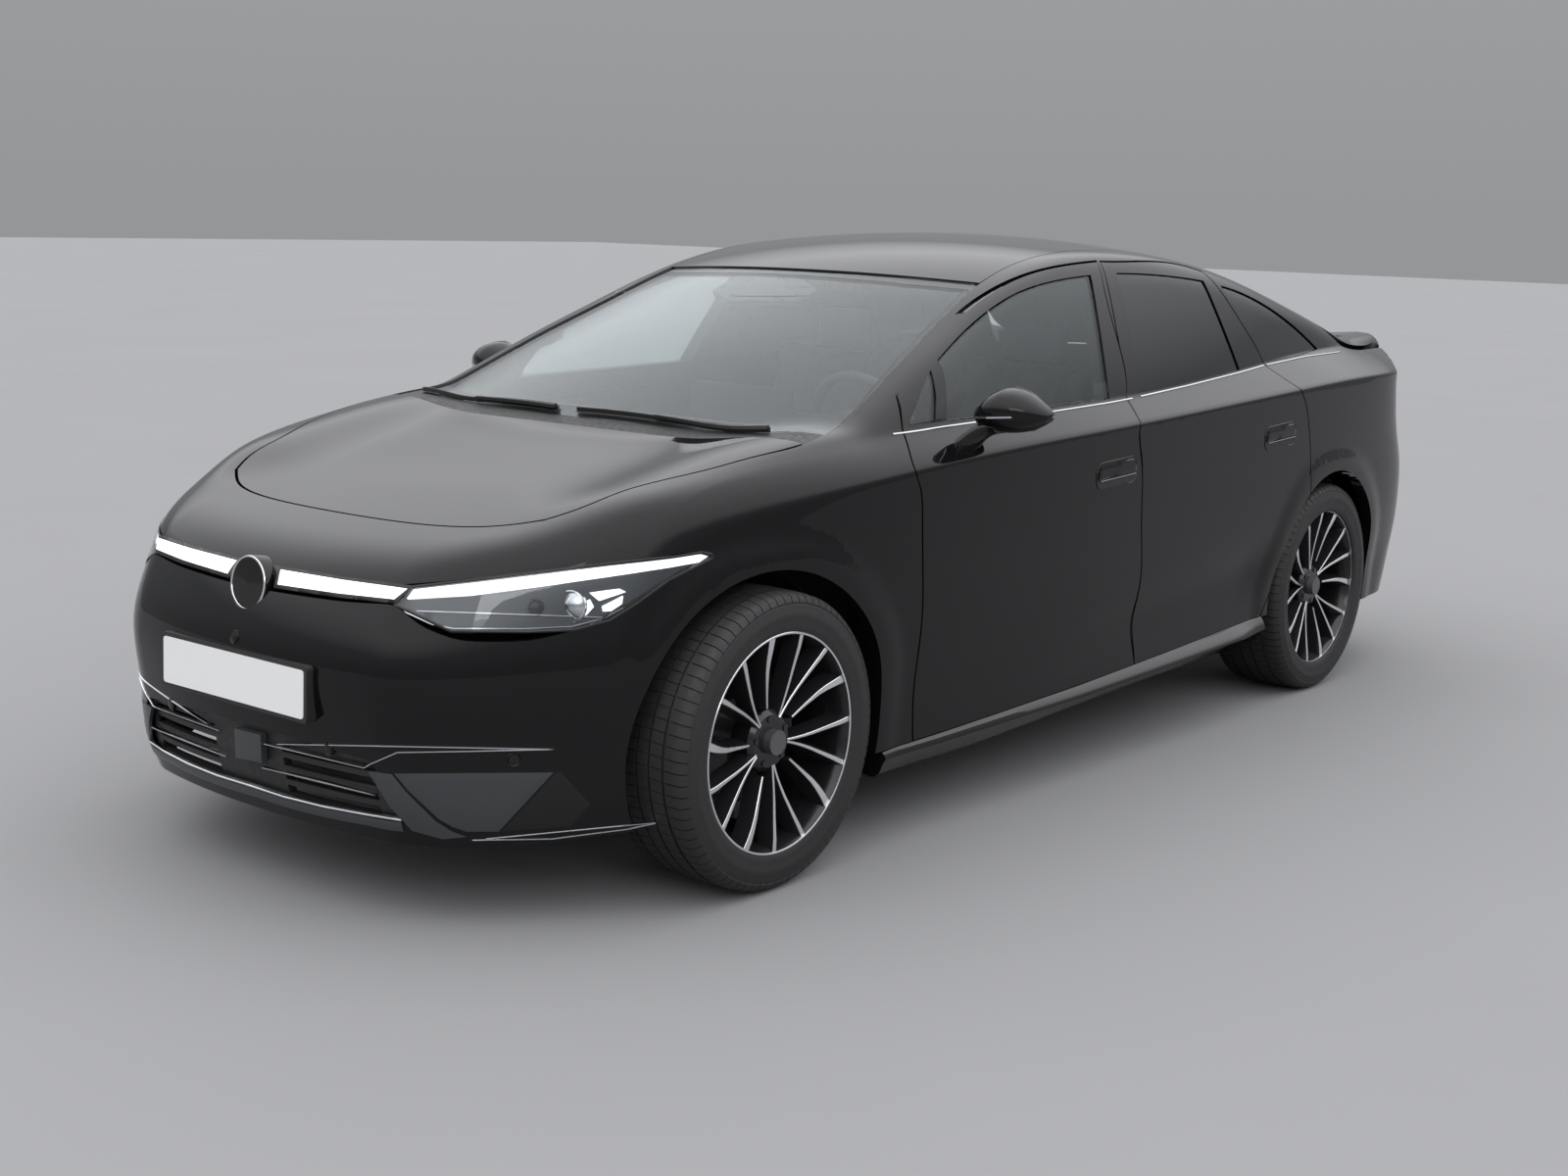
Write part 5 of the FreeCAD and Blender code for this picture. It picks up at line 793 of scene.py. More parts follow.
    @staticmethod
    def woven(rings: Sequence[np.ndarray], round_: bool, closed: bool) -> Shape:
        """Join rows of points into a skin.

        Args:
            rings: Rows of points, all the same length.
            round_: True joins the last row to the first.
            closed: True joins each row's end to its start; else the ends are capped when round.

        Returns:
            The vertices and faces.
        """
        rows, count = len(rings), len(rings[0])
        verts = np.vstack(rings)
        faces: list[tuple[int, ...]] = []
        for j in range(rows if round_ else rows - 1):
            k = (j + 1) % rows
            for i in range(count if closed else count - 1):
                n = (i + 1) % count
                faces.append((j * count + i, j * count + n, k * count + n, k * count + i))
        if round_ and not closed:
            faces.append(tuple(j * count for j in range(rows)))
            faces.append(tuple(j * count + count - 1 for j in reversed(range(rows))))
        return verts, faces


class Skins:
    """The body's panels and glasses, refined on the form that they were cut from."""

    painted = ("side_frame_left", "side_frame_right", "front_fenders", "hood", "roof_panel",
               "front_door_left", "front_door_right", "rear_door_left", "rear_door_right",
               "tailgate", "front_bumper", "rear_bumper")
    clear = ("front_door_glass_left", "front_door_glass_right")
    tinted = ("rear_door_glass_left", "rear_door_glass_right", "tailgate_glass")
    sunk, pane = 0.005, 0.005
    near, agree = 0.012, 0.86
    longest, turned = 0.045, math.cos(math.radians(5.0))

    def __init__(self, bench: Bench) -> None:
        """Keep the bench and the shortest edge that is still halved."""
        self.bench, self.shortest = bench, 0.008

    def build(self) -> None:
        """Make every panel and glass."""
        for node in self.painted:
            self.shortest = 0.004 if node == "tailgate" else 0.008
            self.panel(node, PAINT, 0.0)
        for node in self.clear:
            self.panel(node, CLEAR, self.sunk)
        for node in self.tinted:
            self.panel(node, PRIVACY, self.sunk)
        self.panel("fixed_glasses", CLEAR, self.sunk, (-3.0, 0.0))
        self.panel("fixed_glasses", PRIVACY, self.sunk, (0.0, 3.0))
        self.panel("cowl", GRAINED, None)
        self.panel("lower_grille", GRAINED, None)

    def panel(self, node: str, finish: Finish, level: Optional[float],
              stretch: Optional[tuple[float, float]] = None,
              housing: Optional[Finish] = None) -> None:
        """Refine one node and put the piece in its place.

        Args:
            node: The CAD node.
            finish: Its finish.
            level: Depth of its outer face below the form, or None where it isn't on it.
            stretch: The lengths along Y that are taken from the node, or None for all.
            housing: The finish of what lies behind the outer face, where it differs.
        """
        form = self.bench.form
        work = bmesh.new()
        work.from_mesh(frame["nodes"][node].data)
        bmesh.ops.remove_doubles(work, verts=work.verts, dist=2e-5)
        body = self.bench.body_of[node]
        if level is None:
            mesh = bpy.data.meshes.new(node + "_skin")
            deep = form.depth(np.array([tuple(v.co) for v in work.verts]))
            above = [v for v, d in zip(work.verts, deep) if node == "cowl" and d < -0.001]
            bmesh.ops.delete(work, geom=above, context="VERTS")
            work.to_mesh(mesh)
            work.free()
            self.bench.finish(node + "_skin", mesh, finish, body, [node])
            return
        if stretch:
            far = [f for f in work.faces
                   if not stretch[0] < f.calc_center_median().y < stretch[1]]
            bmesh.ops.delete(work, geom=far, context="FACES")
        work.verts.index_update()
        points = np.array([tuple(v.co) for v in work.verts])
        tris = np.array([[v.index for v in f.verts] for f in work.faces])
        work.free()
        layers = self.on_skin(points, tris, level).astype(int)
        if level:
            layers += 2 * self.on_skin(points, tris[:, ::-1], level + self.pane)
        normals = form.outward(points)
        for _ in range(9):
            fresh, tris, layers = self.split(points, normals, tris, layers)
            if not len(fresh):
                break
            points = np.vstack([points, fresh])
            normals = np.vstack([normals, form.outward(fresh)])
        for layer, deep in ((2, level + self.pane), (1, level)):
            skin = np.unique(tris[layers == layer])
            if len(skin):
                points[skin] = form.settle(points[skin], deep)
                normals[skin] = form.outward(points[skin])
        own = self.flat_normals(points, tris)
        corners = normals[tris]
        facing = np.sum(corners * own[:, None, :], axis=2, keepdims=True)
        loops = np.where(facing < -0.93, -corners, own[:, None, :])
        loops = np.where((layers == 2)[:, None, None], -corners, loops)
        loops = np.where((layers == 1)[:, None, None], corners, loops)
        loops[np.linalg.norm(loops, axis=2) < 0.5] = (0, 0, 1)
        name = node + ("_skin" if node not in self.bench.taken else "_rear_skin")
        nodes = [node] if node not in self.bench.taken else []
        if housing:
            self.sheet(node + "_housing", points, tris[layers != 1], loops[layers != 1],
                       housing, body, [])
            tris, loops = tris[layers == 1], loops[layers == 1]
        self.sheet(name, points, tris, loops, finish, body, nodes)

    def sheet(self, name: str, points: np.ndarray, tris: np.ndarray, loops: np.ndarray,
              finish: Finish, body: str, nodes: list[str]) -> None:
        """Make a piece from triangles and the normals at their corners."""
        kept, index = np.unique(tris, return_inverse=True)
        mesh = bpy.data.meshes.new(name)
        mesh.from_pydata(points[kept].tolist(), [], index.reshape(-1, 3).tolist())
        mesh.polygons.foreach_set("use_smooth", [True] * len(tris))
        mesh.normals_split_custom_set(loops.reshape(-1, 3).tolist())
        self.bench.finish(name, mesh, finish, body, nodes, None)

    def on_skin(self, points: np.ndarray, tris: np.ndarray, level: float) -> np.ndarray:
        """Return which faces lie on the form at a depth."""
        form = self.bench.form
        relief = form.relief(np.abs(points[:, 0]), points[:, 1] + form.size.length / 2,
                             points[:, 2])
        near = np.abs(form.depth(points) - relief - level) < self.near
        own = self.flat_normals(points, tris)
        agree = np.sum(form.outward(points[tris].mean(axis=1)) * own, axis=1)
        return near[tris].all(axis=1) & (agree > self.agree)

    @staticmethod
    def flat_normals(points: np.ndarray, tris: np.ndarray) -> np.ndarray:
        """Return the triangles' own unit normals."""
        own = np.cross(points[tris[:, 1]] - points[tris[:, 0]],
                       points[tris[:, 2]] - points[tris[:, 0]])
        return own / np.maximum(np.linalg.norm(own, axis=1, keepdims=True), 1e-12)

    def split(self, points: np.ndarray, normals: np.ndarray, tris: np.ndarray,
              layers: np.ndarray) -> tuple[np.ndarray, np.ndarray, np.ndarray]:
        """Halve the skin's edges that are long for how far the form turns along them.

        Args:
            points: The vertices.
            normals: The form's normals there.
            tris: The triangles.
            layers: 1 for each of them on the skin, 2 on a glass's inner face, or else 0.

        Returns:
            The new vertices, all triangles, and their layers.
        """
        sides = np.sort(np.stack([tris, np.roll(tris, -1, 1)], axis=2), axis=2).reshape(-1, 2)
        edges, which = np.unique(sides, axis=0, return_inverse=True)
        which = which.reshape(-1, 3)
        lengths = np.linalg.norm(points[edges[:, 0]] - points[edges[:, 1]], axis=1)
        turned = np.sum(normals[edges[:, 0]] * normals[edges[:, 1]], axis=1)
        coarse = (lengths > self.longest) | ((turned < self.turned) & (lengths > self.shortest))
        on_skin = np.zeros(len(edges), bool)
        on_skin[which[layers > 0]] = True
        coarse &= on_skin
        number = np.full(len(edges), -1)
        number[coarse] = len(points) + np.arange(coarse.sum())
        fresh = points[edges[coarse]].mean(axis=1)
        middle = number[which]
        marked = middle >= 0
        made, flags = [tris[~marked.any(axis=1)]], [layers[~marked.any(axis=1)]]
        for first in range(3):
            order = np.roll(np.arange(3), -first)
            a, b, c = (tris[:, k] for k in order)
            m, n, o = (middle[:, k] for k in order)
            has = marked[:, order]
            one = has[:, 0] & ~has[:, 1] & ~has[:, 2]
            two = has[:, 0] & has[:, 1] & ~has[:, 2]
            made += [np.stack(q, axis=1)[one] for q in ((a, m, c), (m, b, c))]
            made += [np.stack(q, axis=1)[two] for q in ((a, m, c), (m, n, c), (m, b, n))]
            flags += [layers[one]] * 2 + [layers[two]] * 3
            if first == 0:
                every = has.all(axis=1)
                made += [np.stack(q, axis=1)[every]
                         for q in ((a, m, o), (m, b, n), (o, n, c), (m, n, o))]
                flags += [layers[every]] * 4
        return fresh, np.vstack(made), np.concatenate(flags)


class Copies:
    """Geometry Nodes trees that repeat a shape round an axis or along a line."""

    @staticmethod
    def start(name: str, sizes: Sequence[tuple[str, str]]) -> bpy.types.NodeTree:
        """Start a tree with a geometry input and named sizes."""
        tree = bpy.data.node_groups.new(name, "GeometryNodeTree")
        tree.interface.new_socket("Geometry", in_out="INPUT", socket_type="NodeSocketGeometry")
        for label, kind in sizes:
            tree.interface.new_socket(label, in_out="INPUT", socket_type=kind)
        tree.interface.new_socket("Geometry", in_out="OUTPUT", socket_type="NodeSocketGeometry")
        return tree

    @staticmethod
    def finish(tree: bpy.types.NodeTree, given: bpy.types.Node,
               places: Optional[bpy.types.NodeSocket], turn: Optional[bpy.types.NodeSocket],
               material: bpy.types.Material) -> None:
        """End a tree: points, instances on them, realized, with their material.

        Args:
            tree: The tree.
            given: Its input node, with the geometry and the count.
            places: Where the copies stand, or None for the origin.
            turn: How they are turned, or None for not at all.
            material: Their material.
        """
        points = tree.nodes.new("GeometryNodePoints")
        copies = tree.nodes.new("GeometryNodeInstanceOnPoints")
        real = tree.nodes.new("GeometryNodeRealizeInstances")
        paint = tree.nodes.new("GeometryNodeSetMaterial")
        paint.inputs["Material"].default_value = material
        out = tree.nodes.new("NodeGroupOutput")
        join = tree.links.new
        join(given.outputs["Count"], points.inputs["Count"])
        if places is not None:
            join(places, points.inputs["Position"])
        if turn is not None:
            join(turn, copies.inputs["Rotation"])
        join(points.outputs[0], copies.inputs["Points"])
        join(given.outputs["Geometry"], copies.inputs["Instance"])
        join(copies.outputs[0], real.inputs[0])
        join(real.outputs[0], paint.inputs[0])
        join(paint.outputs[0], out.inputs[0])

    @classmethod
    def ring(cls, material: bpy.types.Material) -> bpy.types.NodeTree:
        """Return a tree that turns copies about the X axis."""
        tree = cls.start("ring_of_copies", (("Count", "NodeSocketInt"),
                                            ("Step", "NodeSocketFloat")))
        given, index = tree.nodes.new("NodeGroupInput"), tree.nodes.new("GeometryNodeInputIndex")
        angle, axes = tree.nodes.new("ShaderNodeMath"), tree.nodes.new("ShaderNodeCombineXYZ")
        angle.operation = "MULTIPLY"
        tree.links.new(index.outputs[0], angle.inputs[0])
        tree.links.new(given.outputs["Step"], angle.inputs[1])
        tree.links.new(angle.outputs[0], axes.inputs["X"])
        cls.finish(tree, given, None, axes.outputs[0], material)
        return tree

    @classmethod
    def row(cls, material: bpy.types.Material) -> bpy.types.NodeTree:
        """Return a tree that repeats copies along a line."""
        tree = cls.start("row_of_copies", (("Count", "NodeSocketInt"),
                                           ("Offset", "NodeSocketVector")))
        given, index = tree.nodes.new("NodeGroupInput"), tree.nodes.new("GeometryNodeInputIndex")
        move = tree.nodes.new("ShaderNodeVectorMath")
        move.operation = "SCALE"
        tree.links.new(given.outputs["Offset"], move.inputs[0])
        tree.links.new(index.outputs[0], move.inputs["Scale"])
        cls.finish(tree, given, move.outputs[0], None, material)
        return tree

    @staticmethod
    def run(shape: Shape, tree: bpy.types.NodeTree, values: dict) -> Shape:
        """Run a tree on a shape and return what it makes."""
        mesh = bpy.data.meshes.new("copied")
        mesh.from_pydata([tuple(v) for v in shape[0]], [], [tuple(f) for f in shape[1]])
        holder = bpy.data.objects.new("copied", mesh)
        bpy.context.scene.collection.objects.link(holder)
        modifier = holder.modifiers.new("copies", "NODES")
        modifier.node_group = tree
        for item in tree.interface.items_tree:
            if item.in_out == "INPUT" and item.name in values:
                modifier[item.identifier] = values[item.name]
        graph = bpy.context.evaluated_depsgraph_get()
        made = bpy.data.meshes.new_from_object(holder.evaluated_get(graph))
        verts = np.zeros(len(made.vertices) * 3)
        made.vertices.foreach_get("co", verts)
        faces = [tuple(p.vertices) for p in made.polygons]
        bpy.data.objects.remove(holder)
        bpy.data.meshes.remove(mesh)
        bpy.data.meshes.remove(made)
        return verts.reshape(-1, 3), faces


def joined(shapes: Iterable[Shape]) -> Shape:
    """Return several shapes as one."""
    verts, faces, count = [], [], 0
    for points, sides in shapes:
        verts.append(np.asarray(points, float))
        faces += [tuple(i + count for i in f) for f in sides]
        count += len(points)
    return np.vstack(verts), faces


def capped(rings: Sequence[np.ndarray]) -> Shape:
    """Join closed rings into a block with a cap at each end."""
    verts, faces = Bench.woven(rings, False, True)
    count, total = len(rings[0]), len(verts)
    return verts, faces + [tuple(range(count))[::-1], tuple(range(total - count, total))]


def oval(centre: np.ndarray, one: Sequence[float], other: Sequence[float],
         turn: np.ndarray) -> np.ndarray:
    """Return a ring of points about a centre from its half axes and its angles."""
    return centre + np.outer(np.cos(turn), one) + np.outer(np.sin(turn), other)


def both(half: Pairs) -> Pairs:
    """Return a line made of its right half and that half's mirror image."""
    return [(-x, y) for x, y in half[:0:-1]] + list(half)


def trapeze(foot: float, low: float, head: float, high: float) -> Pairs:
    """Return a symmetric outline of four corners."""
    return [(-foot, low), (foot, low), (head, high), (-head, high)]


def revolved(centre: np.ndarray, ahead: np.ndarray, radius: float, segments: int,
             profile: Pairs) -> Shape:
    """Turn a profile about an axis.

    Args:
        centre: The axis's origin.
        ahead: Its direction.
        radius: The radius that the profile's shares are of.
        segments: Edges round the axis.
        profile: Pairs of rise along the axis and share of the radius.

    Returns:
        The vertices and faces.
    """
    ahead = ahead / np.linalg.norm(ahead)
    side = np.cross([0, 0, 1.0], ahead)
    side /= np.linalg.norm(side)
    turn = np.linspace(0, 2 * math.pi, segments, endpoint=False)
    around = np.outer(np.cos(turn), side) + np.outer(np.sin(turn), np.cross(ahead, side))
    return capped([centre + ahead * rise + around * radius * share for rise, share in profile])


def lathe(profile: Pairs, segments: int) -> Shape:
    """Turn a closed profile of x and radius about the X axis."""
    turn = np.linspace(0, 2 * math.pi, segments, endpoint=False)
    rings = [np.stack([np.full(segments, a), r * np.cos(turn), r * np.sin(turn)], axis=1)
             for a, r in profile]
    return Bench.woven(rings, True, True)


def prism(outline: Pairs, near: Callable[[float, float], np.ndarray],
          far: Callable[[float, float], np.ndarray]) -> Shape:
    """Join two copies of an outline into a closed block."""
    count = len(outline)
    verts = np.array([near(*p) for p in outline] + [far(*p) for p in outline])
    faces = [tuple(range(count)), tuple(range(2 * count - 1, count - 1, -1))]
    faces += [(i, i + count, (i + 1) % count + count, (i + 1) % count) for i in range(count)]
    return verts, faces


@dataclass(frozen=True)
class Wheel:
    """A wheel's sizes: fifteen blades in five groups on a dark rim, and its tyre."""

    flange: float = 0.113
    edge: float = 0.2665
    hub: float = 0.074
    cap: float = 0.0275
    dish: float = 0.029
    groups: int = 5
    blocks: int = 80
    tyre_half: float = 0.1175
    rear_tyre_half: float = 0.1275
    bolt: float = 0.0085
    bolt_ring: float = 0.056
    twin: tuple = ((0.060, 2.4, 0.0065), (0.110, 5.6, 0.0072), (0.185, 9.7, 0.0098),
                   (0.262, 12.0, 0.0140))
    kinked: tuple = ((0.086, 41.5, 0.0060), (0.135, 40.8, 0.0085), (0.190, 40.0, 0.0135),
                     (0.262, 36.0, 0.0215))

    def face_at(self, r: float) -> float:
        """Return how far out the blades' face lies at a radius."""
        share = min(max((r - 0.06) / 0.19, 0.0), 1.0)
        return self.flange - 0.004 - self.dish * (1 - share ** 1.25)

    def blade(self, line: Sequence[tuple[float, float, float]], sunk: bool) -> Shape:
        """Make one blade.

        Args:
            line: Rows of radius, angle in degrees and face width.
            sunk: True for the dark web, False for the machined face on it.

        Returns:
            Its vertices and faces.
        """
        stations = np.array(line)
        share = np.linspace(0, 1, 9)
        own = np.linspace(0, 1, len(line))
        table = np.stack([np.interp(share, own, stations[:, k]) for k in range(3)], axis=1)
        middle = np.array([(r * math.cos(math.radians(t)), r * math.sin(math.radians(t)))
                           for r, t, _ in table])
        ahead = np.gradient(middle, axis=0)
        ahead /= np.linalg.norm(ahead, axis=1, keepdims=True)
        across = np.stack([-ahead[:, 1], ahead[:, 0]], axis=1)
        top = np.array([self.face_at(r) for r, _, _ in table])
        half = table[:, 2] / 2
        if sunk:
            rows = ((-1, 0.0008, -0.0004), (1, 0.0008, -0.0004), (1, 0.0105, -0.040),
                    (-1, 0.0105, -0.040))
        else:
            rows = ((-1, -0.0006, 0.0002), (-1, -0.0014, 0.0010), (1, -0.0014, 0.0010),
                    (1, -0.0006, 0.0002))
        rings = []
        for sign, grow, rise in rows:
            flat = middle + across * (sign * (half + grow))[:, None]
            rings.append(np.column_stack([top + rise, flat]))
        return Bench.woven(rings, True, False)

    def group(self, sunk: bool) -> Shape:
        """Make one group: a pair that meets at the hub and a kinked blade beside it."""
        arms = [[(r, sign * turn, wide) for r, turn, wide in self.twin] for sign in (-1, 1)]
        return joined([self.blade(arm, sunk) for arm in arms + [self.kinked]])

    def build(self, bench: Bench) -> None:
        """Make all four wheels and tyres."""
        size = bench.form.size
        ring_black = Copies.ring(BLACK_ALLOY.material())
        ring_face = Copies.ring(MACHINED.material())
        ring_tread = Copies.ring(RUBBER.material())
        around = {"Count": self.groups, "Step": math.radians(360 / self.groups)}
        webs = Copies.run(self.group(True), ring_black, around)
        faces = Copies.run(self.group(False), ring_face, around)
        middle = (self.bolt_ring * math.cos(0.628), self.bolt_ring * 0.588)
        sixth = math.pi / 3
        bolt = prism([(self.bolt * math.cos(k * sixth), self.bolt * math.sin(k * sixth))
                      for k in range(6)],
                     lambda u, v: (0.083, middle[0] + u, middle[1] + v),
                     lambda u, v: (0.070, middle[0] + u, middle[1] + v))
        bolts = Copies.run(bolt, ring_black, around)
        tread = Copies.run(self.tread(), ring_tread,
                           {"Count": self.blocks, "Step": 2 * math.pi / self.blocks})
        barrel = lathe([(0.1128, 0.2662), (0.1118, 0.2615), (0.104, 0.2575), (0.085, 0.250),
                        (0.040, 0.245), (-0.060, 0.241), (-0.111, 0.248), (-0.1125, 0.266),
                        (-0.104, 0.262), (-0.094, 0.254), (0.060, 0.254), (0.095, 0.260),
                        (0.104, 0.266)], 120)
        hub = lathe([(0.0795, 0.001), (0.0795, 0.0245), (0.079, 0.0300), (0.081, 0.040),
                     (0.078, 0.064), (0.068, 0.075), (0.030, 0.080), (0.020, 0.078),
                     (0.020, 0.001)], 64)
        dark = joined([webs, barrel, hub, bolts])
        bright = joined([faces, lathe([(0.1132, 0.2664), (0.1140, 0.2655), (0.1140, 0.2622),
                                       (0.1132, 0.2612), (0.1095, 0.2612), (0.1095, 0.2664)], 120),
                         lathe([(0.0845, self.cap), (0.0855, self.cap - 0.0012),
                                (0.0845, self.cap - 0.0032), (0.079, self.cap - 0.0032),
                                (0.079, self.cap)], 48)])
        cap = lathe([(0.0852, 0.0005), (0.0845, self.cap - 0.0040), (0.0785, self.cap - 0.0034),
                     (0.0785, 0.0005)], 48)
        casing = self.casing()
        for end, plane, axle, turn, half in (
                ("front", size.front_plane, size.front_axle, -27.0, self.tyre_half),
                ("rear", size.rear_plane, size.rear_axle, 14.0, self.rear_tyre_half)):
            widen = half / self.tyre_half
            move = np.array([plane, axle - size.length / 2, size.wheel_radius])
            body, node = end + "_wheel_{side}", end + "_{side}"
            bench.pair(f"{end}_rim_webs", self.set_at(dark, move, turn), BLACK_ALLOY, body,
                       ["rim_" + node], 30, True)
            bench.pair(f"{end}_rim_faces", self.set_at(bright, move, turn), MACHINED, body,
                       (), 40, True)
            bench.pair(f"{end}_hub_cap", self.set_at(cap, move, turn), PIANO, body, (), 40, True)
            bench.pair(f"{end}_tyre_casing", self.set_at(casing, move, 0, widen), RUBBER, body,
                       ["tyre_" + node], 30, True)
            bench.pair(f"{end}_tyre_tread", self.set_at(tread, move, 0, widen), RUBBER, body,
                       (), 40, True)

    @staticmethod
    def set_at(shape: Shape, move: np.ndarray, turn: float, widen: float = 1.0) -> Shape:
        """Turn a shape about its axle, widen it and move it to its wheel."""
        c, s = math.cos(math.radians(turn + 90)), math.sin(math.radians(turn + 90))
        verts = shape[0] @ np.array([[widen, 0, 0], [0, c, s], [0, -s, c]])
        return verts + move, shape[1]

    def casing(self) -> Shape:
        """Make the tyre's casing with its sidewall steps."""
        half = self.tyre_half
        outer = [(0.108, 0.2625), (0.1125, 0.2655), (0.1150, 0.272), (half, 0.281),
                 (half - 0.0004, 0.284), (half + 0.0030, 0.300), (half + 0.0034, 0.312),
                 (half + 0.0026, 0.3135), (half + 0.0018, 0.326), (half - 0.0030, 0.3370),
                 (half - 0.0100, 0.3460), (half - 0.0200, 0.3510), (0.060, 0.3545), (0.0, 0.3555)]
        profile = outer + [(-a, r) for a, r in outer[-2::-1]]
        return lathe(profile, 144)

    def tread(self) -> Shape:
        """Make one step of the tread: two shoulder blocks and three ribs."""
        half, step = self.tyre_half, 2 * math.pi / self.blocks
        shoulder = [(0.066, 0.3588), (0.084, 0.3578), (half - 0.0165, 0.3555),
                    (half - 0.0070, 0.3490), (half - 0.0005, 0.3375)]
        ribs = [([(0.022, 0.3600), (0.058, 0.3592)], 0.93), ([(-0.016, 0.3600), (0.016, 0.3600)],
                                                            0.96)]
        rows = [(shoulder, 0.90), ([(-a, r) for a, r in shoulder[::-1]], 0.90)]
        rows += ribs + [([(-a, r) for a, r in ribs[0][0][::-1]], 0.93)]
        blocks = []
        for line, share in rows:
            ring = [(a, r) for a, r in line] + [(a * 0.985, r - 0.0075) for a, r in line[::-1]]
            ends = []
            for side in (0.0, 1.0):
                row = []
                for a, r in ring:
                    turn = step * share * side + 0.22 * abs(a)
                    row.append((a, r * math.cos(turn), r * math.sin(turn)))
                ends.append(np.array(row))
            blocks.append(capped(ends))
        return joined(blocks)


@dataclass(frozen=True)
class FrontEnd:
    """The nose: light bar, lamps, badge disc, plate, grille bars, corner inlays and sensors."""

    view: PhotoView
    badge: float = 0.063
    sensor_radius: float = 0.0125

    lens: tuple = ((-0.030, 0.82), (-0.004, 1.0), (0.0, 1.0), (0.001, 0.93), (-0.004, 0.88),
                   (-0.003, 0.80), (0.004, 0.60), (0.009, 0.30), (0.0105, 0.02))
    sensor: tuple = ((-0.006, 1.25), (0.0012, 1.25), (0.0022, 1.18), (0.0012, 1.08),
                     (0.0008, 1.0), (0.0030, 0.95), (0.0040, 0.5), (0.0042, 0.05))
    bar: tuple = ((287.3, 581.8), (350, 592.2), (415.9, 601.2), (402.7, 611.8), (345, 605.6),
                  (284.3, 596.7))
    lamp: tuple = ((402.3, 617.0), (420.0, 599.0), (480, 592.3), (550, 583.8), (620, 575.5),
                   (690, 568.0), (716, 563.8), (725, 565.5), (729, 569.2), (719, 574.0),
                   (683, 592.2), (651.5, 615.2), (622.5, 633.4), (586, 643.0), (537.6, 644.8),
                   (460.0, 644.2))
    guide: tuple = ((414.5, 610.5), (421.5, 601.0), (480, 594.6), (550, 586.2), (620, 577.6),
                    (688, 570.0), (716, 565.6), (723, 567.6), (714, 573.8), (683, 579.4),
                    (622, 588.4), (550, 598.6), (480, 607.4))
    inlay: tuple = ((402.5, 789.3), (564.7, 788.2), (508.6, 848.4), (476, 848.4), (461.6, 843.3),
                    (447.3, 835.1), (416.7, 806.5))
    inlay_end: tuple = ((567.5, 788.2), (571.8, 787.8), (602.4, 820.8), (582, 843.3),
                        (511.5, 848.4))
    blade: tuple = ((376.0, 787.0), (400.0, 789.8), (414.5, 807.8), (445, 838.0), (462, 848.5),
                    (476, 853.5), (452, 855.9), (421, 847.3), (398, 822.9))

    def build(self, bench: Bench) -> None:
        """Make the front end's pieces."""
        lay, car = self.view.lay(bench.form), "car_body"
        bench.pair("light_bar", bench.patch(self.bar, lay, 4, 0.0042, 0.02, 0.0010),
                   WHITE_LIGHT, car, ["front_lamps"])
        frame_line = [(280.0, 577.0), (350, 588.6), (420.0, 597.6), (405.0, 616.2), (345, 609.8),
                      (280.0, 600.2)]
        bench.pair("light_bar_frame", bench.patch(frame_line, lay, 4, 0.0020, 0.03, 0.0008),
                   PIANO, car)
        bench.pair("wing_joint", bench.patch(
            [(620, 547), (640, 546), (672, 560), (674, 571), (664, 572), (628, 559)], lay, 4,
            0.0005, 0.006), PAINT, car)
        self.lamps(bench, lay)
        self.badge_disc(bench)
        self.plate(bench)
        self.mouth(bench, lay)

    def lamps(self, bench: Bench, lay: Callable[[np.ndarray], np.ndarray]) -> None:
        """Make the headlamps: a dark bowl, light guides, projector and clear cover."""
        car = "car_body"
        bench.pair("lamp_bowl", bench.patch(self.lamp, lay, 10, -0.016, 0.05), SATIN, car)
        bench.pair("lamp_light_guide", bench.patch(self.guide, lay, 9, -0.002, 0.012, 0.0006),
                   WHITE_LIGHT, car)
        bench.pair("lamp_cover", bench.patch(self.lamp, lay, 9, 0.0012, 0.0012, 0.0006), LENS,
                   car)
        rim = self.view.hit(bench.form, np.array(self.spread(self.lamp, 8.0)))
        bench.pair("lamp_seal", bench.strip(rim, 0.006, 0.0016, 0.012, True), PIANO, car)
        chrome = self.spread([(408, 622), (440, 636.5), (462, 640.8), (537, 641.2), (585, 639.0),
                              (620, 630.0)], 8.0)[:-1]
        line = self.view.hit(bench.form, np.array(chrome))
        line = line - bench.form.outward(line) * 0.012
        bench.pair("lamp_lower_line", bench.strip(line, 0.0035, 0.002, 0.002), CHROME, car)
        for name, spot, radius, finish in (
                ("projector", (584.0, 618.5), 0.036, CHROME),
                ("low_beam", (545.0, 620.0), 0.020, PIANO)):
            centre = self.view.hit(bench.form, np.array([spot]))[0]
            out = bench.form.outward(centre[None])[0]
            ahead = np.array([0.25, -0.96, 0.05])
            shape = revolved(centre - out * 0.014, ahead, radius, 32, self.lens)
            bench.pair("lamp_" + name, shape, finish, car, (), 40, True)
        # the reflector patches glow in the white light finish: painted highlight standing in for
        # light that the reflectors mirror
        for name, outline in (("upper", [(603, 604.5), (633, 600.5), (640, 604), (613, 613)]),
                              ("lower", [(616, 618.5), (637, 608), (636, 616), (625, 623.5),
                                         (617, 624)]),
                              ("inner", [(594, 615), (603, 611.5), (607, 619), (600, 627),
                                         (594, 629)])):
            bench.pair(f"lamp_reflector_{name}",
                       bench.patch(outline, lay, 6, -0.007, 0.02, 0.001), WHITE_LIGHT, car)

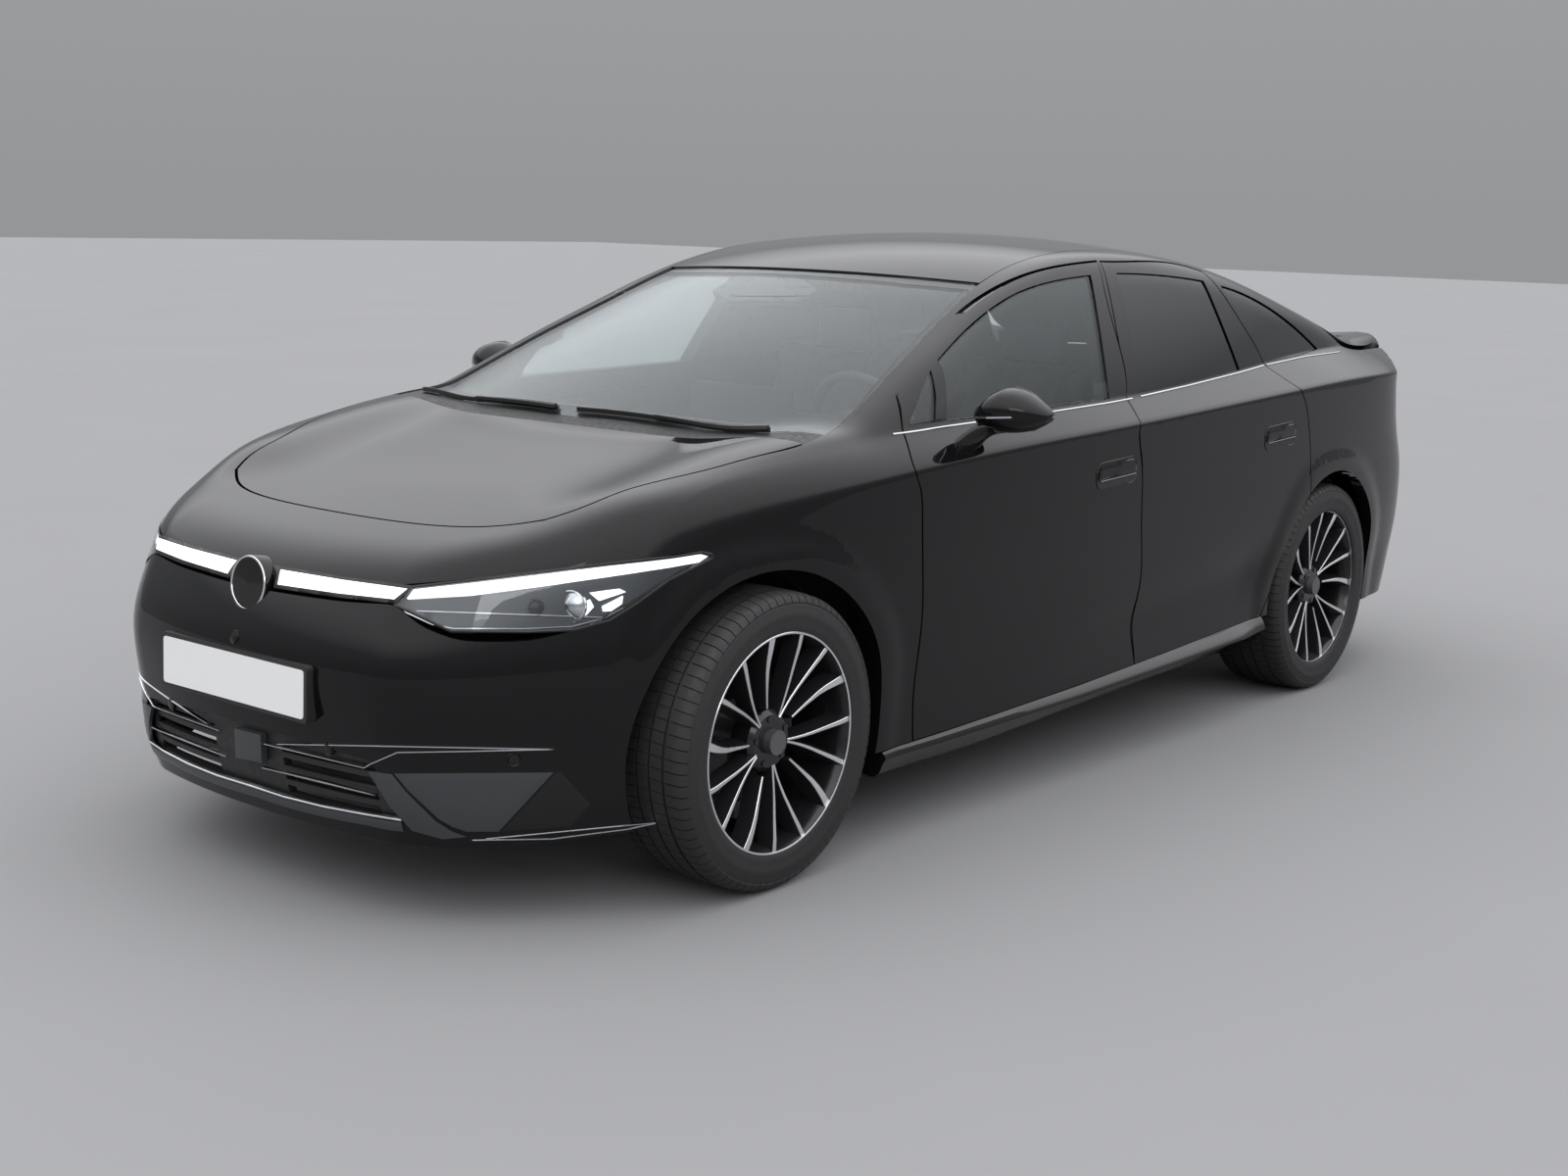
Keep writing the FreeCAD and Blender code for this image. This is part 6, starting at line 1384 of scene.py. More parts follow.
    @staticmethod
    def spread(outline: Pairs, step: float) -> list[tuple[float, float]]:
        """Return an outline with points at most a step apart."""
        points: list[tuple[float, float]] = []
        for a, b in zip(outline, list(outline[1:]) + [outline[0]]):
            count = max(1, math.ceil(math.dist(a, b) / step))
            points += [(a[0] + (b[0] - a[0]) * i / count, a[1] + (b[1] - a[1]) * i / count)
                       for i in range(count)]
        return points

    def badge_disc(self, bench: Bench) -> None:
        """Make the blank round badge on its barrel, in a dark dish."""
        lean = math.radians(8)
        ahead = np.array([0, -math.cos(lean), math.sin(lean)])
        up = np.array([0, math.sin(lean), math.cos(lean)])
        side = np.array([1.0, 0, 0])
        centre = np.array([0, 0.052 - bench.form.size.length / 2, 0.724])
        turn = np.linspace(0, 2 * math.pi, 64, endpoint=False)
        around = np.outer(np.cos(turn), side) + np.outer(np.sin(turn), up)

        def turned(profile: Pairs) -> Shape:
            rings = [centre + ahead * a + around * r for a, r in profile]
            return Bench.woven(rings, True, True)

        r = self.badge
        bench.piece("badge_barrel", turned([(0.0, r), (-0.002, r + 0.001), (-0.075, r + 0.001),
                                            (-0.075, 0.001), (0.0, 0.001)]), PIANO, "car_body",
                    (), 35, True)
        bench.piece("badge_ring", turned([(0.0005, r), (0.0022, r - 0.001), (0.0022, r - 0.0042),
                                          (0.0005, r - 0.0052), (-0.001, r - 0.003)]),
                    MACHINED, "car_body", (), 40, True)
        bench.piece("badge_face", turned([(0.0016, 0.001), (0.0010, r - 0.0056),
                                          (-0.002, r - 0.0056), (-0.002, 0.001)]), PIANO,
                    "car_body", (), 40, True)

    def plate(self, bench: Bench) -> None:
        """Make the blank number plate in its holder."""
        lean = 0.0265
        front = 0.0005 - bench.form.size.length / 2

        def slab(half: float, rise: float, low: float, high: float, corner: float) -> Shape:
            outline = rounded(half, rise, corner, 5)
            return prism(outline, lambda u, v: (u, front + low + v * lean, 0.514 + v),
                         lambda u, v: (u, front + high + v * lean, 0.514 + v))

        bench.piece("plate_holder", slab(0.270, 0.0645, 0.001, 0.028, 0.010), GRAINED, "car_body",
                    (), 35, True)
        bench.piece("number_plate", slab(0.260, 0.055, -0.0012, 0.004, 0.008), PLATE, "car_body",
                    (), 35, True)

    def mouth(self, bench: Bench, lay: Callable[[np.ndarray], np.ndarray]) -> None:
        """Make the lower grille's bright edges, the splitter, inlays and sensors."""
        car, form = "car_body", bench.form
        for name, line, width, proud in (
                ("upper_bar_edge", [(270.0, 758.8), (372.0, 783.3), (378.5, 779.5),
                                    (405.7, 767.5), (480, 766.3), (565.5, 764.4)], 0.0035, 0.003),
                ("lower_bar_edge", [(268.0, 783.0), (330, 797.6), (384.2, 811.4)], 0.0035, 0.003),
                ("sill_line", [(482, 857.2), (563, 855.9), (640, 846), (674, 838.8)],
                 0.003, 0.002),
        ):
            path = self.view.hit(form, np.array(self.spread(line, 7.0)[:-1]))
            bench.pair(name, bench.strip(path, width, proud, 0.006), CHROME, car)
        edge = self.view.hit(form, np.array([(256.5, 801.5), (290, 812.5), (330, 822.5),
                                             (370, 830.0), (410, 836.5)]))
        edge = np.vstack([[0.0, edge[0][1], edge[0][2]], edge])
        edge = Sides.even(edge, 0.03)
        bench.pair("splitter_line", bench.strip(edge, 0.006, 0.004, 0.006), CHROME, car)
        band = edge - np.array([0, 0, 0.019])
        bench.pair("splitter_band", bench.strip(form.settle(band), 0.024, 0.0036, 0.008), SATIN,
                   car)
        bench.pair("corner_inlay", bench.patch(self.inlay, lay, 9, 0.0025, 0.006, 0.0012), SATIN,
                   car)
        bench.pair("corner_inlay_end", bench.patch(self.inlay_end, lay, 9, 0.0016, 0.006, 0.001),
                   PIANO, car)
        bench.pair("corner_blade", bench.patch(self.blade, lay, 9, 0.0035, 0.006, 0.0012), SATIN,
                   car)
        slab = prism(trapeze(0.62, 0.225, 0.62, 0.425),
                     lambda x, z: (x, 0.36 - form.size.length / 2, z),
                     lambda x, z: (x, 0.38 - form.size.length / 2, z))
        bench.piece("radiator_face", slab, GRAINED, car, (), 30, True)
        bench.piece("radar_cover", bench.patch([(241, 742.5), (267.5, 749.5), (269, 778),
                                                (242.5, 772.5)], lay, 6, 0.006, 0.012, 0.001),
                    SATIN, car)
        for name, spot in (("grille", (335.3, 764.4)), ("corner", (524.5, 774.9)),
                           ("bumper", (232.0, 648.2))):
            centre = self.view.hit(form, np.array([spot]))[0]
            ahead = form.outward(centre[None])[0]
            shape = revolved(centre, ahead, self.sensor_radius, 28, self.sensor)
            if name == "bumper":
                shape = (shape[0] - np.array([centre[0], 0, 0]), shape[1])
                bench.piece("parking_sensor_middle", shape, PIANO, car, (), 40, True)
            else:
                bench.pair(f"parking_sensor_{name}", shape, PIANO, car, (), 40, True)


@dataclass(frozen=True)
class Sides:
    """Mirrors, handles, belt lines and sill blades."""

    belts: tuple = (("front_door_{side}_body", ((1.402, 1.046), (1.480, 1.048), (1.610, 1.053),
                                                (1.773, 1.057), (2.053, 1.062), (2.430, 1.071),
                                                (2.560, 1.076))),
                    ("rear_door_{side}_body", ((2.612, 1.079), (2.917, 1.095), (3.311, 1.119),
                                               (3.492, 1.132))),
                    ("car_body", ((3.514, 1.133), (3.844, 1.148), (4.130, 1.152))))

    def build(self, bench: Bench) -> None:
        """Make the sides' pieces."""
        form = bench.form
        for i, (body, line) in enumerate(self.belts):
            path = form.on_side(self.even(line, 0.05))
            bench.pair(f"belt_line_{i}", bench.strip(path, 0.0055, 0.0026, 0.004), CHROME, body)
        for pocket in HANDLES:
            self.handle(bench, pocket)
        self.mirror(bench)
        self.blade(bench)

    @staticmethod
    def even(line: Pairs, step: float) -> np.ndarray:
        """Return a line's points at even steps."""
        rows = np.array(line)
        run = np.concatenate([[0], np.cumsum(np.linalg.norm(np.diff(rows, axis=0), axis=1))])
        at = np.linspace(0, run[-1], max(2, math.ceil(run[-1] / step)))
        return np.stack([np.interp(at, run, rows[:, k]) for k in range(rows.shape[1])], axis=1)

    @staticmethod
    def handle(bench: Bench, pocket: HandlePocket) -> None:
        """Make a handle: a flat dark patch of painted shade for its recess, the flush grip over
        its upper part and a bright line.
        """
        form, body = bench.form, pocket.door + "_{side}_body"
        # a flat matte-black patch laid on the skin stands for the pocket's hollow: painted shade,
        # not a real recess
        bench.pair(pocket.door + "_handle_recess",
                   bench.patch(pocket.outline(0.0), form.on_side, 0.012, 0.0007, 0.004), GRAINED,
                   body)
        bench.pair(pocket.door + "_handle_rim",
                   bench.strip(form.on_side(np.array(pocket.outline(0.0015))), 0.004, 0.0022,
                               0.002, True), PIANO, body)
        grip = bench.patch(pocket.outline(-0.004, -0.25, 1.0), form.on_side, 0.010, 0.0062,
                           0.001, 0.0022)
        bench.pair(pocket.door + "_handle_grip", grip, PAINT, body)
        line = [(pocket.station + a, pocket.level - 0.0115 + pocket.slope * a)
                for a in np.linspace(-0.098, 0.098, 15)]
        bench.pair(pocket.door + "_handle_line",
                   bench.strip(form.on_side(np.array(line)), 0.0035, 0.0068, 0.001), CHROME, body)

    @staticmethod
    def mirror(bench: Bench) -> None:
        """Make a door mirror: its housing, glass, arm and light line."""
        middle = bench.form.size.length / 2
        body = "front_door_{side}_body"
        share = np.array([-0.02, 0.0, 0.03, 0.08, 0.16, 0.28, 0.42, 0.56, 0.70, 0.82, 0.91, 0.965,
                          0.99, 1.0])
        pinch = np.array([0.30, 0.62, 0.80, 0.92, 0.98, 1, 1, 1, 1, 0.97, 0.90, 0.76, 0.55, 0.30])
        at, nose = (0, 0.35, 0.65, 1), (1.640, 1.625, 1.650, 1.715)
        top = np.interp(share, at, (1.115, 1.165, 1.150, 1.105))
        low = np.interp(share, at, (1.050, 1.038, 1.045, 1.075))
        front = np.interp(share, at, nose)
        turn = np.linspace(-math.pi / 2, math.pi / 2, 17)
        rings, glass = [], []
        for t, p, a, b, f in zip(share, pinch, top, low, front):
            mid, half, deep = (a + b) / 2, (a - b) / 2 * p, (1.752 - f) * (0.4 + 0.6 * p)
            x = 0.885 + 0.185 * t
            bow = np.sign(np.sin(turn)) * np.abs(np.sin(turn)) ** 0.9
            outer = [(x, 1.752 - deep * c ** 0.75 - middle, mid + half * v)
                     for c, v in zip(np.maximum(np.cos(turn), 0.0), bow)]
            outer += [(x, y - middle, mid + half * v) for y, v in (
                (1.757, 0.93), (1.748, 0.86), (1.748, -0.86), (1.757, -0.93))]
            rings.append(np.array(outer))
            if 0.02 < t < 0.97:
                glass.append(np.array([(x, 1.7525 - middle, mid - half * 0.84),
                                       (x, 1.7525 - middle, mid + half * 0.84)]))
        bench.pair("mirror_housing", capped(rings), PAINT, body, ["mirror_{side}"], 42, True)
        pane = [np.vstack([g, g[::-1] - np.array([0, 0.004, 0])]) for g in glass]
        bench.pair("mirror_glass", capped(pane), MIRROR, body, (), 30, True)
        light = [(0.890 + 0.170 * t, float(np.interp(t, at, nose)) - middle, 1.081 + 0.012 * t)
                 for t in np.linspace(0.05, 0.93, 16)]
        line = []
        for dz, dy in ((-0.0022, 0.004), (-0.0022, -0.0012), (0.0022, -0.0012), (0.0022, 0.004)):
            line.append(np.array([(x, y + dy, z + dz) for x, y, z in light]))
        bench.pair("mirror_light_line", Bench.woven(line, True, False), CHROME, body, (), 30,
                   True)
        foot = bench.form.on_side(np.array([[1.655, 1.010]]))[0]
        rows = []
        for t in np.linspace(0, 1, 9):
            centre = foot + (np.array([0.955, 1.695 - middle, 1.062]) - foot) * t
            centre[2] += 0.016 * math.sin(math.pi * t) - 0.004
            centre[0] -= 0.012 * (1 - t)
            wide, tall = 0.058 - 0.022 * math.sin(math.pi * t * 0.8), 0.030 - 0.013 * t
            rows.append(oval(centre, (0.15 * tall, wide, 0.0), (0.0, 0.0, tall),
                             np.linspace(0, 2 * math.pi, 20, endpoint=False)))
        bench.pair("mirror_arm", capped(rows), PIANO, body, (), 50, True)

    @staticmethod
    def blade(bench: Bench) -> None:
        """Make the sill blade, which stands out further towards the rear wheel."""
        form, middle = bench.form, bench.form.size.length / 2
        rows = []
        for t in np.linspace(0, 1, 36):
            s = 1.305 + 2.095 * t
            z = float(np.interp(s, [1.297, 1.568, 2.249, 2.832, 3.394],
                                [0.254, 0.256, 0.270, 0.292, 0.316]))
            low = float(np.interp(s, [1.302, 1.756, 2.537, 3.415], [0.184, 0.183, 0.211, 0.227]))
            x = float(form.on_side(np.array([[s, z]]))[0][0])
            out = 0.010 + 0.034 * t ** 1.3 * min(1.0, (1.02 - t) / 0.10)
            drop = 0.010 + 0.020 * t
            section = [(-0.030, z + 0.003), (-0.004, z + 0.002), (0.002, z - 0.003),
                       (out * 0.7, z - drop * 0.62), (out, z - drop - 0.004),
                       (out + 0.001, z - drop - 0.009), (out - 0.004, z - drop - 0.013),
                       (out * 0.3 - 0.012, low + 0.012), (-0.024, low + 0.002),
                       (-0.040, low), (-0.075, low + 0.006), (-0.075, z - 0.005)]
            rows.append(np.array([(x + dx, s - middle, h) for dx, h in section]))
        bench.pair("sill_blade", capped(rows), PIANO, "car_body", ["side_skirts"], 28, True)


@dataclass(frozen=True)
class Roofline:
    """The windscreen's black edge, the sensor housing, the inner mirror and the aerial."""

    view: PhotoView

    @staticmethod
    def wipers(bench: Bench) -> None:
        """Make the two parked wipers, each a blade and its arm."""
        size, share = bench.form.size, np.linspace(0.0, 1.0, 29)[:, None]
        for side, foot, tip in (("left", (0.66, 0.2345), (-0.02, 0.2275)),
                                ("right", (-0.10, 0.2275), (-0.74, 0.2375))):
            scale = np.array([size.half, size.length])
            line = (np.array(foot) * (1 - share) + np.array(tip) * share) * scale
            bench.piece("wiper_blade_" + side, bench.strip(
                bench.form.on_top(line), 0.007, 0.010, 0.003), GRAINED, "car_body")
            bench.piece("wiper_arm_" + side, bench.strip(
                bench.form.on_top(line[:17] - np.array([0.0, 0.006])),
                np.linspace(0.016, 0.007, 17), 0.016, -0.008), GRAINED, "car_body")

    def build(self, bench: Bench) -> None:
        """Make the pieces round the windscreen and on the roof."""
        self.wipers(bench)
        form, car = bench.form, "car_body"
        foot = both([(0.0, 1.115), (0.20, 1.122), (0.40, 1.147), (0.60, 1.195), (0.735, 1.250)])
        head = both([(0.0, 2.014), (0.20, 2.022), (0.40, 2.047), (0.575, 2.090)])
        for name, line, width in (("foot", foot, 0.085), ("head", head, 0.050)):
            path = form.on_top(Sides.even(line, 0.03))
            bench.piece("screen_band_" + name, bench.strip(path, width, -0.0095, 0.0125), GRAINED,
                        car)
        side = [(0.750, 1.262), (0.700, 1.50), (0.640, 1.78), (0.588, 2.075)]
        path = form.on_top(Sides.even(side, 0.03))
        bench.pair("screen_band_side", bench.strip(path, 0.040, -0.0095, 0.0125), GRAINED, car)
        lay = self.view.lay(form)
        cover = [(726, 293), (752, 278), (812, 278), (834, 293), (818, 304), (742, 304)]
        bench.piece("sensor_housing", bench.patch(cover, lay, 8, -0.010, 0.030), GRAINED, car)
        window = [(748, 299), (770, 282), (792, 282), (812, 299)]
        bench.piece("sensor_window", bench.patch(window, lay, 8, -0.0085, 0.0115), SATIN, car)
        top = form.on_top(np.array([[0.0, 2.16]]))[0]
        centre = top + np.array([0, 0.035, -0.115])
        rings = []
        for t in np.linspace(-1, 1, 15):
            pinch = math.sqrt(max(1 - t ** 6, 0.02))
            rings.append(oval(centre + np.array([0.118 * t, 0.0, 0.0]), (0.0, 0.0, 0.032 * pinch),
                              (0.0, 0.016 * pinch, 0.0),
                              np.linspace(0, 2 * math.pi, 20, endpoint=False)))
        bench.piece("inner_mirror", capped(rings), GRAINED, car, (), 50, True)
        stem = [oval(centre + np.array([0.0, -0.012 - 0.03 * t, 0.02 + 0.09 * t]),
                     (0.010, 0.0, 0.0), (0.0, 0.010, 0.0),
                     np.linspace(0, 2 * math.pi, 12, endpoint=False))
                for t in np.linspace(0, 1, 4)]
        bench.piece("inner_mirror_stem", Bench.woven(stem, False, True), GRAINED, car, (), 40,
                    True)
        fin = []
        for u in np.linspace(0, math.pi, 13):
            spot = form.on_top(np.array([[0.0, 3.30 - 0.045 * math.cos(u)]]))[0]
            swell = math.sqrt(max(math.sin(u), 0.03))
            fin.append(oval(spot - np.array([0.0, 0.0, 0.004]), (0.017 * swell, 0.0, 0.0),
                            (0.0, 0.0, 0.024 * swell), np.linspace(-0.3, math.pi + 0.3, 13)))
        bench.piece("aerial", capped(fin), PAINT, car, (), 60, True)


@dataclass(frozen=True)
class Tail:
    """The tail's lamps, light bar, blank plate field and lower trim."""

    def build(self, bench: Bench) -> None:
        """Make the tail's pieces."""
        form, gate, car = bench.form, "tailgate_body", "car_body"
        Skins(bench).panel("tail_lamps", RED_SHELL, 0.0, None, GRAINED)
        bar = [(x, 0.985 + 0.012 * abs(x)) for x in np.linspace(-0.60, 0.60, 31)]
        path = form.on_rear(np.array(bar))
        bench.piece("tail_light_bar", bench.strip(path, 0.024, 0.0022, 0.006), RED_LENS, gate)
        bench.piece("tail_light_guide", bench.strip(path, 0.012, 0.0032, 0.004), RED_LIGHT, gate)
        field = trapeze(0.30, 0.770, 0.275, 0.905)
        bench.piece("tail_plate_field", bench.patch(field, form.on_rear, 0.04, 0.0012, 0.006,
                                                    0.001), GRAINED, gate)
        plate = trapeze(0.26, 0.782, 0.26, 0.892)
        bench.piece("tail_number_plate", bench.patch(plate, form.on_rear, 0.04, 0.0050, 0.001,
                                                     0.0006), PLATE, gate)
        low = trapeze(0.62, 0.315, 0.70, 0.430)
        bench.piece("tail_lower_trim", bench.patch(low, form.on_rear, 0.04, 0.0025, 0.006,
                                                   0.0015), GRAINED, car)
        line = [(x, 0.445) for x in np.linspace(-0.72, 0.72, 31)]
        bench.piece("tail_lower_line", bench.strip(form.on_rear(np.array(line)), 0.007, 0.003,
                                                   0.004), CHROME, car)
        guide = [(x, 0.985 + 0.012 * x) for x in np.linspace(0.655, 0.79, 9)]
        bench.pair("tail_lamp_guide", bench.strip(form.on_rear(np.array(guide)), 0.012, 0.0024,
                                                  0.006), RED_LIGHT, car)


@dataclass(frozen=True)
class Cushion:
    """A stuffed pad: its side view, its reach in x, its sewn channels and its bolsters."""

    pressure, frames, growth = 4.0, 20, 0.020
    inset, sewn_depth, sewn_width = 0.006, 0.006, 0.022
    name: str
    side: Pairs
    low: float
    high: float
    channels: tuple[float, ...] = ()
    bolster: float = 0.0
    voxel: float = 0.011

    def build(self, bench: Bench, stands_for: Sequence[str], twin: bool) -> None:
        """Make the pad, and its mirror image if it has a twin."""
        middle, inset = bench.form.size.length / 2, self.inset
        cx = sum(p[0] for p in self.side) / len(self.side)
        cz = sum(p[1] for p in self.side) / len(self.side)
        outline = []
        for s, z in self.side:
            reach = math.hypot(s - cx, z - cz)
            outline.append((s + (cx - s) * inset / reach, z + (cz - z) * inset / reach))
        shape = prism(outline, lambda s, z: (self.low + inset, s - middle, z),
                      lambda s, z: (self.high - inset, s - middle, z))
        mesh = bpy.data.meshes.new(self.name)
        mesh.from_pydata([tuple(v) for v in shape[0]], [], [tuple(f) for f in shape[1]])
        work = bmesh.new()
        work.from_mesh(mesh)
        bmesh.ops.recalc_face_normals(work, faces=work.faces)
        bmesh.ops.bevel(work, geom=list(work.edges), offset=0.022, segments=3, profile=0.6,
                        affect="EDGES", clamp_overlap=True)
        work.to_mesh(mesh)
        work.free()
        mesh = self.applied(mesh, "REMESH", {"mode": "VOXEL", "voxel_size": self.voxel})
        before = self.places(mesh)
        move = self.simulated(mesh) - before
        far = np.maximum(np.linalg.norm(move, axis=1), 1e-9)
        before = before + move * np.minimum(1.0, self.growth / far)[:, None]
        across = (before[:, 0] - (self.low + self.high) / 2) / ((self.high - self.low) / 2)
        normals = np.zeros(len(mesh.vertices) * 3)
        mesh.vertices.foreach_get("normal", normals)
        normals = normals.reshape(-1, 3)
        facing = np.clip(normals[:, 2] * 0.8 - normals[:, 1] * 0.9, 0.0, 1.0) ** 2
        lift = self.bolster * ease((np.abs(across) - 0.55) / 0.25) * ease(
            (1.02 - np.abs(across)) / 0.2)
        for channel in self.channels:
            lift = lift - self.sewn_depth * np.exp(
                -((across - channel) / self.sewn_width) ** 2)
        before = before + normals * (facing * lift)[:, None]
        mesh.vertices.foreach_set("co", before.ravel())
        mesh = self.applied(mesh, "SUBSURF", {"levels": 1, "render_levels": 1})
        copies = [(mesh, self.name)]
        if twin:
            other = mesh.copy()
            other.transform(Matrix.Scale(-1.0, 4, (1, 0, 0)))
            other.flip_normals()
            copies = [(mesh, self.name + "_left"), (other, self.name + "_right")]
        for made, label in copies:
            pad = bench.finish(label, made, LEATHER, "car_body", stands_for, 60)
            stands_for = ()

    @staticmethod
    def places(mesh: bpy.types.Mesh) -> np.ndarray:
        """Return a mesh's vertices."""
        verts = np.zeros(len(mesh.vertices) * 3)
        mesh.vertices.foreach_get("co", verts)
        return verts.reshape(-1, 3)

    @staticmethod
    def applied(mesh: bpy.types.Mesh, kind: str, settings: dict) -> bpy.types.Mesh:
        """Return a mesh with a modifier applied to it."""
        holder = bpy.data.objects.new("pad", mesh)
        bpy.context.scene.collection.objects.link(holder)
        modifier = holder.modifiers.new("step", kind)
        for key, value in settings.items():
            setattr(modifier, key, value)
        graph = bpy.context.evaluated_depsgraph_get()
        made = bpy.data.meshes.new_from_object(holder.evaluated_get(graph))
        bpy.data.objects.remove(holder)
        bpy.data.meshes.remove(mesh)
        return made

    def simulated(self, mesh: bpy.types.Mesh) -> np.ndarray:
        """Return where a cover's points go when the pad is filled."""
        holder = bpy.data.objects.new("pad", mesh)
        bpy.context.scene.collection.objects.link(holder)
        cover = holder.modifiers.new("cover", "CLOTH")
        cover.settings.use_pressure = True
        cover.settings.uniform_pressure_force = self.pressure
        cover.settings.effector_weights.gravity = 0.0
        cover.point_cache.frame_start, cover.point_cache.frame_end = 1, self.frames
        for number in range(1, self.frames + 1):
            bpy.context.scene.frame_set(number)
        graph = bpy.context.evaluated_depsgraph_get()
        made = bpy.data.meshes.new_from_object(holder.evaluated_get(graph))
        after = self.places(made)
        bpy.data.objects.remove(holder)
        bpy.data.meshes.remove(made)
        bpy.context.scene.frame_set(1)
        return after


@dataclass(frozen=True)
class Cabin:
    """The seats, displays, vents and bright lines inside."""

    def build(self, bench: Bench) -> None:
        """Make the cabin's pieces."""
        flutes = (-0.55, -0.28, 0.0, 0.28, 0.55)
        Cushion("front_seat_base", ((2.150, 0.455), (2.600, 0.455), (2.565, 0.568),
                                    (2.168, 0.594)), 0.114, 0.630, flutes[::4] + (0.0,), 0.016
                ).build(bench, ["front_seats"], True)
        Cushion("front_seat_back", ((2.580, 0.530), (2.640, 0.485), (2.720, 0.700),
                                    (2.842, 1.014), (2.796, 1.162), (2.714, 1.162),
                                    (2.636, 0.890), (2.560, 0.600)), 0.114, 0.630, flutes, 0.018
                ).build(bench, (), True)
        Cushion("front_head_rest", ((2.727, 1.145), (2.803, 1.145), (2.796, 1.278),
                                    (2.735, 1.278)), 0.257, 0.487, (), 0.0
                ).build(bench, (), True)
        wide = (-0.36, -0.33, 0.33, 0.36, -0.68, 0.68)
        Cushion("rear_seat_base", ((3.006, 0.376), (3.290, 0.376), (3.262, 0.548),
                                   (3.006, 0.562)), -0.640, 0.640, wide, 0.008, 0.013
                ).build(bench, ["rear_seat"], False)
        Cushion("rear_seat_back", ((3.285, 0.500), (3.372, 0.440), (3.376, 0.646),
                                   (3.490, 1.008), (3.406, 1.008), (3.272, 0.600)),
                -0.640, 0.640, wide, 0.010, 0.013).build(bench, (), False)
        self.displays(bench)
        self.vents(bench)

    @staticmethod
    def displays(bench: Bench) -> None:
        """Make the middle display and the one behind the wheel."""
        middle = bench.form.size.length / 2
        for name, x, z, half, rise, s in (("middle", 0.0, 1.005, 0.190, 0.088, 1.790),
                                          ("driver", 0.372, 1.000, 0.110, 0.040, 1.700)):
            outline = rounded(half, rise, 0.012, 3)
            for part, grow, near, far, finish in (("case", 1.0, 0.0, -0.014, GRAINED),
                                                  ("glass", 0.975, 0.0012, -0.002, PIANO)):
                shape = prism(outline,
                              lambda u, v: (x + u * grow, s - 0.10 * v - middle + near,
                                            z + v * grow),
                              lambda u, v: (x + u * grow, s - 0.10 * v - middle + far,
                                            z + v * grow))
                bench.piece(f"{name}_display_{part}", shape, finish, "car_body", (), 30, True)

    @staticmethod
    def vents(bench: Bench) -> None:
        """Make the rows of vent slats and the bright line across the dashboard."""
        middle = bench.form.size.length / 2
        tree = Copies.row(GRAINED.material())
        for name, low, high in (("left", 0.30, 0.68), ("middle", -0.16, 0.16),
                                ("right", -0.68, -0.30)):
            outline = [(1.765, 0.866), (1.789, 0.862), (1.790, 0.864), (1.766, 0.869)]
            slat = prism(outline, lambda s, z: (low, s - middle, z),
                         lambda s, z: (high, s - middle, z))
            shape = Copies.run(slat, tree, {"Count": 6, "Offset": (0.0, -0.0012, 0.0095)})
            bench.piece("vent_slats_" + name, shape, GRAINED, "car_body", (), 30, True)
        line = prism([(1.770, 0.936), (1.7765, 0.935), (1.7768, 0.940), (1.770, 0.941)],
                     lambda s, z: (-0.70, s - middle, z), lambda s, z: (0.70, s - middle, z))
        bench.piece("dashboard_line", line, CHROME, "car_body", (), 30, True)


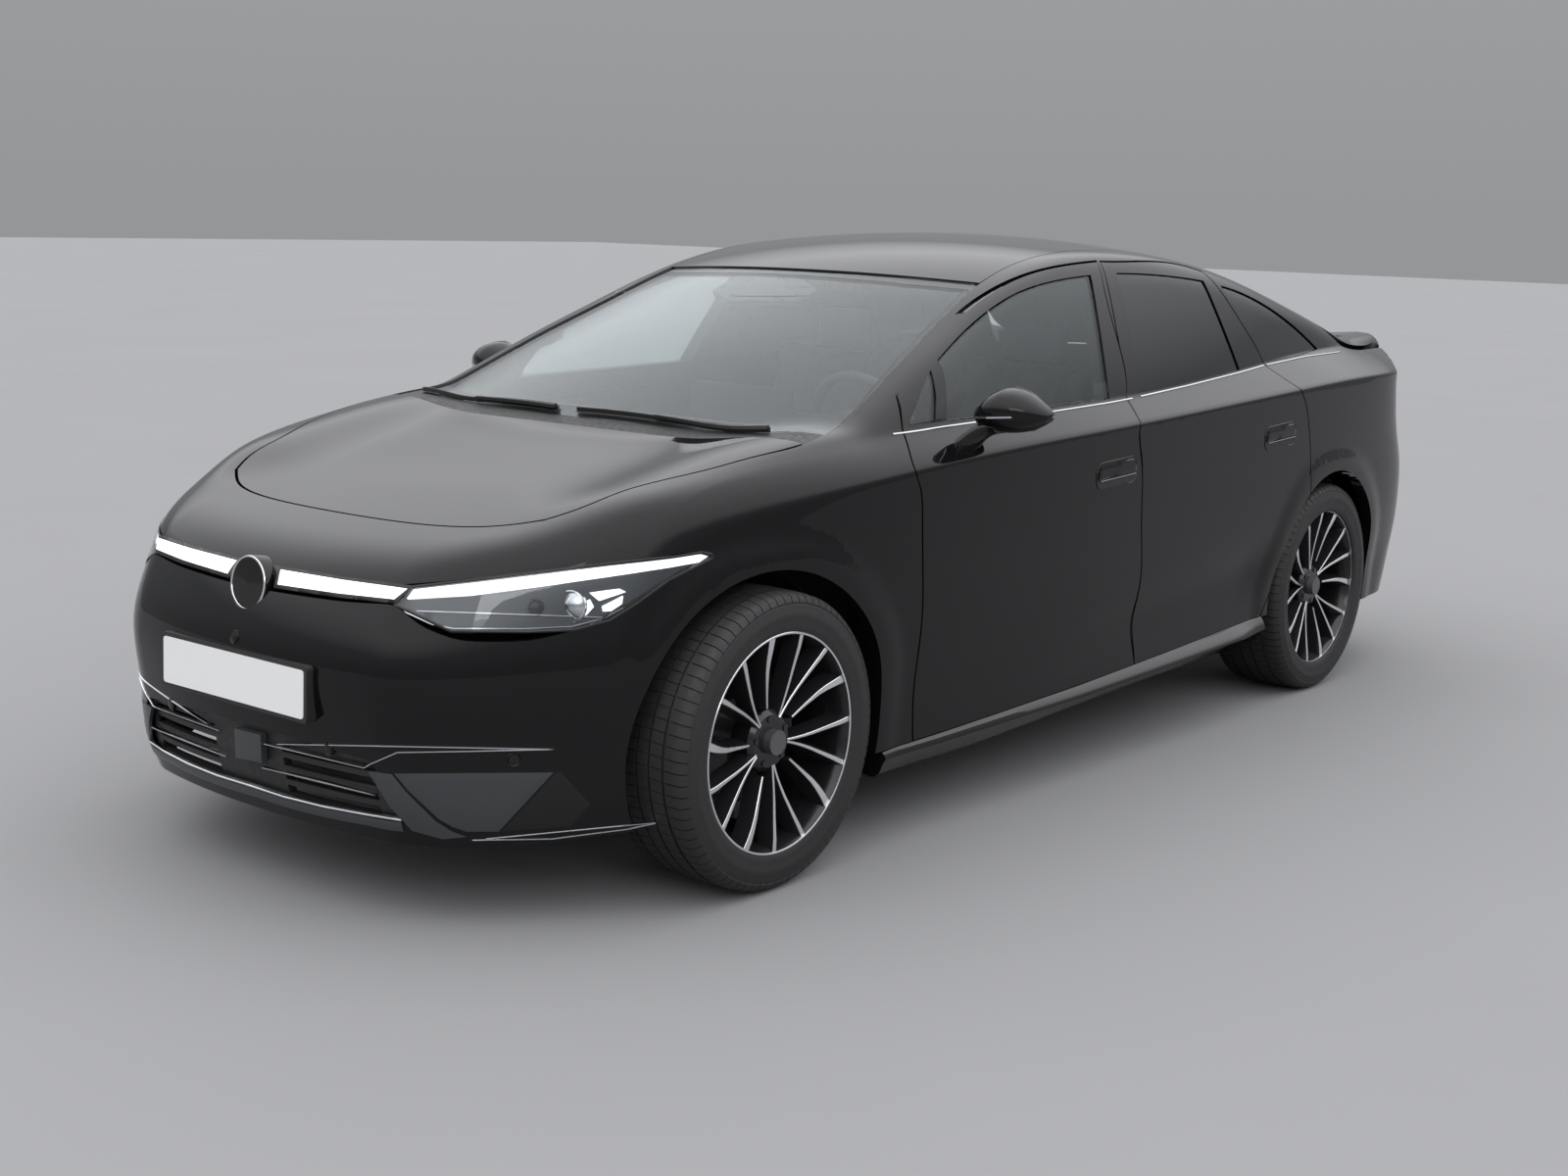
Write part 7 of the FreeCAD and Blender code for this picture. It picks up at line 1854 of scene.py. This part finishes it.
class Studio:
    """A plain pale floor under a soft bright ceiling."""

    def build(self) -> None:
        """Make the floor, the lamp and the world."""
        self.floor()
        self.lamp("front_soft_box", (7.5, -6.5, 4.8), (0.0, -0.6, 0.8), (4.0, 2.0), 60.0)
        self.world()
        bpy.context.scene.view_settings.view_transform = "Standard"

    @staticmethod
    def lamp(name: str, place: tuple[float, float, float], aim: tuple[float, float, float],
             size: tuple[float, float], power: float) -> None:
        """Make a soft box that faces a point."""
        data = bpy.data.lights.new(name, "AREA")
        data.shape, data.size, data.size_y, data.energy = "RECTANGLE", *size, power
        lamp = bpy.data.objects.new(name, data)
        lamp.location = place
        lamp.rotation_mode = "QUATERNION"
        lamp.rotation_quaternion = (Vector(aim) - Vector(place)).to_track_quat("-Z", "Y")
        bpy.context.scene.collection.objects.link(lamp)

    @staticmethod
    def floor() -> None:
        """Make the floor."""
        graph = Graph("pale_floor")
        colour = graph.tone(graph.noise(0.6, 3.0), (0.245, 0.245, 0.25), (0.265, 0.265, 0.27))
        graph.surface(graph.add("ShaderNodeBsdfPrincipled", {}, {
            "Base Color": colour, "Roughness": 0.9, "Specular IOR Level": 0.2}, "BSDF"))
        mesh = bpy.data.meshes.new("floor")
        reach = 60.0
        mesh.from_pydata([(-reach, -reach, 0), (reach, -reach, 0), (reach, reach, 0),
                          (-reach, reach, 0)], [], [(0, 1, 2, 3)])
        mesh.materials.append(graph.material)
        floor = bpy.data.objects.new("floor", mesh)
        bpy.context.scene.collection.objects.link(floor)

    @staticmethod
    def world() -> None:
        """Make a plain grey wall that ends in a soft bright ceiling."""
        world = bpy.data.worlds.new("studio")
        world.use_nodes = True
        bpy.context.scene.world = world
        tree = world.node_tree
        tree.nodes.clear()
        place = tree.nodes.new("ShaderNodeTexCoord")
        split = tree.nodes.new("ShaderNodeSeparateXYZ")
        ramp = tree.nodes.new("ShaderNodeValToRGB")
        stops = ((0.0, (0.30, 0.305, 0.315)), (0.10, (0.33, 0.335, 0.345)),
                 (0.26, (0.50, 0.51, 0.53)), (0.40, (1.50, 1.51, 1.55)),
                 (0.80, (2.00, 2.01, 2.06)))
        for i, (at, tone) in enumerate(stops):
            stop = ramp.color_ramp.elements[i] if i < 2 else ramp.color_ramp.elements.new(at)
            stop.position, stop.color = at, (*tone, 1.0)
        shade = tree.nodes.new("ShaderNodeBackground")
        out = tree.nodes.new("ShaderNodeOutputWorld")
        tree.links.new(place.outputs["Generated"], split.inputs[0])
        tree.links.new(split.outputs["Z"], ramp.inputs[0])
        tree.links.new(ramp.outputs[0], shade.inputs["Color"])
        tree.links.new(shade.outputs[0], out.inputs["Surface"])


def dress_the_rest(bench: Bench) -> None:
    """Give every CAD node that is still shown its finish."""
    by_slot = {finish.slot: finish for finish in (
        PIANO, GRAINED, CLEAR, PRIVACY, LENS, RED_LENS, MACHINED, RUBBER, CAST, PRIMER, CASING,
        FELT, CABIN, LEATHER, PAINT)}
    slots = {part["node"]: part["material_slot"] for part in frame["record"]["subparts"]}
    for node, shown in frame["nodes"].items():
        if node in bench.taken:
            continue
        finish = by_slot[slots[node]]
        shown.data.materials.clear()
        shown.data.materials.append(finish.material())
        log.info("%s keeps its shape", node)


def main() -> None:
    """Build the car's looks in order."""
    logging.basicConfig(level=logging.INFO, format="%(message)s")
    size = CarSize()
    form = Form(size)
    view = PhotoView()
    view.camera()
    Studio().build()
    bench = Bench(form)
    Skins(bench).build()
    Wheel().build(bench)
    FrontEnd(view).build(bench)
    Sides().build(bench)
    Roofline(view).build(bench)
    Tail().build(bench)
    Cabin().build(bench)
    dress_the_rest(bench)


if __name__ == "__main__":
    main()
